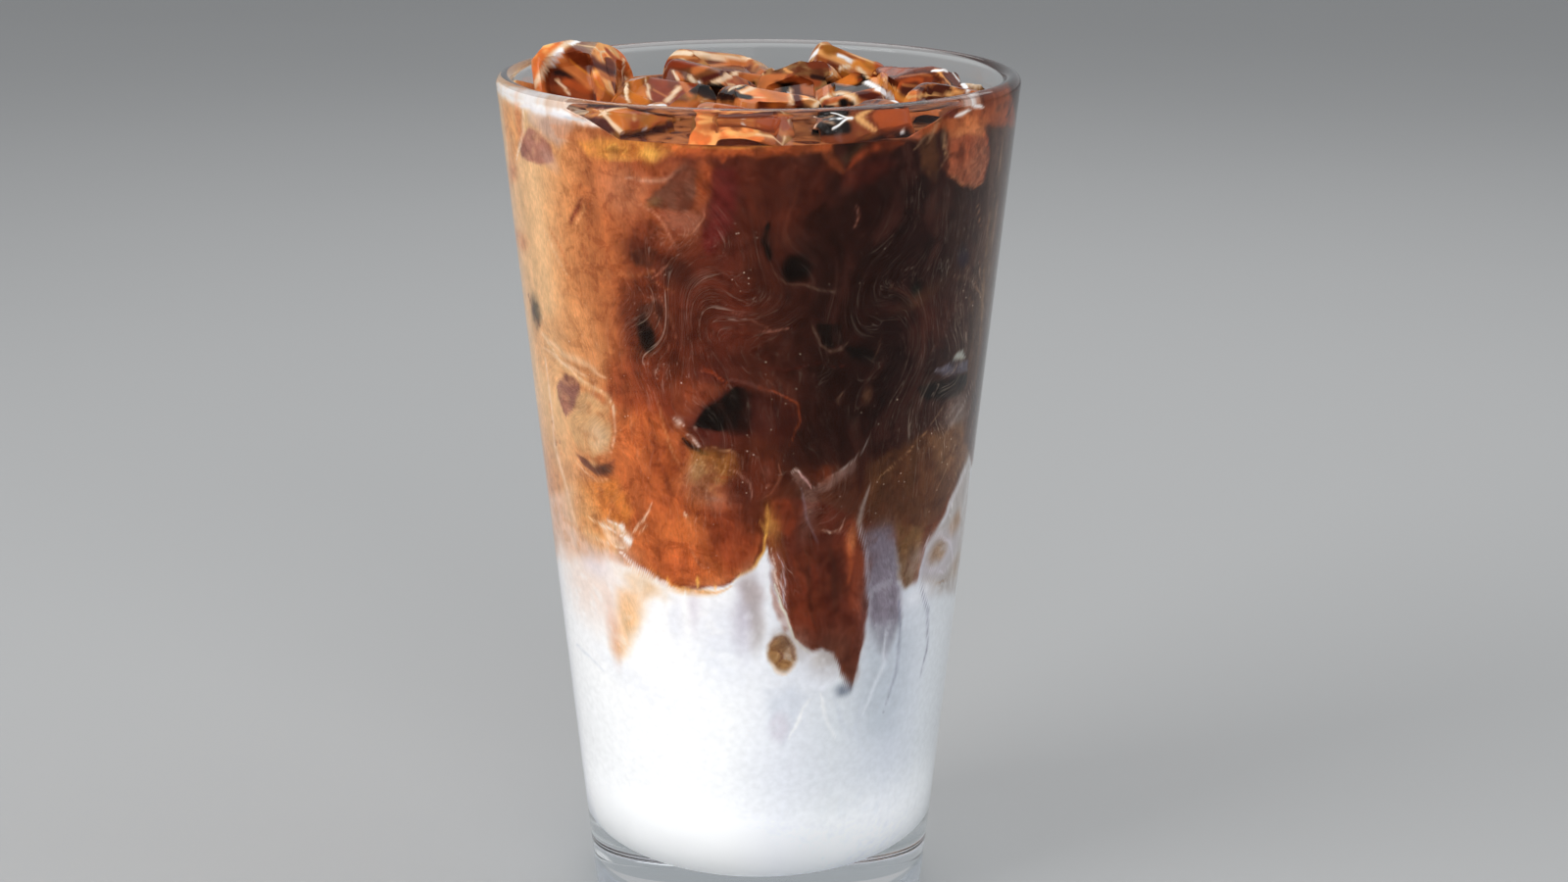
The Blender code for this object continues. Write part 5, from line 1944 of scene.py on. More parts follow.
    def tint(self, corner: Array, hollow: Array, chip: Array, points: Array) -> Array:
        """The cube's colour at each point.

        Args:
            corner: The points of the plain cube.
            hollow: How hollow each point is.
            chip: The chip that each point lies on, or 0.
            points: The placed points, in metres.

        Returns:
            Display colours: rim and face tones by noise, each chip a little lighter or darker,
            the hollow tone by depth, a pale line where two faces meet, which is a painted
            highlight, and then the strokes. What isn't nearly white is warmed.
        """
        look = self.look
        blotches = self.noise(points, 0.5, 3.4, Seed.ICE_BLOTCHES, 3)
        veins = self.noise(points, 2.2, 1.1, Seed.ICE_VEINS, 3)
        face = eased(*look.face_step, blotches + look.vein_share * veins)[:, None]
        draw = np.random.default_rng(Seed.CHIP_TONES + self.number)
        levels = draw.uniform(*look.chip_tones, self.chips + 1)
        colour = laid(look.rim.display, look.face.display, face) * levels[chip][:, None]
        deep = hollow + look.blotch_share * blotches * (hollow > 0.0)
        colour = laid(colour, look.hollow.display, eased(*look.hollow_step, deep)[:, None])
        colour = colour * (1.0 + look.veins * veins[:, None])
        # Painted highlight: a pale line along the edges where two faces meet.
        second = np.sort(np.abs(corner), axis=1)[:, 1]
        line = np.exp(-(((1.0 - second) / look.line_width) ** 2))
        patchy = eased(*look.edge_step, self.noise(points, 1.0, 4.0, Seed.ICE_EDGES, 2))
        colour = laid(colour, look.line.display, (look.edge_highlight_strength * line * patchy)[:, None])
        colour = stroked(colour, points)
        brown = eased(*look.bare_step, colour.min(axis=1))[:, None]
        return colour * (1.0 - brown * np.array(look.warmth))

    def build(self) -> Thing:
        """Melts, chips, places and paints the cube.

        Returns:
            The piece, with its tint on every vertex.
        """
        corner, quads = self.cube_grid()
        melted, hollow = self.melted(corner)
        melted, chip = self.chipped(melted)
        points = self.placed(melted)
        thing = new_mesh_object(f"coated_{self.name}", points, quads, sharp=self.sharp)
        add_colour(thing, self.tint(corner, hollow, chip, points))
        return thing


ICE_CUBES: tuple[IceCube, ...] = (
    IceCube(1, (168, 30.3, 143), (14, 17, 16), (28, 12, 8),
        IceLook(Tone.CHESTNUT, Tone.TOFFEE, Tone.APRICOT)),
    IceCube(2, (-153, 18.6, 141), (13, 13, 15), (-22, 18, 26),
        IceLook(Tone.BRICK, Tone.TOFFEE, Tone.AMBER)),
    IceCube(3, (104, 29.8, 139.5), (15, 17, 14), (8, -8, 6),
        IceLook(Tone.CHESTNUT, Tone.TOFFEE, Tone.APRICOT)),
    IceCube(4, (62, 30.2, 140.5), (13, 13, 15), (22, 14, 28),
        IceLook(Tone.BRICK, Tone.TOFFEE, Tone.AMBER)),
    IceCube(5, (24, 30.5, 139.5), (13, 16, 15), (-10, 10, -6),
        IceLook(Tone.UMBER, Tone.CHESTNUT, Tone.RUST)),
    IceCube(6, (138, 13, 140.5), (13, 13, 14), (16, -12, 20),
        IceLook(Tone.DARK, Tone.RUST, Tone.CARAMEL)),
    IceCube(7, (54, 13.2, 141), (12, 12, 13), (-12, 20, 12),
        IceLook(Tone.NIGHT, Tone.BRICK_BRIGHT, Tone.APRICOT)),
    IceCube(8, (-86, 14.2, 140.5), (13, 14, 13), (-14, -10, 16),
        IceLook(Tone.CHESTNUT, Tone.TOFFEE, Tone.TAN)),
    IceCube(9, (-17, 17.8, 140.8), (12, 12, 14), (16, -12, 14),
        IceLook(Tone.NIGHT, Tone.BRICK_BRIGHT, Tone.CARAMEL)),
    IceCube(10, (-156, 34.8, 136.6), (8, 12, 13), (8, 4, 4),
        IceLook(Tone.PLUM, Tone.MAUVE, Tone.BLUSH)),
    IceCube(11, (-131, 32.4, 138.8), (12, 12, 14), (10, 6, -8),
        IceLook(Tone.CHESTNUT, Tone.TOFFEE, Tone.AMBER)),
    IceCube(12, (-96, 31.8, 138.8), (12, 15, 14), (-10, 8, 6),
        IceLook(Tone.CHESTNUT, Tone.TOFFEE, Tone.APRICOT)),
    IceCube(13, (-59, 31.2, 139), (13, 14, 14), (14, -8, -8),
        IceLook(Tone.DARK, Tone.BRICK_BRIGHT, Tone.CARAMEL)),
    IceCube(14, (-24, 32.8, 139), (12, 14, 15), (6, 6, 4),
        IceLook(Tone.UMBER, Tone.TOFFEE, Tone.CARAMEL)),
    IceCube(15, (-2, 36.3, 141), (5, 6, 10), (10, 8, 20),
        IceLook(Tone.BRICK, Tone.TOFFEE, Tone.APRICOT)),
)

# What shows on the ice, laid over its own tones in this order. The white strokes are painted
# highlights on the wet ice, and the cream ones are its pale coat with some painted highlight along
# edges.
ICE_STROKES: tuple[Stroke, ...] = (
    Stroke(Tone.CHESTNUT, 1.32, 1, ((-31.7, 1, 151.7), (-29.1, 2, 150.4))),
    Stroke(Tone.CHESTNUT, 1.32, 1, ((-28.6, 0.4, 150.4), (-28.1, -0.7, 150.4),
        (-26.1, 1.8, 149.1))),
    Stroke(Tone.MAROON, 0.66, 0.8, ((-27.9, -0.9, 150.1), (-24.6, 3.7, 148))),
    Stroke(Tone.MAROON, 0.66, 0.8, ((-24.3, 5.7, 147.6),)),
    Stroke(Tone.TAN_DEEP, 0.49, 0.7, ((-28.3, 2.5, 152.2),)),
    Stroke(Tone.PALE_TAN, 0.74, 1, ((-25.5, 9.1, 151.8), (-24.6, 9.1, 150.7))),
    Stroke(Tone.RUST, 0.74, 1, ((-26, 7, 151.4), (-24.8, 7.3, 150), (-24.3, 8.6, 149.2),
        (-24, 10, 147.6), (-23.7, 10.3, 146.2))),
    Stroke(Tone.PALE_CREAM, 0.74, 1, ((-38.3, 0.9, 146.2), (-38, 0, 146.7), (-37.3, -0.2, 147.9),
        (-36.4, 1.7, 149.5), (-35, 1.2, 151.5), (-34.3, 1.3, 152), (-32.9, 1.8, 153),
        (-31.5, 4.3, 153.5))),
    Stroke(Tone.MILK, 0.46, 1, ((-35.1, 2, 150.1), (-34.4, 1.3, 151.3), (-33.5, 1.3, 152.3))),
    Stroke(Tone.MILK, 0.43, 1, ((-31.8, 2.7, 153.1), (-30.9, 4.5, 153.4))),
    Stroke(Tone.DARK, 0.58, 1, ((-34.5, 2.7, 148.5), (-31.8, 1.9, 147.9))),
    Stroke(Tone.RUST, 0.74, 1, ((-33, 1.6, 146.8), (-29.1, 0.2, 145.5))),
    Stroke(Tone.BRICK_BRIGHT, 0.66, 1, ((-35.8, 1, 146), (-35, 1.4, 145.8), (-29.1, -0.3, 144.5))),
    Stroke(Tone.PALE_CREAM, 0.25, 1, ((-34.5, 2, 147.1), (-32.4, 0.6, 144.9))),
    Stroke(Tone.CARAMEL, 0.83, 1, ((-33.7, 2.5, 150), (-32.4, 2.8, 149.3), (-29.1, 1.3, 147.5),
        (-28.5, 0.8, 146.9), (-27.7, -2, 146.7), (-27.1, -3.1, 146.3), (-26.1, -3.5, 145.5),
        (-24.9, -2.9, 144.9))),
    Stroke(Tone.CARAMEL, 0.83, 1, ((-24, -12.1, 146),)),
    Stroke(Tone.CARAMEL, 0.83, 1, ((-23.5, -14.5, 146.2), (-22.3, -15.3, 145.8))),
    Stroke(Tone.APRICOT, 0.23, 0.9, ((-33, 2.7, 149), (-30.5, 1.5, 147.5), (-28.2, 0.2, 145.7),
        (-27.8, -1, 145.5))),
    Stroke(Tone.APRICOT, 0.23, 0.9, ((-27.4, -3, 145.4), (-27, -3.7, 145.2))),
    Stroke(Tone.CARAMEL, 0.66, 1, ((-26.6, -1.1, 148.3), (-24.7, 1.7, 147.2), (-24.4, 3.2, 146.9))),
    Stroke(Tone.AMBER, 1.32, 1, ((-20.6, -8.4, 148.8),)),
    Stroke(Tone.AMBER, 1.32, 1, ((-20.4, -11.5, 148.9), (-20, -11.4, 147.7),
        (-19.6, -12.7, 146.7))),
    Stroke(Tone.AMBER, 1.32, 1, ((-19.4, -15.7, 146.8), (-19.1, -16.4, 146.1))),
    Stroke(Tone.CREAM, 0.28, 1, ((-23.5, 10.1, 149.7), (-23.5, 9.5, 149.3), (-23.7, 11.1, 147.3),
        (-23.6, 11.1, 146))),
    Stroke(Tone.CREAM, 0.28, 1, ((-22.1, -13.4, 148.2), (-22, -14.4, 147.9),
        (-21.6, -15.6, 146.5))),
    Stroke(Tone.CREAM, 0.26, 1, ((-18.9, -8.4, 149.1), (-18.8, -9.3, 148.8), (-18.6, -10, 148),
        (-17.5, -13.5, 146))),
    Stroke(Tone.CHESTNUT, 1.07, 1, ((-16, 5.7, 147.7), (-15.2, 5, 147.7), (-14.9, 4.6, 146.9))),
    Stroke(Tone.CHESTNUT, 1.07, 1, ((-14.3, -8.2, 148.3), (-14, -9.4, 147.7))),
    Stroke(Tone.BRICK, 0.99, 1, ((-17.3, -9, 148.3), (-16, -10.7, 147.2), (-17, -12.9, 146.2))),
    Stroke(Tone.TAN_DEEP, 0.25, 0.7, ((-17.3, -11, 147.3), (-15.3, -12.1, 146.4))),
    Stroke(Tone.PALE_CREAM, 0.53, 1, ((-13.2, -9.5, 147.5), (-15.2, -13.3, 145.8))),
    Stroke(Tone.CARAMEL, 0.66, 1, ((-14, 4.5, 147.7), (-13.4, 4, 146.9))),
    Stroke(Tone.CARAMEL, 0.66, 1, ((-12.7, -7.9, 148.2), (-11.8, -10.1, 147))),
    Stroke(Tone.CARAMEL, 0.66, 1, ((-11.5, -13.3, 147.2), (-11.3, -13.8, 146.9))),
    Stroke(Tone.CREAM, 0.28, 1, ((-14.8, 5, 148.2), (-13.9, 4.2, 146.8))),
    Stroke(Tone.BRICK, 0.91, 1, ((-16.4, 31.5, 146.1),)),
    Stroke(Tone.BRICK, 0.91, 1, ((-15.1, 6.1, 149.5), (-13.8, 5.4, 149.5), (-11.1, 4.9, 149.4))),
    Stroke(Tone.PALE_CREAM, 0.66, 1, ((-15.3, 32.4, 147.8), (-12, 29, 148.1))),
    Stroke(Tone.PALE_CREAM, 0.66, 1, ((-11.6, 30.8, 147.9), (-6.6, 32.4, 146.7), (-3.2, 34, 146.5),
        (-2.8, 34.1, 146.5), (-1.3, 33.3, 146.7))),
    Stroke(Tone.TAN_DEEP, 0.26, 0.8, ((-16.4, 32.3, 146.8), (-15, 31.3, 147.2), (-11, 27, 147.6))),
    Stroke(Tone.CARAMEL, 0.83, 1, ((-10.9, 3.9, 148.5), (-9.6, 4, 148.9), (-8.7, 4.8, 149.1))),
    Stroke(Tone.CARAMEL, 0.83, 1, ((-8.7, 28.3, 146), (-5, 32.5, 145.8), (-3.1, 33.4, 145.6),
        (-2.1, 32.3, 145.7))),
    Stroke(Tone.MAROON, 0.56, 1, ((-9.4, 2.7, 147), (-7, 2.6, 147.9), (-6.6, 2.8, 148),
        (-5.8, 4.8, 148))),
    Stroke(Tone.MAROON, 0.56, 1, ((-5.6, 20.9, 145.9), (-5.1, 21.2, 146))),
    Stroke(Tone.MAROON, 0.56, 1, ((-4.8, 27.6, 145.2),)),
    Stroke(Tone.PALE_CREAM, 0.56, 1, ((-7.9, 2, 146.6), (-6.6, 2, 147.2), (-4.9, 6.2, 147.4))),
    Stroke(Tone.PALE_CREAM, 0.56, 1, ((-4.6, 21, 145.5), (-4.1, 21.4, 145.7))),
    Stroke(Tone.PALE_CREAM, 0.56, 1, ((-3.7, 27.7, 145),)),
    Stroke(Tone.MILK, 0.4, 1, ((-10.1, 2.8, 146.6),)),
    Stroke(Tone.CREAM, 0.49, 1, ((-11.8, 3.6, 147.3), (-10.9, 3.1, 146.7))),
    Stroke(Tone.CARAMEL, 0.83, 1, ((0.4, 25.6, 145.2), (-0.1, 26.1, 144.9))),
    Stroke(Tone.CARAMEL, 0.83, 1, ((-0.6, 22.8, 145.2), (-2, 21.7, 144.6))),
    Stroke(Tone.CARAMEL, 0.83, 1, ((-2.4, 9.9, 146),)),
    Stroke(Tone.NIGHT, 0.76, 1, ((-10.2, -12.1, 147.6), (-7.7, -9, 146.6))),
    Stroke(Tone.NIGHT, 0.76, 1, ((-7.5, 2.6, 144.9), (-7.1, 2.4, 144.8))),
    Stroke(Tone.NIGHT, 0.76, 1, ((-6.4, -11.5, 146.8), (-3.7, -19.3, 147.6), (-3.3, -19.7, 147.6),
        (-1.6, -19.6, 147.4))),
    Stroke(Tone.NIGHT, 0.56, 1, ((-10.2, -11.4, 148), (-8.5, -9, 147.6))),
    Stroke(Tone.NIGHT, 0.56, 1, ((-8.3, 2.2, 146), (-6.1, 1.4, 145.9))),
    Stroke(Tone.NIGHT, 0.56, 1, ((-5.5, -12.1, 147.7),)),
    Stroke(Tone.CREAM, 0.46, 1, ((-4.7, -15.1, 148), (-3.7, -16.9, 148.7), (-3.2, -16.4, 148.9))),
    Stroke(Tone.PALE_CREAM, 0.46, 1, ((-2.7, -18.4, 148), (-0.6, -16.5, 148.4))),
    Stroke(Tone.PALE_CREAM, 0.46, 1, ((-0.2, 10, 144.7),)),
    Stroke(Tone.NIGHT, 0.36, 1, ((-3.5, -17.7, 148.4), (-1.8, -16, 148.8))),
    Stroke(Tone.NIGHT, 0.36, 1, ((-1.5, 10.7, 145.2),)),
    Stroke(Tone.NIGHT, 0.36, 1, ((-1.1, 21.8, 143.7),)),
    Stroke(Tone.CARAMEL, 0.91, 1, ((-14.8, -25.4, 146.7), (-14.4, -24.6, 146.6))),
    Stroke(Tone.CARAMEL, 0.91, 1, ((-14.3, -16.7, 145.4), (-11.8, -16, 145.4),
        (-10.1, -14.6, 145.3))),
    Stroke(Tone.CARAMEL, 0.91, 1, ((-9.4, -28.9, 147.5), (-9, -29.5, 147.6), (-8.1, -29.7, 147.7),
        (-6.2, -28.4, 147.6))),
    Stroke(Tone.CARAMEL, 0.91, 1, ((-6, -13.7, 145.4), (-3.4, -20.8, 146.5), (-2.1, -21.5, 146.5),
        (-0.8, -21.4, 146.3), (-0.3, -21, 146.2))),
    Stroke(Tone.TAN_DEEP, 0.26, 0.9, ((-10, -14.1, 146.1), (-7.3, -10, 145.4),
        (-3.4, -20.7, 146.6), (-2.6, -21.4, 146.6), (-1, -21.4, 146.4))),
    Stroke(Tone.RUST, 0.99, 1, ((-9.3, -34.4, 146.8), (-8.4, -34.8, 146.9), (-7.3, -33.9, 147))),
    Stroke(Tone.RUST, 0.99, 1, ((-6.9, -30.6, 146.5), (-6.5, -29.4, 146.4), (-6.1, -29.2, 146.4),
        (-4.5, -29.1, 146.6), (0.6, -28.8, 146.1))),
    Stroke(Tone.CARAMEL, 1.16, 1, ((-7.8, -36.4, 145.7), (-7, -36.5, 145.7))),
    Stroke(Tone.CARAMEL, 1.16, 1, ((-6.7, -33.3, 145.3),)),
    Stroke(Tone.CARAMEL, 1.16, 1, ((-6.3, -30.6, 144.9), (-5.2, -29.6, 144.8),
        (-1.4, -29.2, 144.5))),
    Stroke(Tone.APRICOT, 0.3, 0.9, ((-9, -36.1, 145.9), (-7.3, -36.3, 146.2),
        (-6.8, -33.7, 145.7))),
    Stroke(Tone.APRICOT, 0.3, 0.9, ((-6.4, -30, 145.1), (-6, -29.6, 145.1), (-2.7, -29, 145.9),
        (0.1, -29.1, 145), (0.5, -29.2, 144.2), (0.1, -29.5, 143.9))),
    Stroke(Tone.APRICOT, 0.3, 0.9, ((-0.2, -38, 145), (-0.9, -38.2, 144.4), (-3.3, -37.8, 144.2))),
    Stroke(Tone.BRICK_BRIGHT, 0.49, 0.8, ((-6.9, -36.7, 145.3), (-6.4, -36.8, 145.3))),
    Stroke(Tone.BRICK_BRIGHT, 0.49, 0.8, ((-6.1, -32.2, 144.6), (-4.8, -31.2, 144.5),
        (-4.4, -31.4, 144.4))),
    Stroke(Tone.BRICK_BRIGHT, 0.49, 0.8, ((-3.9, -37.3, 145.3), (-3, -37.5, 145.1))),
    Stroke(Tone.MILK, 0.33, 1, ((-2.6, -29.9, 144.3),)),
    Stroke(Tone.MILK, 0.49, 1, ((-10.5, -14.7, 144.2),)),
    Stroke(Tone.MAROON, 0.91, 1, ((-28.5, -18.7, 143.1),)),
    Stroke(Tone.MAROON, 0.91, 1, ((-27.4, -27.8, 144.5), (-24.7, -31.1, 145),
        (-22.9, -31.3, 144.4))),
    Stroke(Tone.AMBER_DEEP, 0.83, 1, ((-22.4, -31, 145.9), (-20.8, -31.3, 144.6))),
    Stroke(Tone.PALE_CREAM, 0.36, 1, ((-24.1, -29.8, 146.4), (-23.8, -30.9, 146.2),
        (-21.4, -31.5, 143.8), (-21.1, -31, 143.4))),
    Stroke(Tone.PALE_CREAM, 0.4, 1, ((-24.1, -29.8, 146.4), (-24.6, -29.9, 146.1),
        (-23, -30.7, 146.5), (-20.2, -29.8, 146.4), (-15.4, -26.8, 145.3), (-13.9, -25.1, 144.7))),
    Stroke(Tone.RUST, 0.99, 1, ((-19.4, -30.2, 144.5),)),
    Stroke(Tone.PALE_TAN, 0.4, 1, ((-19.5, -30.1, 145.2),)),
    Stroke(Tone.MILK, 0.49, 1, ((-17.8, -28.8, 143.5),)),
    Stroke(Tone.CARAMEL, 0.49, 1, ((-16.4, -27.9, 144), (-14.5, -26.1, 145))),
    Stroke(Tone.MAROON, 0.66, 1, ((-16.2, -25.8, 142.7), (-14.5, -26.5, 143.5),
        (-13.7, -25.6, 143.3))),
    Stroke(Tone.PALE_TAN, 0.36, 1, ((-13.3, -18.1, 143.3), (-12.9, -18, 142.8))),
    Stroke(Tone.DARK, 0.46, 1, ((-18.6, -28.5, 146.7), (-15.4, -26.4, 146.1),
        (-14.1, -24.9, 145.7))),
    Stroke(Tone.DARK, 0.46, 1, ((-13.9, -17.5, 144.6), (-12.5, -17.2, 144.5))),
    Stroke(Tone.MILK, 0.3, 1, ((-17.9, -27.3, 147.1), (-15, -25.4, 146.8))),
    Stroke(Tone.APRICOT, 0.26, 0.9, ((4.5, 9.7, 148.1), (5.6, 7.4, 147.5))),
    Stroke(Tone.AMBER_DEEP, 1.49, 1, ((1.4, 8.7, 145.1), (1.6, 8.6, 144.7))),
    Stroke(Tone.AMBER_DEEP, 1.49, 1, ((1.8, -16.8, 148), (2.6, -18.7, 147.1))),
    Stroke(Tone.CARAMEL, 0.83, 1, ((0.7, 11.2, 146.1), (4.4, 7.9, 146.9))),
    Stroke(Tone.BRICK_BRIGHT, 0.83, 1, ((5.4, 7.2, 146.7), (7.6, 7.1, 146.3), (8.9, 6.5, 146.2),
        (9.7, 5.5, 146.1), (10.1, 5.5, 146.1))),
    Stroke(Tone.DARK, 0.49, 1, ((9.3, 6.5, 147.1), (11.3, 6.3, 146.8))),
    Stroke(Tone.CARAMEL, 0.99, 1, ((7.8, 6.9, 144.7), (9.7, 5.7, 144.6))),
    Stroke(Tone.CARAMEL, 0.99, 1, ((9.9, -7, 146.4),)),
    Stroke(Tone.MAROON, 0.83, 1, ((6.5, 7.6, 144.9), (6.6, 7.2, 144))),
    Stroke(Tone.MAROON, 0.83, 1, ((6.3, -17.2, 147.1), (6.5, -18.7, 146.4), (6.6, -18.8, 146))),
    Stroke(Tone.PALE_CREAM, 0.43, 1, ((5.6, 7.8, 144.6), (5.6, 7.6, 144.1))),
    Stroke(Tone.PALE_CREAM, 0.43, 1, ((5.3, -17, 147.3), (5.3, -19.2, 146.4), (5.3, -19.1, 146))),
    Stroke(Tone.CHESTNUT, 0.91, 1, ((9.3, 8.3, 148.9), (12.1, 8.7, 148.8))),
    Stroke(Tone.CHESTNUT, 0.91, 1, ((12.9, 21, 147.3), (14.3, 21, 147.5))),
    Stroke(Tone.MILK, 0.53, 1, ((8.9, 23.6, 147.5), (9.3, 22.9, 148.1), (10.5, 22.2, 149.5))),
    Stroke(Tone.APRICOT, 0.66, 1, ((11.2, 21.8, 149.2), (16.1, 20.9, 147.2))),
    Stroke(Tone.OCHRE, 1.16, 1, ((12.6, 22, 149.8), (13.5, 22.3, 150.1))),
    Stroke(Tone.MILK, 0.43, 1, ((14.3, 21.5, 148.7), (17.1, 21.2, 147.7))),
    Stroke(Tone.AMBER_DEEP, 1.49, 1, ((14.4, 12.3, 146),)),
    Stroke(Tone.AMBER_DEEP, 1.49, 1, ((14.3, -2.4, 147.9), (15.2, -2.8, 147.6),
        (15.6, -3.4, 147.5))),
    Stroke(Tone.CREAM, 0.3, 1, ((12.1, 7.9, 146.7), (12.4, 7.9, 147.1), (12.9, 8.9, 147.3))),
    Stroke(Tone.CREAM, 0.3, 1, ((14, 20.9, 146.2), (14.8, 20.8, 146.7), (16.8, 21, 147.2))),
    Stroke(Tone.AMBER, 0.91, 1, ((17.5, 21, 147.2), (19.9, 20.5, 145.4))),
    Stroke(Tone.AMBER, 0.91, 1, ((19.3, -3.2, 148.4), (20.3, -6, 147.9))),
    Stroke(Tone.AMBER, 0.91, 1, ((20.6, -7.8, 148),)),
    Stroke(Tone.AMBER, 0.91, 1, ((20.8, -9.8, 148), (21.2, -9.1, 147.7))),
    Stroke(Tone.AMBER, 0.91, 1, ((21.9, -3.1, 146.6), (22.7, -2.4, 146))),
    Stroke(Tone.AMBER, 0.91, 1, ((23.7, 9.1, 144.1),)),
    Stroke(Tone.AMBER, 0.91, 1, ((23.9, 6.6, 144.2), (25, 5.6, 143.6))),
    Stroke(Tone.AMBER, 0.91, 1, ((24.3, -13, 146.1),)),
    Stroke(Tone.CREAM, 0.43, 0.9, ((17.8, 20.8, 146.5), (18.8, 20.5, 145.6))),
    Stroke(Tone.CREAM, 0.43, 0.9, ((18.2, -2.9, 148.6), (18.5, -3.1, 148.3))),
    Stroke(Tone.APRICOT, 0.23, 1, ((20.4, 16.7, 146.4), (20.7, 15.5, 146.3))),
    Stroke(Tone.APRICOT, 0.23, 1, ((20.2, -4, 148.7), (20.4, -5.5, 148.7))),
    Stroke(Tone.APRICOT, 0.23, 1, ((20.7, -7.4, 148.7), (20.9, -8.4, 148.6), (21.3, -8.2, 148.3))),
    Stroke(Tone.APRICOT, 0.23, 1, ((21.9, -3.4, 147.3), (22.2, -3.1, 147))),
    Stroke(Tone.APRICOT, 0.23, 1, ((23.3, 10.7, 144.8), (23.9, 8.7, 144.6))),
    Stroke(Tone.APRICOT, 0.23, 1, ((24.1, 6.8, 144.6), (25.2, 5.8, 144))),
    Stroke(Tone.APRICOT, 0.23, 1, ((24.5, -12.7, 146.5), (24.8, -13.4, 146.3))),
    Stroke(Tone.BRICK, 0.43, 1, ((17, -3.4, 147.8),)),
    Stroke(Tone.MAROON, 0.91, 1, ((16.7, -12.2, 146.8), (18.8, -13, 146.6), (19.6, -13.2, 146.2))),
    Stroke(Tone.MAROON, 0.91, 1, ((19.3, -26.3, 147.9),)),
    Stroke(Tone.MILK, 0.69, 1, ((18.1, -4.9, 147.7), (19.7, -7.5, 147.3))),
    Stroke(Tone.MILK, 0.69, 1, ((19.9, -11.8, 147.7), (20.3, -12, 147.4), (21, -10.9, 146.7))),
    Stroke(Tone.MILK, 0.69, 1, ((21.7, -3, 145.3), (22.8, -2.3, 144.4))),
    Stroke(Tone.MILK, 0.69, 1, ((21.7, -29.2, 148.2),)),
    Stroke(Tone.RUST, 0.99, 1, ((21.5, 21.5, 146.8), (22.5, 23, 146.7))),
    Stroke(Tone.CHESTNUT, 1.32, 1, ((24, 8.8, 146.6), (26.5, 8.4, 147.5), (29.5, 6.9, 148.1))),
    Stroke(Tone.UMBER, 1.32, 1, ((25.6, 6.2, 144.9), (26.8, 5.7, 145.2))),
    Stroke(Tone.UMBER, 1.32, 1, ((26.2, -11.2, 147.7), (27, -11, 147.8), (28.4, -9.2, 147.6),
        (31.2, -9.8, 147.4))),
    Stroke(Tone.TAN_DEEP, 0.3, 0.6, ((25.1, 7, 145.7), (27.2, 5.8, 145.6))),
    Stroke(Tone.TAN_DEEP, 0.3, 0.6, ((26.6, -10.3, 147.9), (27, -10.7, 147.9), (28, -9.3, 147.8),
        (29.7, -8.9, 148))),
    Stroke(Tone.TAN_DEEP, 0.3, 0.6, ((31.1, 5.3, 146.1), (32, 5.8, 146.1), (32.5, 6.9, 146))),
    Stroke(Tone.TAN_DEEP, 0.25, 0.5, ((24.5, 8.7, 146.8), (28.1, 6.8, 147.4), (29.8, 5.7, 147.4),
        (30.7, 5.7, 147.4))),
    Stroke(Tone.CHESTNUT, 0.99, 1, ((32.2, 7.8, 147.9), (35.2, 12.9, 144.8))),
    Stroke(Tone.CHESTNUT, 0.99, 1, ((34.4, -1.2, 146.4),)),
    Stroke(Tone.CHESTNUT, 0.99, 1, ((33.9, -10.6, 147.4), (34.2, -10.8, 147.1))),
    Stroke(Tone.APRICOT, 0.33, 1, ((30.8, 6.6, 148.3), (31.8, 6.1, 147.2), (33.3, 8.5, 145.5))),
    Stroke(Tone.APRICOT, 0.33, 1, ((32.3, -8.8, 147.7), (32.5, -10.1, 147.6),
        (33.4, -10.8, 146.7))),
    Stroke(Tone.PALE_TAN, 0.28, 1, ((24.8, -13.2, 146.4), (25.9, -14.5, 146.7),
        (27.8, -11.2, 146.4), (28.7, -10.1, 146.3), (29.1, -10, 146.3), (33.7, -10.9, 146.8))),
    Stroke(Tone.MILK, 0.46, 1, ((34.9, -0.4, 146.9), (35.1, -2.7, 146.5))),
    Stroke(Tone.MILK, 0.46, 1, ((34.7, -10.9, 147.2),)),
    Stroke(Tone.CREAM, 0.49, 1, ((35.7, -0.5, 146.7), (37.7, 0.3, 146.5))),
    Stroke(Tone.PALE_TAN, 0.66, 1, ((9.1, -17.8, 145.5), (9.8, -17, 146))),
    Stroke(Tone.PALE_TAN, 0.66, 1, ((10.3, -10.6, 145.3), (10.6, -10.9, 145.6),
        (11.3, -10.7, 146.1), (11.7, -10.4, 146.2), (12.2, -9, 146.2))),
    Stroke(Tone.PALE_TAN, 0.66, 1, ((12.7, -7.1, 146), (13.1, -6.4, 146.1), (13.5, -6.3, 146.3),
        (14.8, -7.8, 146.2))),
    Stroke(Tone.PALE_TAN, 0.66, 1, ((15.2, -11.7, 146.7), (15.6, -12.1, 146.6),
        (15.8, -12.6, 146.3), (16.4, -13.1, 145.2))),
    Stroke(Tone.PALE_TAN, 0.66, 1, ((16.1, -25.1, 146.6),)),
    Stroke(Tone.NIGHT, 0.83, 1, ((14.1, -12.9, 145.4),)),
    Stroke(Tone.NIGHT, 0.99, 1, ((6.7, -17.6, 144.5), (8.8, -17.1, 144.1), (9.6, -17.5, 144))),
    Stroke(Tone.NIGHT, 0.99, 1, ((9.9, -23.8, 144.9),)),
    Stroke(Tone.NIGHT, 0.99, 1, ((10.3, -27.5, 145.4),)),
    Stroke(Tone.NIGHT, 0.99, 1, ((10.6, -29.2, 145.6), (11.8, -32.8, 145.9))),
    Stroke(Tone.NIGHT, 0.49, 1, ((10.3, -16.9, 145.2),)),
    Stroke(Tone.NIGHT, 0.49, 1, ((10.9, -12.3, 144.5), (11.3, -12.7, 144.5), (12.2, -12.8, 144.5))),
    Stroke(Tone.NIGHT, 0.49, 1, ((12.4, -21.6, 145.8),)),
    Stroke(Tone.PALE_CREAM, 0.28, 1, ((11.8, -32, 146), (12.2, -33.3, 145.9),
        (12.8, -33.7, 145.9))),
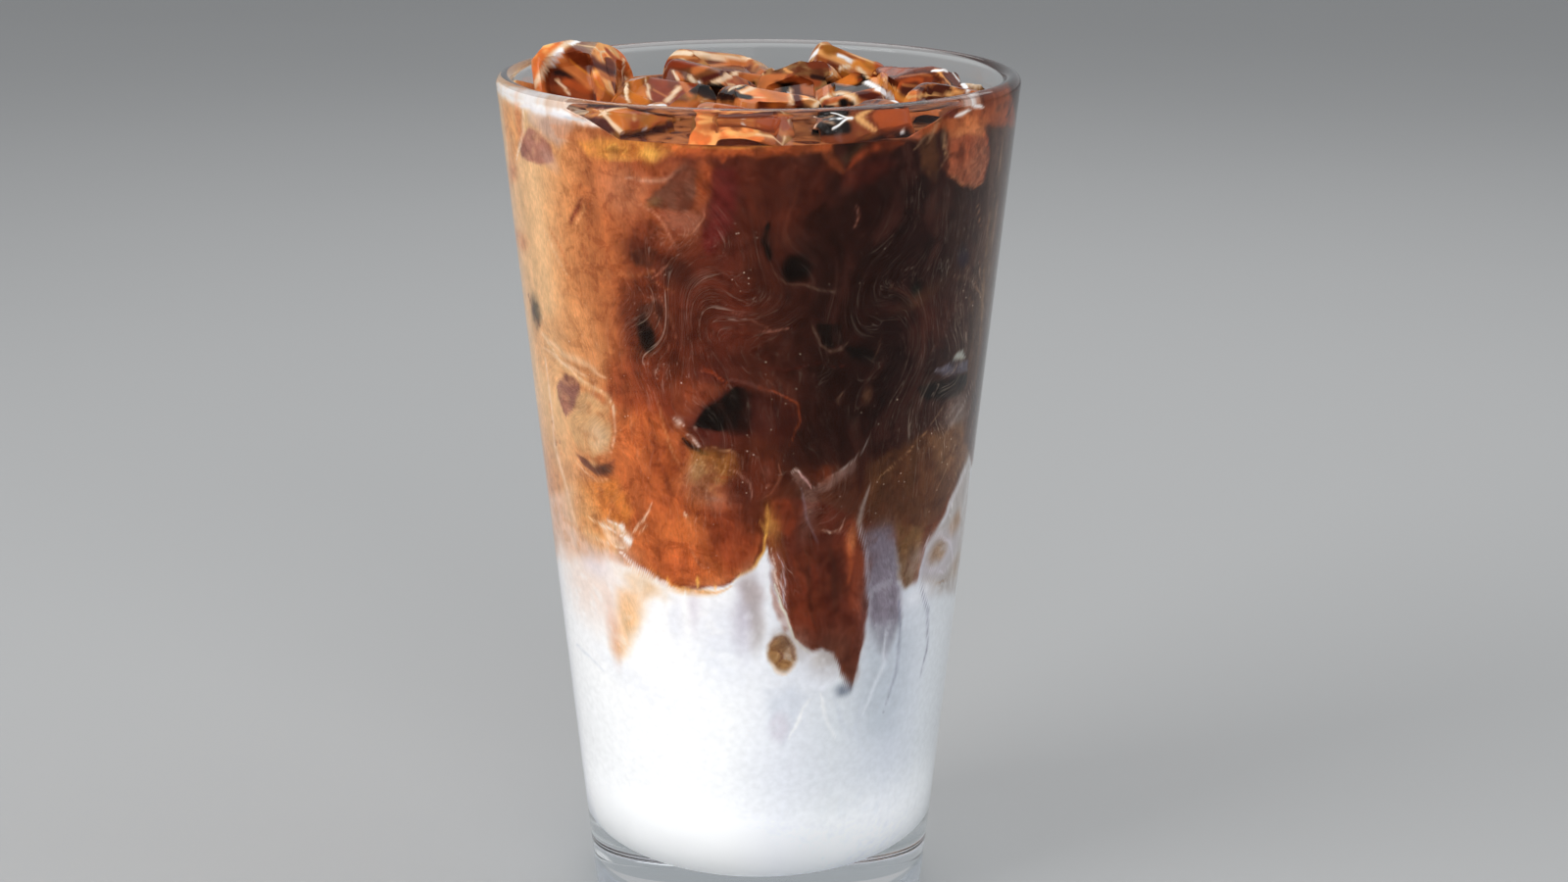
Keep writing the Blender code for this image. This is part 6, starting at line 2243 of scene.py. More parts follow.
    Stroke(Tone.BLUSH, 0.49, 1, ((8.8, -31.5, 144.3), (9.9, -33.5, 144.9), (11, -34.3, 145.3),
        (12.9, -33.5, 146), (13.6, -33.6, 146), (14.2, -32.9, 146.3))),
    Stroke(Tone.BLUSH, 0.49, 1, ((14.6, -31.3, 146.3),)),
    Stroke(Tone.MILK_COOL, 0.36, 1, ((16.6, -32.6, 146.5), (17.3, -31.6, 147.1))),
    Stroke(Tone.MILK_COOL, 0.36, 1, ((17.8, -29.7, 147.2),)),
    Stroke(Tone.NIGHT, 0.53, 1, ((9.5, -27.5, 142.8),)),
    Stroke(Tone.NIGHT, 0.53, 1, ((9.7, -34.1, 144), (10.6, -34.9, 144.2), (11.4, -35.1, 144.4))),
    Stroke(Tone.RUST, 1.49, 1, ((0.9, -29.1, 144.9), (2.4, -29, 144.7), (3.1, -29.5, 144.6))),
    Stroke(Tone.RUST, 1.49, 1, ((3.5, -32, 144.9), (4.2, -30.5, 144.4))),
    Stroke(Tone.CARAMEL, 0.49, 0.8, ((2.4, -31.5, 143.3), (2.8, -33, 143.6))),
    Stroke(Tone.CARAMEL, 0.49, 0.8, ((3.1, -35.5, 144), (5.5, -29.8, 143))),
    Stroke(Tone.PALE_TAN, 0.49, 1, ((15.3, -33.2, 146.1), (16.2, -33.4, 145.4),
        (17.9, -33, 144.1))),
    Stroke(Tone.RUST, 1.98, 1, ((19.3, -32.1, 145.9), (22.8, -30.6, 145.4))),
    Stroke(Tone.TAN_DEEP, 0.66, 0.8, ((19.1, -31.5, 147.1), (21.5, -30.6, 147.3),
        (22.8, -29.9, 147.1))),
    Stroke(Tone.TAN_DEEP, 0.66, 0.8, ((24, -14.7, 144.8), (25.9, -17.3, 145))),
    Stroke(Tone.CHESTNUT, 0.4, 0.9, ((17.1, -32.8, 146), (18.5, -32.7, 144.2),
        (20.1, -30.8, 143.1), (20.9, -30.5, 142.7))),
    Stroke(Tone.MILK, 0.43, 1, ((22.5, -29.6, 143.5),)),
    Stroke(Tone.CARAMEL, 0.91, 0.85, ((-33, 2.7, 149.6), (-32.3, 2.7, 149.1), (-28.4, 0.5, 146.4),
        (-27.9, -1, 146.3))),
    Stroke(Tone.CARAMEL, 0.91, 0.85, ((-27.5, -2.6, 146.3), (-27.1, -3.2, 146.1),
        (-26.4, -3.6, 145.6), (-25.4, -3.3, 144.7))),
    Stroke(Tone.AMBER, 0.21, 0.8, ((-31.8, 2.4, 150.2), (-31.2, 2.7, 149.6), (-29.1, 1.6, 148.1),
        (-28.8, 1.3, 147.9), (-28.3, -0.1, 147.8))),
    Stroke(Tone.AMBER, 0.21, 0.8, ((-27.9, -1.9, 147.8), (-26.3, -3.2, 146.5),
        (-24.7, -2.8, 144.9))),
    Stroke(Tone.AMBER_DEEP, 1.32, 0.85, ((-20.5, -11.5, 149), (-20.2, -11.7, 147.6),
        (-20, -12.6, 146.9))),
    Stroke(Tone.AMBER_DEEP, 1.32, 0.85, ((-19.8, -15.6, 146.9), (-19.6, -16.4, 146.1))),
    Stroke(Tone.PALE_CREAM, 0.26, 0.95, ((-23.3, 12.5, 146.1), (-23.2, 12.2, 145.7))),
    Stroke(Tone.PALE_CREAM, 0.26, 0.95, ((-21.9, -11.9, 148.7), (-21.8, -13.3, 148.5),
        (-21.6, -14.5, 147.9), (-21.3, -15.8, 146))),
    Stroke(Tone.PALE_CREAM, 0.26, 0.9, ((-18.8, -9.2, 148.8), (-18.6, -9.8, 148.1),
        (-17.9, -13.5, 146.1))),
    Stroke(Tone.UMBER, 0.28, 0.85, ((22.9, 11.4, 146.3), (23.3, 9.9, 146.6), (26.5, 8.4, 147.5),
        (29.4, 6.7, 147.9), (30.1, 5.6, 147.5), (31.4, 5.5, 146.2))),
    Stroke(Tone.UMBER, 0.28, 0.85, ((30.6, -9.3, 147.9), (31.3, -10.1, 146.8))),
    Stroke(Tone.MILK, 0.31, 1, ((30.1, 6.5, 148.1), (30.6, 6.3, 148.2), (31.7, 7, 148.2),
        (32.8, 9.1, 147.8))),
    Stroke(Tone.MILK, 0.31, 1, ((33.9, 11.5, 147.1), (35.3, 13.8, 145.4))),
    Stroke(Tone.MILK, 0.31, 1, ((34.6, -0.9, 146.8), (35, -2.7, 146.4))),
    Stroke(Tone.CARAMEL, 1.32, 0.7, ((0.3, 10.2, 145.2), (1.5, 8.6, 144.9), (2.3, 9.2, 144.5),
        (2.7, 9, 144.4))),
    Stroke(Tone.CARAMEL, 1.32, 0.7, ((2.9, -16.8, 147.8), (3.8, -18.4, 147))),
    Stroke(Tone.MILK, 0.3, 1, ((5.3, 7.7, 144),)),
    Stroke(Tone.NIGHT, 0.91, 0.95, ((6.9, -18.1, 145.1), (9, -17.4, 144.4), (9.9, -17.5, 144.1))),
    Stroke(Tone.NIGHT, 0.91, 0.95, ((10.1, -23.7, 145),)),
    Stroke(Tone.NIGHT, 0.91, 0.95, ((10.4, -27.8, 145.5),)),
    Stroke(Tone.NIGHT, 0.91, 0.95, ((10.8, -30, 145.6),)),
    Stroke(Tone.NIGHT, 0.91, 0.95, ((11.1, -31.7, 145.7), (11.5, -33.1, 145.8),
        (11.6, -32.7, 145.9), (12.3, -33.9, 145.7))),
    Stroke(Tone.NIGHT, 0.83, 0.95, ((9.3, -32.6, 144.6), (10.1, -34.1, 144.7),
        (10.9, -34.8, 144.6), (11.7, -35.1, 144.5), (13.5, -34.5, 144.9))),
    Stroke(Tone.NIGHT, 0.58, 0.9, ((15.6, -13, 145.3), (16, -13.1, 145.1))),
    Stroke(Tone.NIGHT, 0.58, 0.9, ((15.9, -23.2, 146.5),)),
    Stroke(Tone.NIGHT, 0.58, 0.9, ((16.2, -25.4, 146.7),)),
    Stroke(Tone.NIGHT, 0.58, 0.9, ((16.5, -27.2, 146.8),)),
    Stroke(Tone.NIGHT, 0.58, 0.9, ((16.8, -28.9, 146.9), (17.1, -30.5, 147))),
    Stroke(Tone.MILK, 0.23, 1, ((10.2, -33, 145.3), (11, -33.2, 145.6), (11.8, -33, 145.9),
        (12.6, -33.6, 145.9), (15.2, -32.1, 146.6))),
    Stroke(Tone.MILK, 0.21, 1, ((11.4, -35, 144.7), (12.8, -34.3, 145.4), (13.8, -33.5, 146),
        (14.5, -33.5, 146))),
    Stroke(Tone.MILK_COOL, 0.21, 0.9, ((8.4, -17, 144), (10, -17.5, 144.3))),
    Stroke(Tone.CREAM, 0.4, 0.9, ((9.3, -17.6, 145.8), (10, -16.3, 146.1))),
    Stroke(Tone.CREAM, 0.4, 0.9, ((10.4, -10.7, 145.6), (11.5, -10.6, 146.2), (12, -9.8, 146.2))),
    Stroke(Tone.CREAM, 0.4, 0.9, ((12.5, -8.1, 146), (12.9, -6.9, 146), (13.8, -6.9, 146.2),
        (14.2, -7.5, 146.1))),
    Stroke(Tone.CREAM, 0.4, 0.9, ((14.4, -11.6, 146.5), (15.6, -12.6, 146.2),
        (16.3, -13.1, 145.3))),
    Stroke(Tone.CREAM, 0.4, 0.9, ((16.1, -23.7, 146.6),)),
    Stroke(Tone.CREAM, 0.36, 0.9, ((-15.9, 32.6, 147.4), (-13.2, 30.3, 148.1),
        (-12.2, 29.1, 148.1))),
    Stroke(Tone.CREAM, 0.36, 0.9, ((-11.7, 30.7, 147.9), (-9.3, 31.6, 147.5))),
    Stroke(Tone.DARK, 0.83, 0.85, ((-10.7, -12.7, 147.4), (-9.9, -12.4, 147.1),
        (-7.5, -9.3, 146.2))),
    Stroke(Tone.DARK, 0.83, 0.85, ((-7.3, 2.7, 144.4),)),
    Stroke(Tone.DARK, 0.83, 0.85, ((-6.7, -11.2, 146.4), (-4.2, -18.7, 147.1))),
)


@dataclass
class Wiring:
    """Adds nodes to a shader tree and joins them."""

    tree: bpy.types.NodeTree

    def fill(self, node: Node, **sockets: object) -> Node:
        """Joins or sets a node's inputs.

        Args:
            node: The node.
            sockets: Its inputs by name, with underscores for spaces, as values or sockets to join.

        Returns:
            The node.
        """
        for label, value in sockets.items():
            self.put(node.inputs[label.replace("_", " ")], value)
        return node

    def put(self, socket: Socket, value: object) -> None:
        """Joins a socket to another, or sets its value.

        Args:
            socket: The input.
            value: The output to join to it, or the value.
        """
        if isinstance(value, bpy.types.NodeSocket):
            self.tree.links.new(value, socket)
        else:
            socket.default_value = value

    def node(self, kind: str, settings: dict[str, object] | None = None, **sockets: object) -> Node:
        """Adds a node.

        Args:
            kind: The node's type.
            settings: Its own settings, by name.
            sockets: Its inputs, as fill takes them.

        Returns:
            The node.
        """
        made = self.tree.nodes.new(kind)
        for setting, value in (settings or {}).items():
            setattr(made, setting, value)
        return self.fill(made, **sockets)

    def math(self, operation: str, first: object, second: object = 0.0) -> Socket:
        """Adds a Math node.

        Args:
            operation: What it does.
            first: Its first value.
            second: Its second value, if it takes one.

        Returns:
            Its result.
        """
        made = self.node("ShaderNodeMath", {"operation": operation})
        self.put(made.inputs[0], first)
        self.put(made.inputs[1], second)
        return made.outputs[0]

    def times(self, first: object, second: object) -> Socket:
        """Two values multiplied."""
        return self.math("MULTIPLY", first, second)

    def mix(self, share: object, first: object, second: object, blend: str = "MIX") -> Socket:
        """The colour that a Mix node gives for a share of the second over the first."""
        made = self.node("ShaderNodeMix", {"data_type": "RGBA", "blend_type": blend})
        return self.fill(made, Factor=share, A=first, B=second).outputs["Result"]

    def shade(self, colour: object, factor: object, share: object = 1.0) -> Socket:
        """Multiplies a colour.

        Args:
            colour: The colour.
            factor: What it is multiplied by.
            share: How much of the product is laid over the colour.

        Returns:
            The shaded colour.
        """
        if share == 1.0:
            return self.mix(1.0, colour, factor, "MULTIPLY")
        return self.mix(share, colour, self.mix(1.0, colour, factor, "MULTIPLY"))

    def ranged(
        self, value: object, low: float, high: float, start: float = 0.0, end: float = 1.0
    ) -> Socket:
        """Adds a smooth Map Range node.

        Args:
            value: Its value.
            low: The value that gives start.
            high: The value that gives end.
            start: The result at low.
            end: The result at high.

        Returns:
            Its result.
        """
        made = self.node("ShaderNodeMapRange", {"interpolation_type": "SMOOTHSTEP"}, Value=value)
        self.fill(made, From_Min=low, From_Max=high, To_Min=start, To_Max=end)
        return made.outputs["Result"]

    def noise(self, place: Socket, scale: object, detail: float, **sockets: object) -> Socket:
        """A noise texture's value."""
        made = self.node("ShaderNodeTexNoise", Vector=place, Scale=scale, Detail=detail, **sockets)
        return made.outputs[0]

    def attribute(self, name: str, output: str) -> Socket:
        """An attribute of the piece."""
        return self.node("ShaderNodeAttribute", {"attribute_name": name}).outputs[output]

    def place(self) -> Socket:
        """The place on the piece, in Object coordinates."""
        return self.node("ShaderNodeTexCoord").outputs["Object"]

    def part(self, vector: Socket, axis: str) -> Socket:
        """One part of a vector."""
        return self.node("ShaderNodeSeparateXYZ", Vector=vector).outputs[axis]

    def group(self, tree: bpy.types.NodeTree, **sockets: object) -> Socket:
        """What a group puts out."""
        return self.node("ShaderNodeGroup", {"node_tree": tree}, **sockets).outputs[0]


def new_group(
    name: str, vector: str, values: dict[str, float], output: str
) -> tuple[Wiring, Node, Socket]:
    """Starts a shader node group.

    Args:
        name: The group's name.
        vector: The name of its vector input.
        values: Its number inputs, with their defaults.
        output: The name of its number output.

    Returns:
        The group's wiring, its input node and the socket that its result goes to.
    """
    group = bpy.data.node_groups.new(name, "ShaderNodeTree")
    group.interface.new_socket(vector, in_out="INPUT", socket_type="NodeSocketVector")
    for label, value in values.items():
        socket = group.interface.new_socket(label, in_out="INPUT", socket_type="NodeSocketFloat")
        socket.default_value = value
    group.interface.new_socket(output, in_out="OUTPUT", socket_type="NodeSocketFloat")
    sink = group.nodes.new("NodeGroupOutput")
    return Wiring(group), group.nodes.new("NodeGroupInput"), sink.inputs[output]


def thread_group() -> bpy.types.NodeTree:
    """The group that draws fine threads of milk.

    Returns:
        A group that takes the flow, a fineness per millimetre, a stretch and a width, and puts
        out the threads' mask. A thread is where noise, stretched along the flow, passes through
        its middle value, and a wider noise breaks it up.
    """
    values = {"Fineness": 1.0, "Stretch": 0.2, "Width": 0.03}
    wire, source, sink = new_group("milk_threads", FLOW, values, "Mask")
    fineness = source.outputs["Fineness"]
    parts = wire.node("ShaderNodeSeparateXYZ", Vector=source.outputs[FLOW])
    across = wire.times(parts.outputs["X"], fineness)
    along = wire.times(wire.times(parts.outputs["Y"], fineness), source.outputs["Stretch"])
    place = wire.node("ShaderNodeCombineXYZ", X=across, Y=along, Z=0.0).outputs["Vector"]
    noise = wire.node("ShaderNodeTexNoise", {"noise_dimensions": "2D"}, Vector=place)
    wire.fill(noise, Scale=1.0, Detail=2.0, Distortion=0.6)
    away = wire.math("ABSOLUTE", wire.math("SUBTRACT", noise.outputs[0], 0.5))
    ratio = wire.math("DIVIDE", away, source.outputs["Width"])
    shown = wire.ranged(wire.noise(place, 0.55, 1.0), 0.44, 0.60)
    wire.put(sink, wire.times(wire.ranged(ratio, 1.0, 0.0), shown))
    return wire.tree


def mottle_group() -> bpy.types.NodeTree:
    """The group that varies a colour's brightness over the surface.

    Returns:
        A group that takes a place, a scale and a low and high value, and puts out a value between
        them, by noise.
    """
    values = {"Scale": 100.0, "Low": 0.9, "High": 1.1}
    wire, source, sink = new_group("mottle", "Place", values, "Value")
    noise = wire.noise(source.outputs["Place"], source.outputs["Scale"], 4.0)
    made = wire.node("ShaderNodeMapRange", Value=noise, From_Min=0.3, From_Max=0.7)
    wire.fill(made, To_Min=source.outputs["Low"], To_Max=source.outputs["High"])
    wire.put(sink, made.outputs["Result"])
    return wire.tree


@dataclass(frozen=True)
class Groups:
    """The shader groups that the finishes share."""

    threads: bpy.types.NodeTree = field(default_factory=thread_group)
    mottle: bpy.types.NodeTree = field(default_factory=mottle_group)


def new_material(name: str) -> tuple[bpy.types.Material, Wiring, Node]:
    """Starts a material.

    Args:
        name: The material's name.

    Returns:
        The material, its wiring and its Principled shader.
    """
    material = bpy.data.materials.new(name)
    material.use_nodes = True
    return material, Wiring(material.node_tree), material.node_tree.nodes["Principled BSDF"]


@dataclass(frozen=True)
class Ripple:
    """A wet ripple in a finish, by noise. Its height is in metres."""

    scale: float
    detail: float
    strength: float
    height: float

    def normal(self, wire: Wiring, place: Socket) -> Socket:
        """The normal that the ripple gives.

        Args:
            wire: The material's wiring.
            place: The place on the piece.

        Returns:
            The normal, for the shader.
        """
        noise = wire.noise(place, self.scale, self.detail)
        bump = wire.node("ShaderNodeBump", Strength=self.strength, Distance=self.height)
        return wire.fill(bump, Height=noise).outputs["Normal"]


@dataclass(frozen=True)
class ClearGlassFinish:
    """Clear glass that lets lamp light through to what it holds."""

    name: str = "clear_glass"
    sheen: float = 0.25
    colour: Colour = (0.985, 0.992, 0.99, 1.0)
    ior: float = 1.45
    roughness: float = 0.0
    gloss: float = 0.2

    def material(self) -> bpy.types.Material:
        """Makes the glass.

        Returns:
            The material: a refracting shader for sight, and a clear one for the rays that look
            for lamps.
        """
        material, wire, shader = new_material(self.name)
        wire.fill(shader, Base_Color=self.colour, Roughness=self.roughness, Transmission_Weight=1.0)
        wire.fill(shader, Specular_Tint=(self.sheen, self.sheen, self.sheen, 1.0), IOR=self.ior)
        wire.fill(shader, Specular_IOR_Level=self.gloss)
        clear = wire.node("ShaderNodeBsdfTransparent", Color=self.colour)
        mixed = wire.node("ShaderNodeMixShader")
        wire.put(mixed.inputs[0], wire.node("ShaderNodeLightPath").outputs["Is Shadow Ray"])
        wire.put(mixed.inputs[1], shader.outputs["BSDF"])
        wire.put(mixed.inputs[2], clear.outputs["BSDF"])
        wire.fill(material.node_tree.nodes["Material Output"], Surface=mixed.outputs["Shader"])
        return material


@dataclass(frozen=True)
class DrinkFinish:
    """The drink against the glass: its painted tint, with fine threads and mottling over it.

    Each kind of thread is a fineness, a stretch and a width. The three factors multiply a colour:
    in the dark streaks beside the threads, in stains and in the pale bloom between the stains.
    """

    name: str
    groups: Groups
    thread_tone: Tone = Tone.PALE_CREAM
    thread_strength: float = 0.34
    coarse_threads: Triple = (0.8, 0.14, 0.020)
    fine_threads: Triple = (2.1, 0.13, 0.026)
    fine_share: float = 0.7
    dark_streaks: Triple = (1.3, 0.22, 0.08)
    dark_share: float = 0.20
    dark_factor: Colour = (0.45, 0.36, 0.32, 1.0)
    bubble_scale: float = 620.0
    bubble_edge: Pair = (0.12, 0.05)
    cluster_scale: float = 95.0
    cluster_edge: Pair = (0.50, 0.66)
    foam: float = 2.2
    most_foam: float = 0.7
    mottle: float = 0.05
    mottle_scale: float = 900.0
    grain: float = 0.15
    grain_way: Pair = (2.6, 0.8)
    brown_edge: Pair = (0.50, 0.22)
    cloud_scale: float = 330.0
    dark_edge: Pair = (0.22, 0.06)
    stain: float = 0.55
    least_stain: float = 0.15
    stain_edge: Pair = (0.48, 0.62)
    stain_factor: Colour = (0.50, 0.36, 0.30, 1.0)
    bloom_edge: Pair = (0.46, 0.34)
    bloom_factor: Colour = (1.30, 1.34, 1.40, 1.0)
    roughness: float = 0.55
    specular: float = 0.0
    painted_light: float = 0.0
    painted_light_heights: Pair = (0.034, 0.012)

    def mask(self, wire: Wiring, flow: Socket, size: Triple) -> Socket:
        """The mask of one kind of thread."""
        sizes = dict(zip(("Fineness", "Stretch", "Width"), size))
        return wire.group(self.groups.threads, Flow=flow, **sizes)

    def varied(self, wire: Wiring, place: Socket, scale: float, by: float) -> Socket:
        """A factor about 1, by mottling at a scale."""
        return wire.group(self.groups.mottle, Place=place, Scale=scale, Low=1.0 - by, High=1.0 + by)

    def threaded(self, wire: Wiring, tint: Socket, flow: Socket, amount: Socket) -> Socket:
        """Lays dark streaks, and pale threads of two sizes, over the tint.

        Args:
            wire: The material's wiring.
            tint: The vertices' tint.
            flow: The place across and along the threads.
            amount: How many threads there are.

        Returns:
            The threaded colour.
        """
        fine = wire.times(self.mask(wire, flow, self.fine_threads), self.fine_share)
        masks = wire.math("MAXIMUM", self.mask(wire, flow, self.coarse_threads), fine)
        pale = wire.times(wire.times(masks, amount), self.thread_strength)
        streaks = wire.times(self.mask(wire, flow, self.dark_streaks), amount)
        shaded = wire.shade(tint, self.dark_factor, wire.times(streaks, self.dark_share))
        return wire.mix(pale, shaded, self.thread_tone.linear)

    def specked(self, wire: Wiring, colour: Socket, place: Socket, amount: Socket) -> Socket:
        """Lays clusters of tiny pale bubbles over a colour where there are threads.

        Args:
            wire: The material's wiring.
            colour: The colour.
            place: The place on the piece.
            amount: How many threads there are.

        Returns:
            The specked colour.
        """
        bubbles = wire.node("ShaderNodeTexVoronoi", Vector=place, Scale=self.bubble_scale)
        clusters = wire.ranged(wire.noise(place, self.cluster_scale, 1.0), *self.cluster_edge)
        most = wire.math("MINIMUM", wire.times(amount, self.foam), self.most_foam)
        foam = wire.times(most, clusters)
        specks = wire.times(wire.ranged(bubbles.outputs["Distance"], *self.bubble_edge), foam)
        return wire.mix(specks, colour, self.thread_tone.linear)

    def stained(self, wire: Wiring, colour: Socket, place: Socket, blue: Socket) -> Socket:
        """Lays cloudy stains and paler bloom over a colour, the more so the darker the tint is.

        Args:
            wire: The material's wiring.
            colour: The colour.
            place: The place on the piece.
            blue: The tint's blue, which tells how dark it is.

        Returns:
            The stained colour.
        """
        cloud = wire.noise(place, self.cloud_scale, 5.0, Roughness=0.68, Distortion=0.5)
        depth = wire.ranged(blue, *self.dark_edge, self.least_stain * self.stain, self.stain)
        stain = wire.times(wire.ranged(cloud, *self.stain_edge), depth)
        pale = wire.times(wire.ranged(cloud, *self.bloom_edge), depth)
        return wire.shade(wire.shade(colour, self.stain_factor, stain), self.bloom_factor, pale)

    def material(self) -> bpy.types.Material:
        """Makes the drink's finish.

        Returns:
            The material: the vertices' tint with threads, bubbles and mottling, and with grain
            and stains where it is brown. Where the glow is set, the tint also glows low down:
            painted light, brighter towards the bottom.
        """
        material, wire, shader = new_material(self.name)
        tint, flow = wire.attribute(TINT, "Color"), wire.attribute(FLOW, "Vector")
        amount, place = wire.attribute(THREADS, "Fac"), wire.place()
        specked = self.specked(wire, self.threaded(wire, tint, flow, amount), place, amount)
        mottled = wire.shade(specked, self.varied(wire, place, self.mottle_scale, self.mottle))
        across = wire.times(wire.part(flow, "X"), self.grain_way[0])
        along = wire.times(wire.part(flow, "Y"), self.grain_way[1])
        hairs = wire.node("ShaderNodeCombineXYZ", X=across, Y=along, Z=0.0).outputs["Vector"]
        grained = wire.shade(mottled, self.varied(wire, hairs, 1.0, self.grain))
        blue = wire.node("ShaderNodeSeparateColor", Color=tint).outputs["Blue"]
        stained = self.stained(wire, grained, place, blue)
        brown = wire.ranged(blue, *self.brown_edge)
        wire.fill(shader, Base_Color=wire.mix(brown, mottled, stained))
        # Painted light: the tint glows by itself, more towards the bottom, to brighten the milk
        # where it curves away from the lamps.
        if self.painted_light:
            low = wire.ranged(wire.part(place, "Z"), *self.painted_light_heights, 0.0, self.painted_light)
            wire.fill(shader, Emission_Color=wire.shade(tint, low), Emission_Strength=1.0)
        wire.fill(shader, Roughness=self.roughness, Specular_IOR_Level=self.specular)
        return material


@dataclass(frozen=True)
class LevelFinish:
    """The coffee's open surface: dark and glossy, with paler swirls."""

    swirl_scale: float = 120.0
    swirl_edge: Pair = (0.35, 0.62)
    ripple: Ripple = Ripple(160.0, 1.0, 0.25, 0.0008)
    roughness: float = 0.07
    ior: float = 1.34
    specular: float = 0.12

    def material(self) -> bpy.types.Material:
        """Makes the level's finish.

        Returns:
            The material: noise from dark brown to caramel under a gloss, with a soft ripple.
        """
        material, wire, shader = new_material("coffee_level")
        place = wire.place()
        noise = wire.noise(place, self.swirl_scale, 3.0, Distortion=1.6)
        swirls = wire.ranged(noise, *self.swirl_edge)
        wire.fill(shader, Base_Color=wire.mix(swirls, Tone.ROSEWOOD.linear, Tone.CARAMEL.linear))
        wire.fill(shader, Normal=self.ripple.normal(wire, place), Roughness=self.roughness)
        wire.fill(shader, IOR=self.ior, Specular_IOR_Level=self.specular)
        return material


@dataclass(frozen=True)
class IceFinish:
    """Ice under a glossy film of coffee."""

    groups: Groups
    mottle_scale: float = 260.0
    mottle: Pair = (0.82, 1.15)
    ripple: Ripple = Ripple(420.0, 2.0, 0.22, 0.0006)
    roughness: float = 0.12
    ior: float = 1.4
    specular: float = 0.10
    coat: float = 0.30
    coat_ior: float = 1.25
    coat_roughness: float = 0.04

    def material(self) -> bpy.types.Material:
        """Makes the ice's finish.

        Returns:
            The material: the vertices' tint, mottled, under a clear coat with a wet ripple.
        """
        material, wire, shader = new_material("coffee_coated_ice")
        place, scale, (low, high) = wire.place(), self.mottle_scale, self.mottle
        mottle = wire.group(self.groups.mottle, Place=place, Scale=scale, Low=low, High=high)
        wire.fill(shader, Base_Color=wire.shade(wire.attribute(TINT, "Color"), mottle))
        wire.fill(shader, Normal=self.ripple.normal(wire, place), Roughness=self.roughness)
        wire.fill(shader, IOR=self.ior, Specular_IOR_Level=self.specular, Coat_Weight=self.coat)
        wire.fill(shader, Coat_IOR=self.coat_ior, Coat_Roughness=self.coat_roughness)
        return material


@dataclass(frozen=True)
class FloorFinish:
    """A plain pale floor with a very faint mottling."""

    groups: Groups
    colour: Colour = (0.46, 0.465, 0.465, 1.0)
    mottle: Pair = (0.99, 1.01)
    mottle_scale: float = 3.0
    roughness: float = 0.8
    specular: float = 0.1

    def material(self) -> bpy.types.Material:
        """Makes the floor's finish.

        Returns:
            The material: a matt grey, varied a little by noise.
        """
        material, wire, shader = new_material("pale_floor")
        low, high = self.mottle
        place, scale = wire.place(), self.mottle_scale
        mottle = wire.group(self.groups.mottle, Place=place, Scale=scale, Low=low, High=high)
        wire.fill(shader, Base_Color=wire.shade(self.colour, mottle))
        wire.fill(shader, Roughness=self.roughness, Specular_IOR_Level=self.specular)
        return material


@dataclass(frozen=True)
class Lamp:
    """A soft square lamp: its place, target and side in metres, and its power in watts."""

    name: str
    place: Triple
    target: Triple
    side: float
    power: float

    def add(self) -> None:
        """Adds the lamp, turned to its target."""
        data = bpy.data.lights.new(self.name, "AREA")
        data.shape = "SQUARE"
        data.size = self.side
        data.energy = self.power
        lamp = bpy.data.objects.new(self.name, data)
        lamp.location = self.place
        way = Vector(self.target) - Vector(self.place)
        lamp.rotation_euler = way.to_track_quat("-Z", "Y").to_euler()
        bpy.context.scene.collection.objects.link(lamp)


@dataclass(frozen=True)
class Studio:
    """The pale floor, the soft lamps, the even surroundings and the camera of the photograph."""

    camera_place: Triple = (0.0, -0.437, 0.2088)
    camera_down: float = 16.0
    sensor: float = 36.0
    lens: float = 58.95
    shift: float = 0.01625
    clip: Pair = (0.01, 100.0)
    floor_side: float = 16.0
    floor_drop: float = 0.0002
    surroundings: float = 0.46
    sky: Colour = (0.95, 0.97, 1.0, 1.0)
    lamps: tuple[Lamp, ...] = (
        Lamp("key_left", (-0.70, -0.40, 0.50), (0.0, 0.0, 0.08), 0.45, 3.80),
        Lamp("fill_front", (0.30, -0.90, 0.42), (0.0, 0.0, 0.05), 0.6, 3.1),
        Lamp("fill_right", (0.85, -0.10, 0.40), (0.0, 0.0, 0.08), 0.5, 1.05),
        Lamp("top_back", (0.10, 0.40, 0.75), (0.0, 0.0, 0.14), 0.75, 2.4),
    )

    def build(self, groups: Groups) -> None:
        """Adds the floor, the lamps, the surroundings and the camera.

        Args:
            groups: The shader groups for the floor's finish.
        """
        half, low = self.floor_side / 2, -self.floor_drop
        ways = np.array([[-1, -1, 0], [1, -1, 0], [1, 1, 0], [-1, 1, 0]])
        corners = half * ways + np.array([0.0, 0.0, low])
        floor = new_mesh_object("floor", corners, np.array([[0, 1, 2, 3]]))
        floor.data.materials.append(FloorFinish(groups).material())
        for lamp in self.lamps:
            lamp.add()
        self.add_surroundings()
        self.add_camera()

    def add_surroundings(self) -> None:
        """An even pale world."""
        world = bpy.data.worlds.new("studio")
        world.use_nodes = True
        background = world.node_tree.nodes["Background"]
        Wiring(world.node_tree).fill(background, Color=self.sky, Strength=self.surroundings)
        bpy.context.scene.world = world

    def add_camera(self) -> None:
        """The camera that the photograph was taken with, as near as its lines tell."""
        data = bpy.data.cameras.new("camera")
        data.sensor_width = self.sensor
        data.lens = self.lens
        data.shift_x = self.shift
        data.clip_start, data.clip_end = self.clip
        camera = bpy.data.objects.new("camera", data)
        camera.location = self.camera_place
        camera.rotation_euler = (math.radians(90.0 - self.camera_down), 0.0, 0.0)
        bpy.context.scene.collection.objects.link(camera)
        bpy.context.scene.camera = camera


def face_centres(thing: Thing) -> Array:
    """The middle of each of a piece's faces, one row each."""
    centres = np.zeros(len(thing.data.polygons) * 3)
    thing.data.polygons.foreach_get("center", centres)
    return centres.reshape(-1, 3)


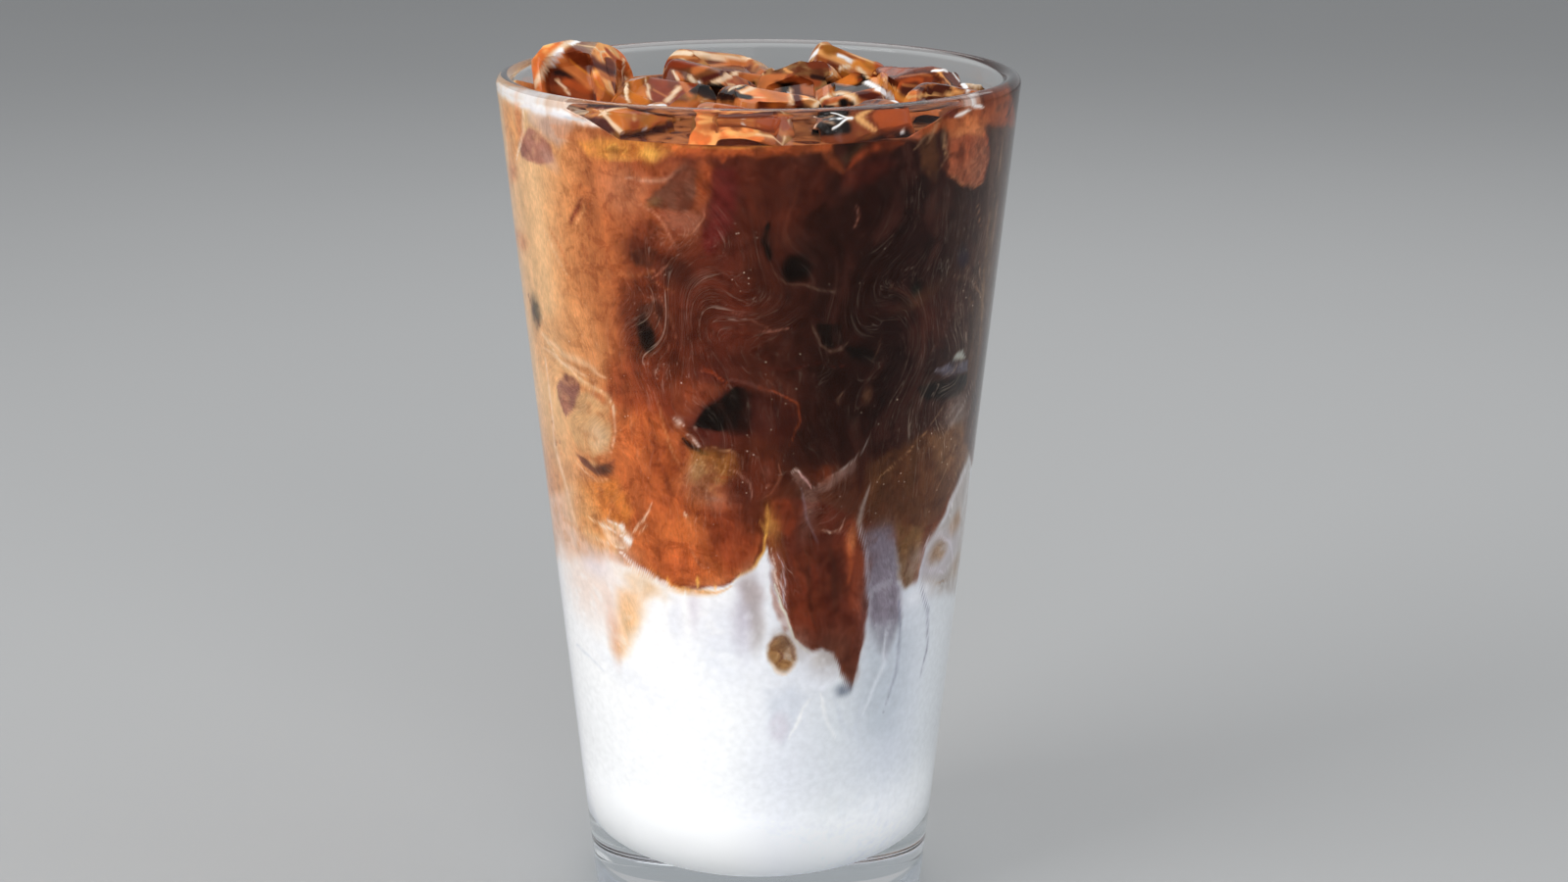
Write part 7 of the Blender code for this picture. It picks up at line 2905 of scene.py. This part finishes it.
@dataclass
class Latte:
    """Builds and dresses the whole drink."""

    groups: Groups = field(default_factory=Groups)
    drink: DrinkSurface = DrinkSurface()
    rim_zone: float = VESSEL.height - VESSEL.wall_at_rim / 5
    base_zone: float = VESSEL.base_thickness - 0.0015
    # The rim's and the base's tints: painted shade, darker glass for the dark lines that refraction
    # shows there.
    rim_painted_shade: Colour = (0.50, 0.46, 0.45, 1.0)
    base_painted_shade: Colour = (0.56, 0.62, 0.65, 1.0)
    # The milk's painted light: how strongly its lower part glows.
    milk_painted_light: float = 0.22
    level_margin: Pair = (1e-5, 0.0002)

    def take_place(
        self, thing: Thing, node: str, slot: str, *materials: bpy.types.Material
    ) -> None:
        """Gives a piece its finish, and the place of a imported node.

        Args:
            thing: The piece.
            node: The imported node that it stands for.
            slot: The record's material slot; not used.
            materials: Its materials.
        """
        for material in materials:
            thing.data.materials.append(material)
        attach(thing, BODY)
        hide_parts(node)
        LOG.info("%s: %d faces, for node %s", thing.name, len(thing.data.polygons), node)

    def build(self) -> None:
        """Builds every piece."""
        self.build_glass()
        self.build_drink()
        ice = IceFinish(self.groups).material()
        for cube in ICE_CUBES:
            self.take_place(cube.build(), cube.name, "ice", ice)

    def build_glass(self) -> None:
        """Builds the glass, and gives its rim and its base darker tints of their own: painted shade
        for the dark lines that the thick glass shows there.
        """
        glass = VESSEL.build()
        finishes = (
            ClearGlassFinish(),
            ClearGlassFinish("rim_glass_painted_shade", 1.0, self.rim_painted_shade, gloss=0.5),
            ClearGlassFinish("base_glass_painted_shade", 0.8, self.base_painted_shade, gloss=0.5),
        )
        self.take_place(glass, "glass", "clear_glass", *(finish.material() for finish in finishes))
        height = face_centres(glass)[:, 2]
        zones = np.where(height > self.rim_zone, 1, np.where(height < self.base_zone, 2, 0))
        glass.data.polygons.foreach_set("material_index", zones.astype(np.int32))

    def build_drink(self) -> None:
        """Builds the milk, the coffee and the film, and gives the coffee's level its own finish."""
        drink, middle = self.drink, BORDER.height
        floor = VESSEL.base_thickness - VESSEL.reach
        milk = drink.build("swirled_milk", drink.milk_points(), floor, middle)
        white = DrinkFinish("milk_with_swirls", self.groups, painted_light=self.milk_painted_light).material()
        self.take_place(milk, "milk", "milk", white)
        coffee = drink.build("swirled_coffee", drink.coffee_points(), middle, VESSEL.level)
        brown = DrinkFinish("coffee_with_swirls", self.groups).material()
        self.take_place(coffee, "coffee", "coffee", brown, LevelFinish().material())
        centres = face_centres(coffee)
        under, inside = self.level_margin
        away = np.hypot(centres[:, 0], centres[:, 1])
        edge = VESSEL.drink_radius(VESSEL.level) - inside
        open_air = (centres[:, 2] > VESSEL.level - under) & (away < edge)
        coffee.data.polygons.foreach_set("material_index", open_air.astype(np.int32))
        coffee.data.update()
        film = drink.film("creamy_film")
        film.data.materials.append(brown)
        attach(film, BODY)
        LOG.info("%s: %d faces, above the level", film.name, len(film.data.polygons))


def main() -> None:
    """Builds the drink and the studio."""
    logging.basicConfig(level=logging.INFO, format="%(name)s: %(message)s")
    bpy.context.scene.view_settings.view_transform = "Standard"
    latte = Latte()
    latte.build()
    Studio().build(latte.groups)


if __name__ == "__main__":
    main()
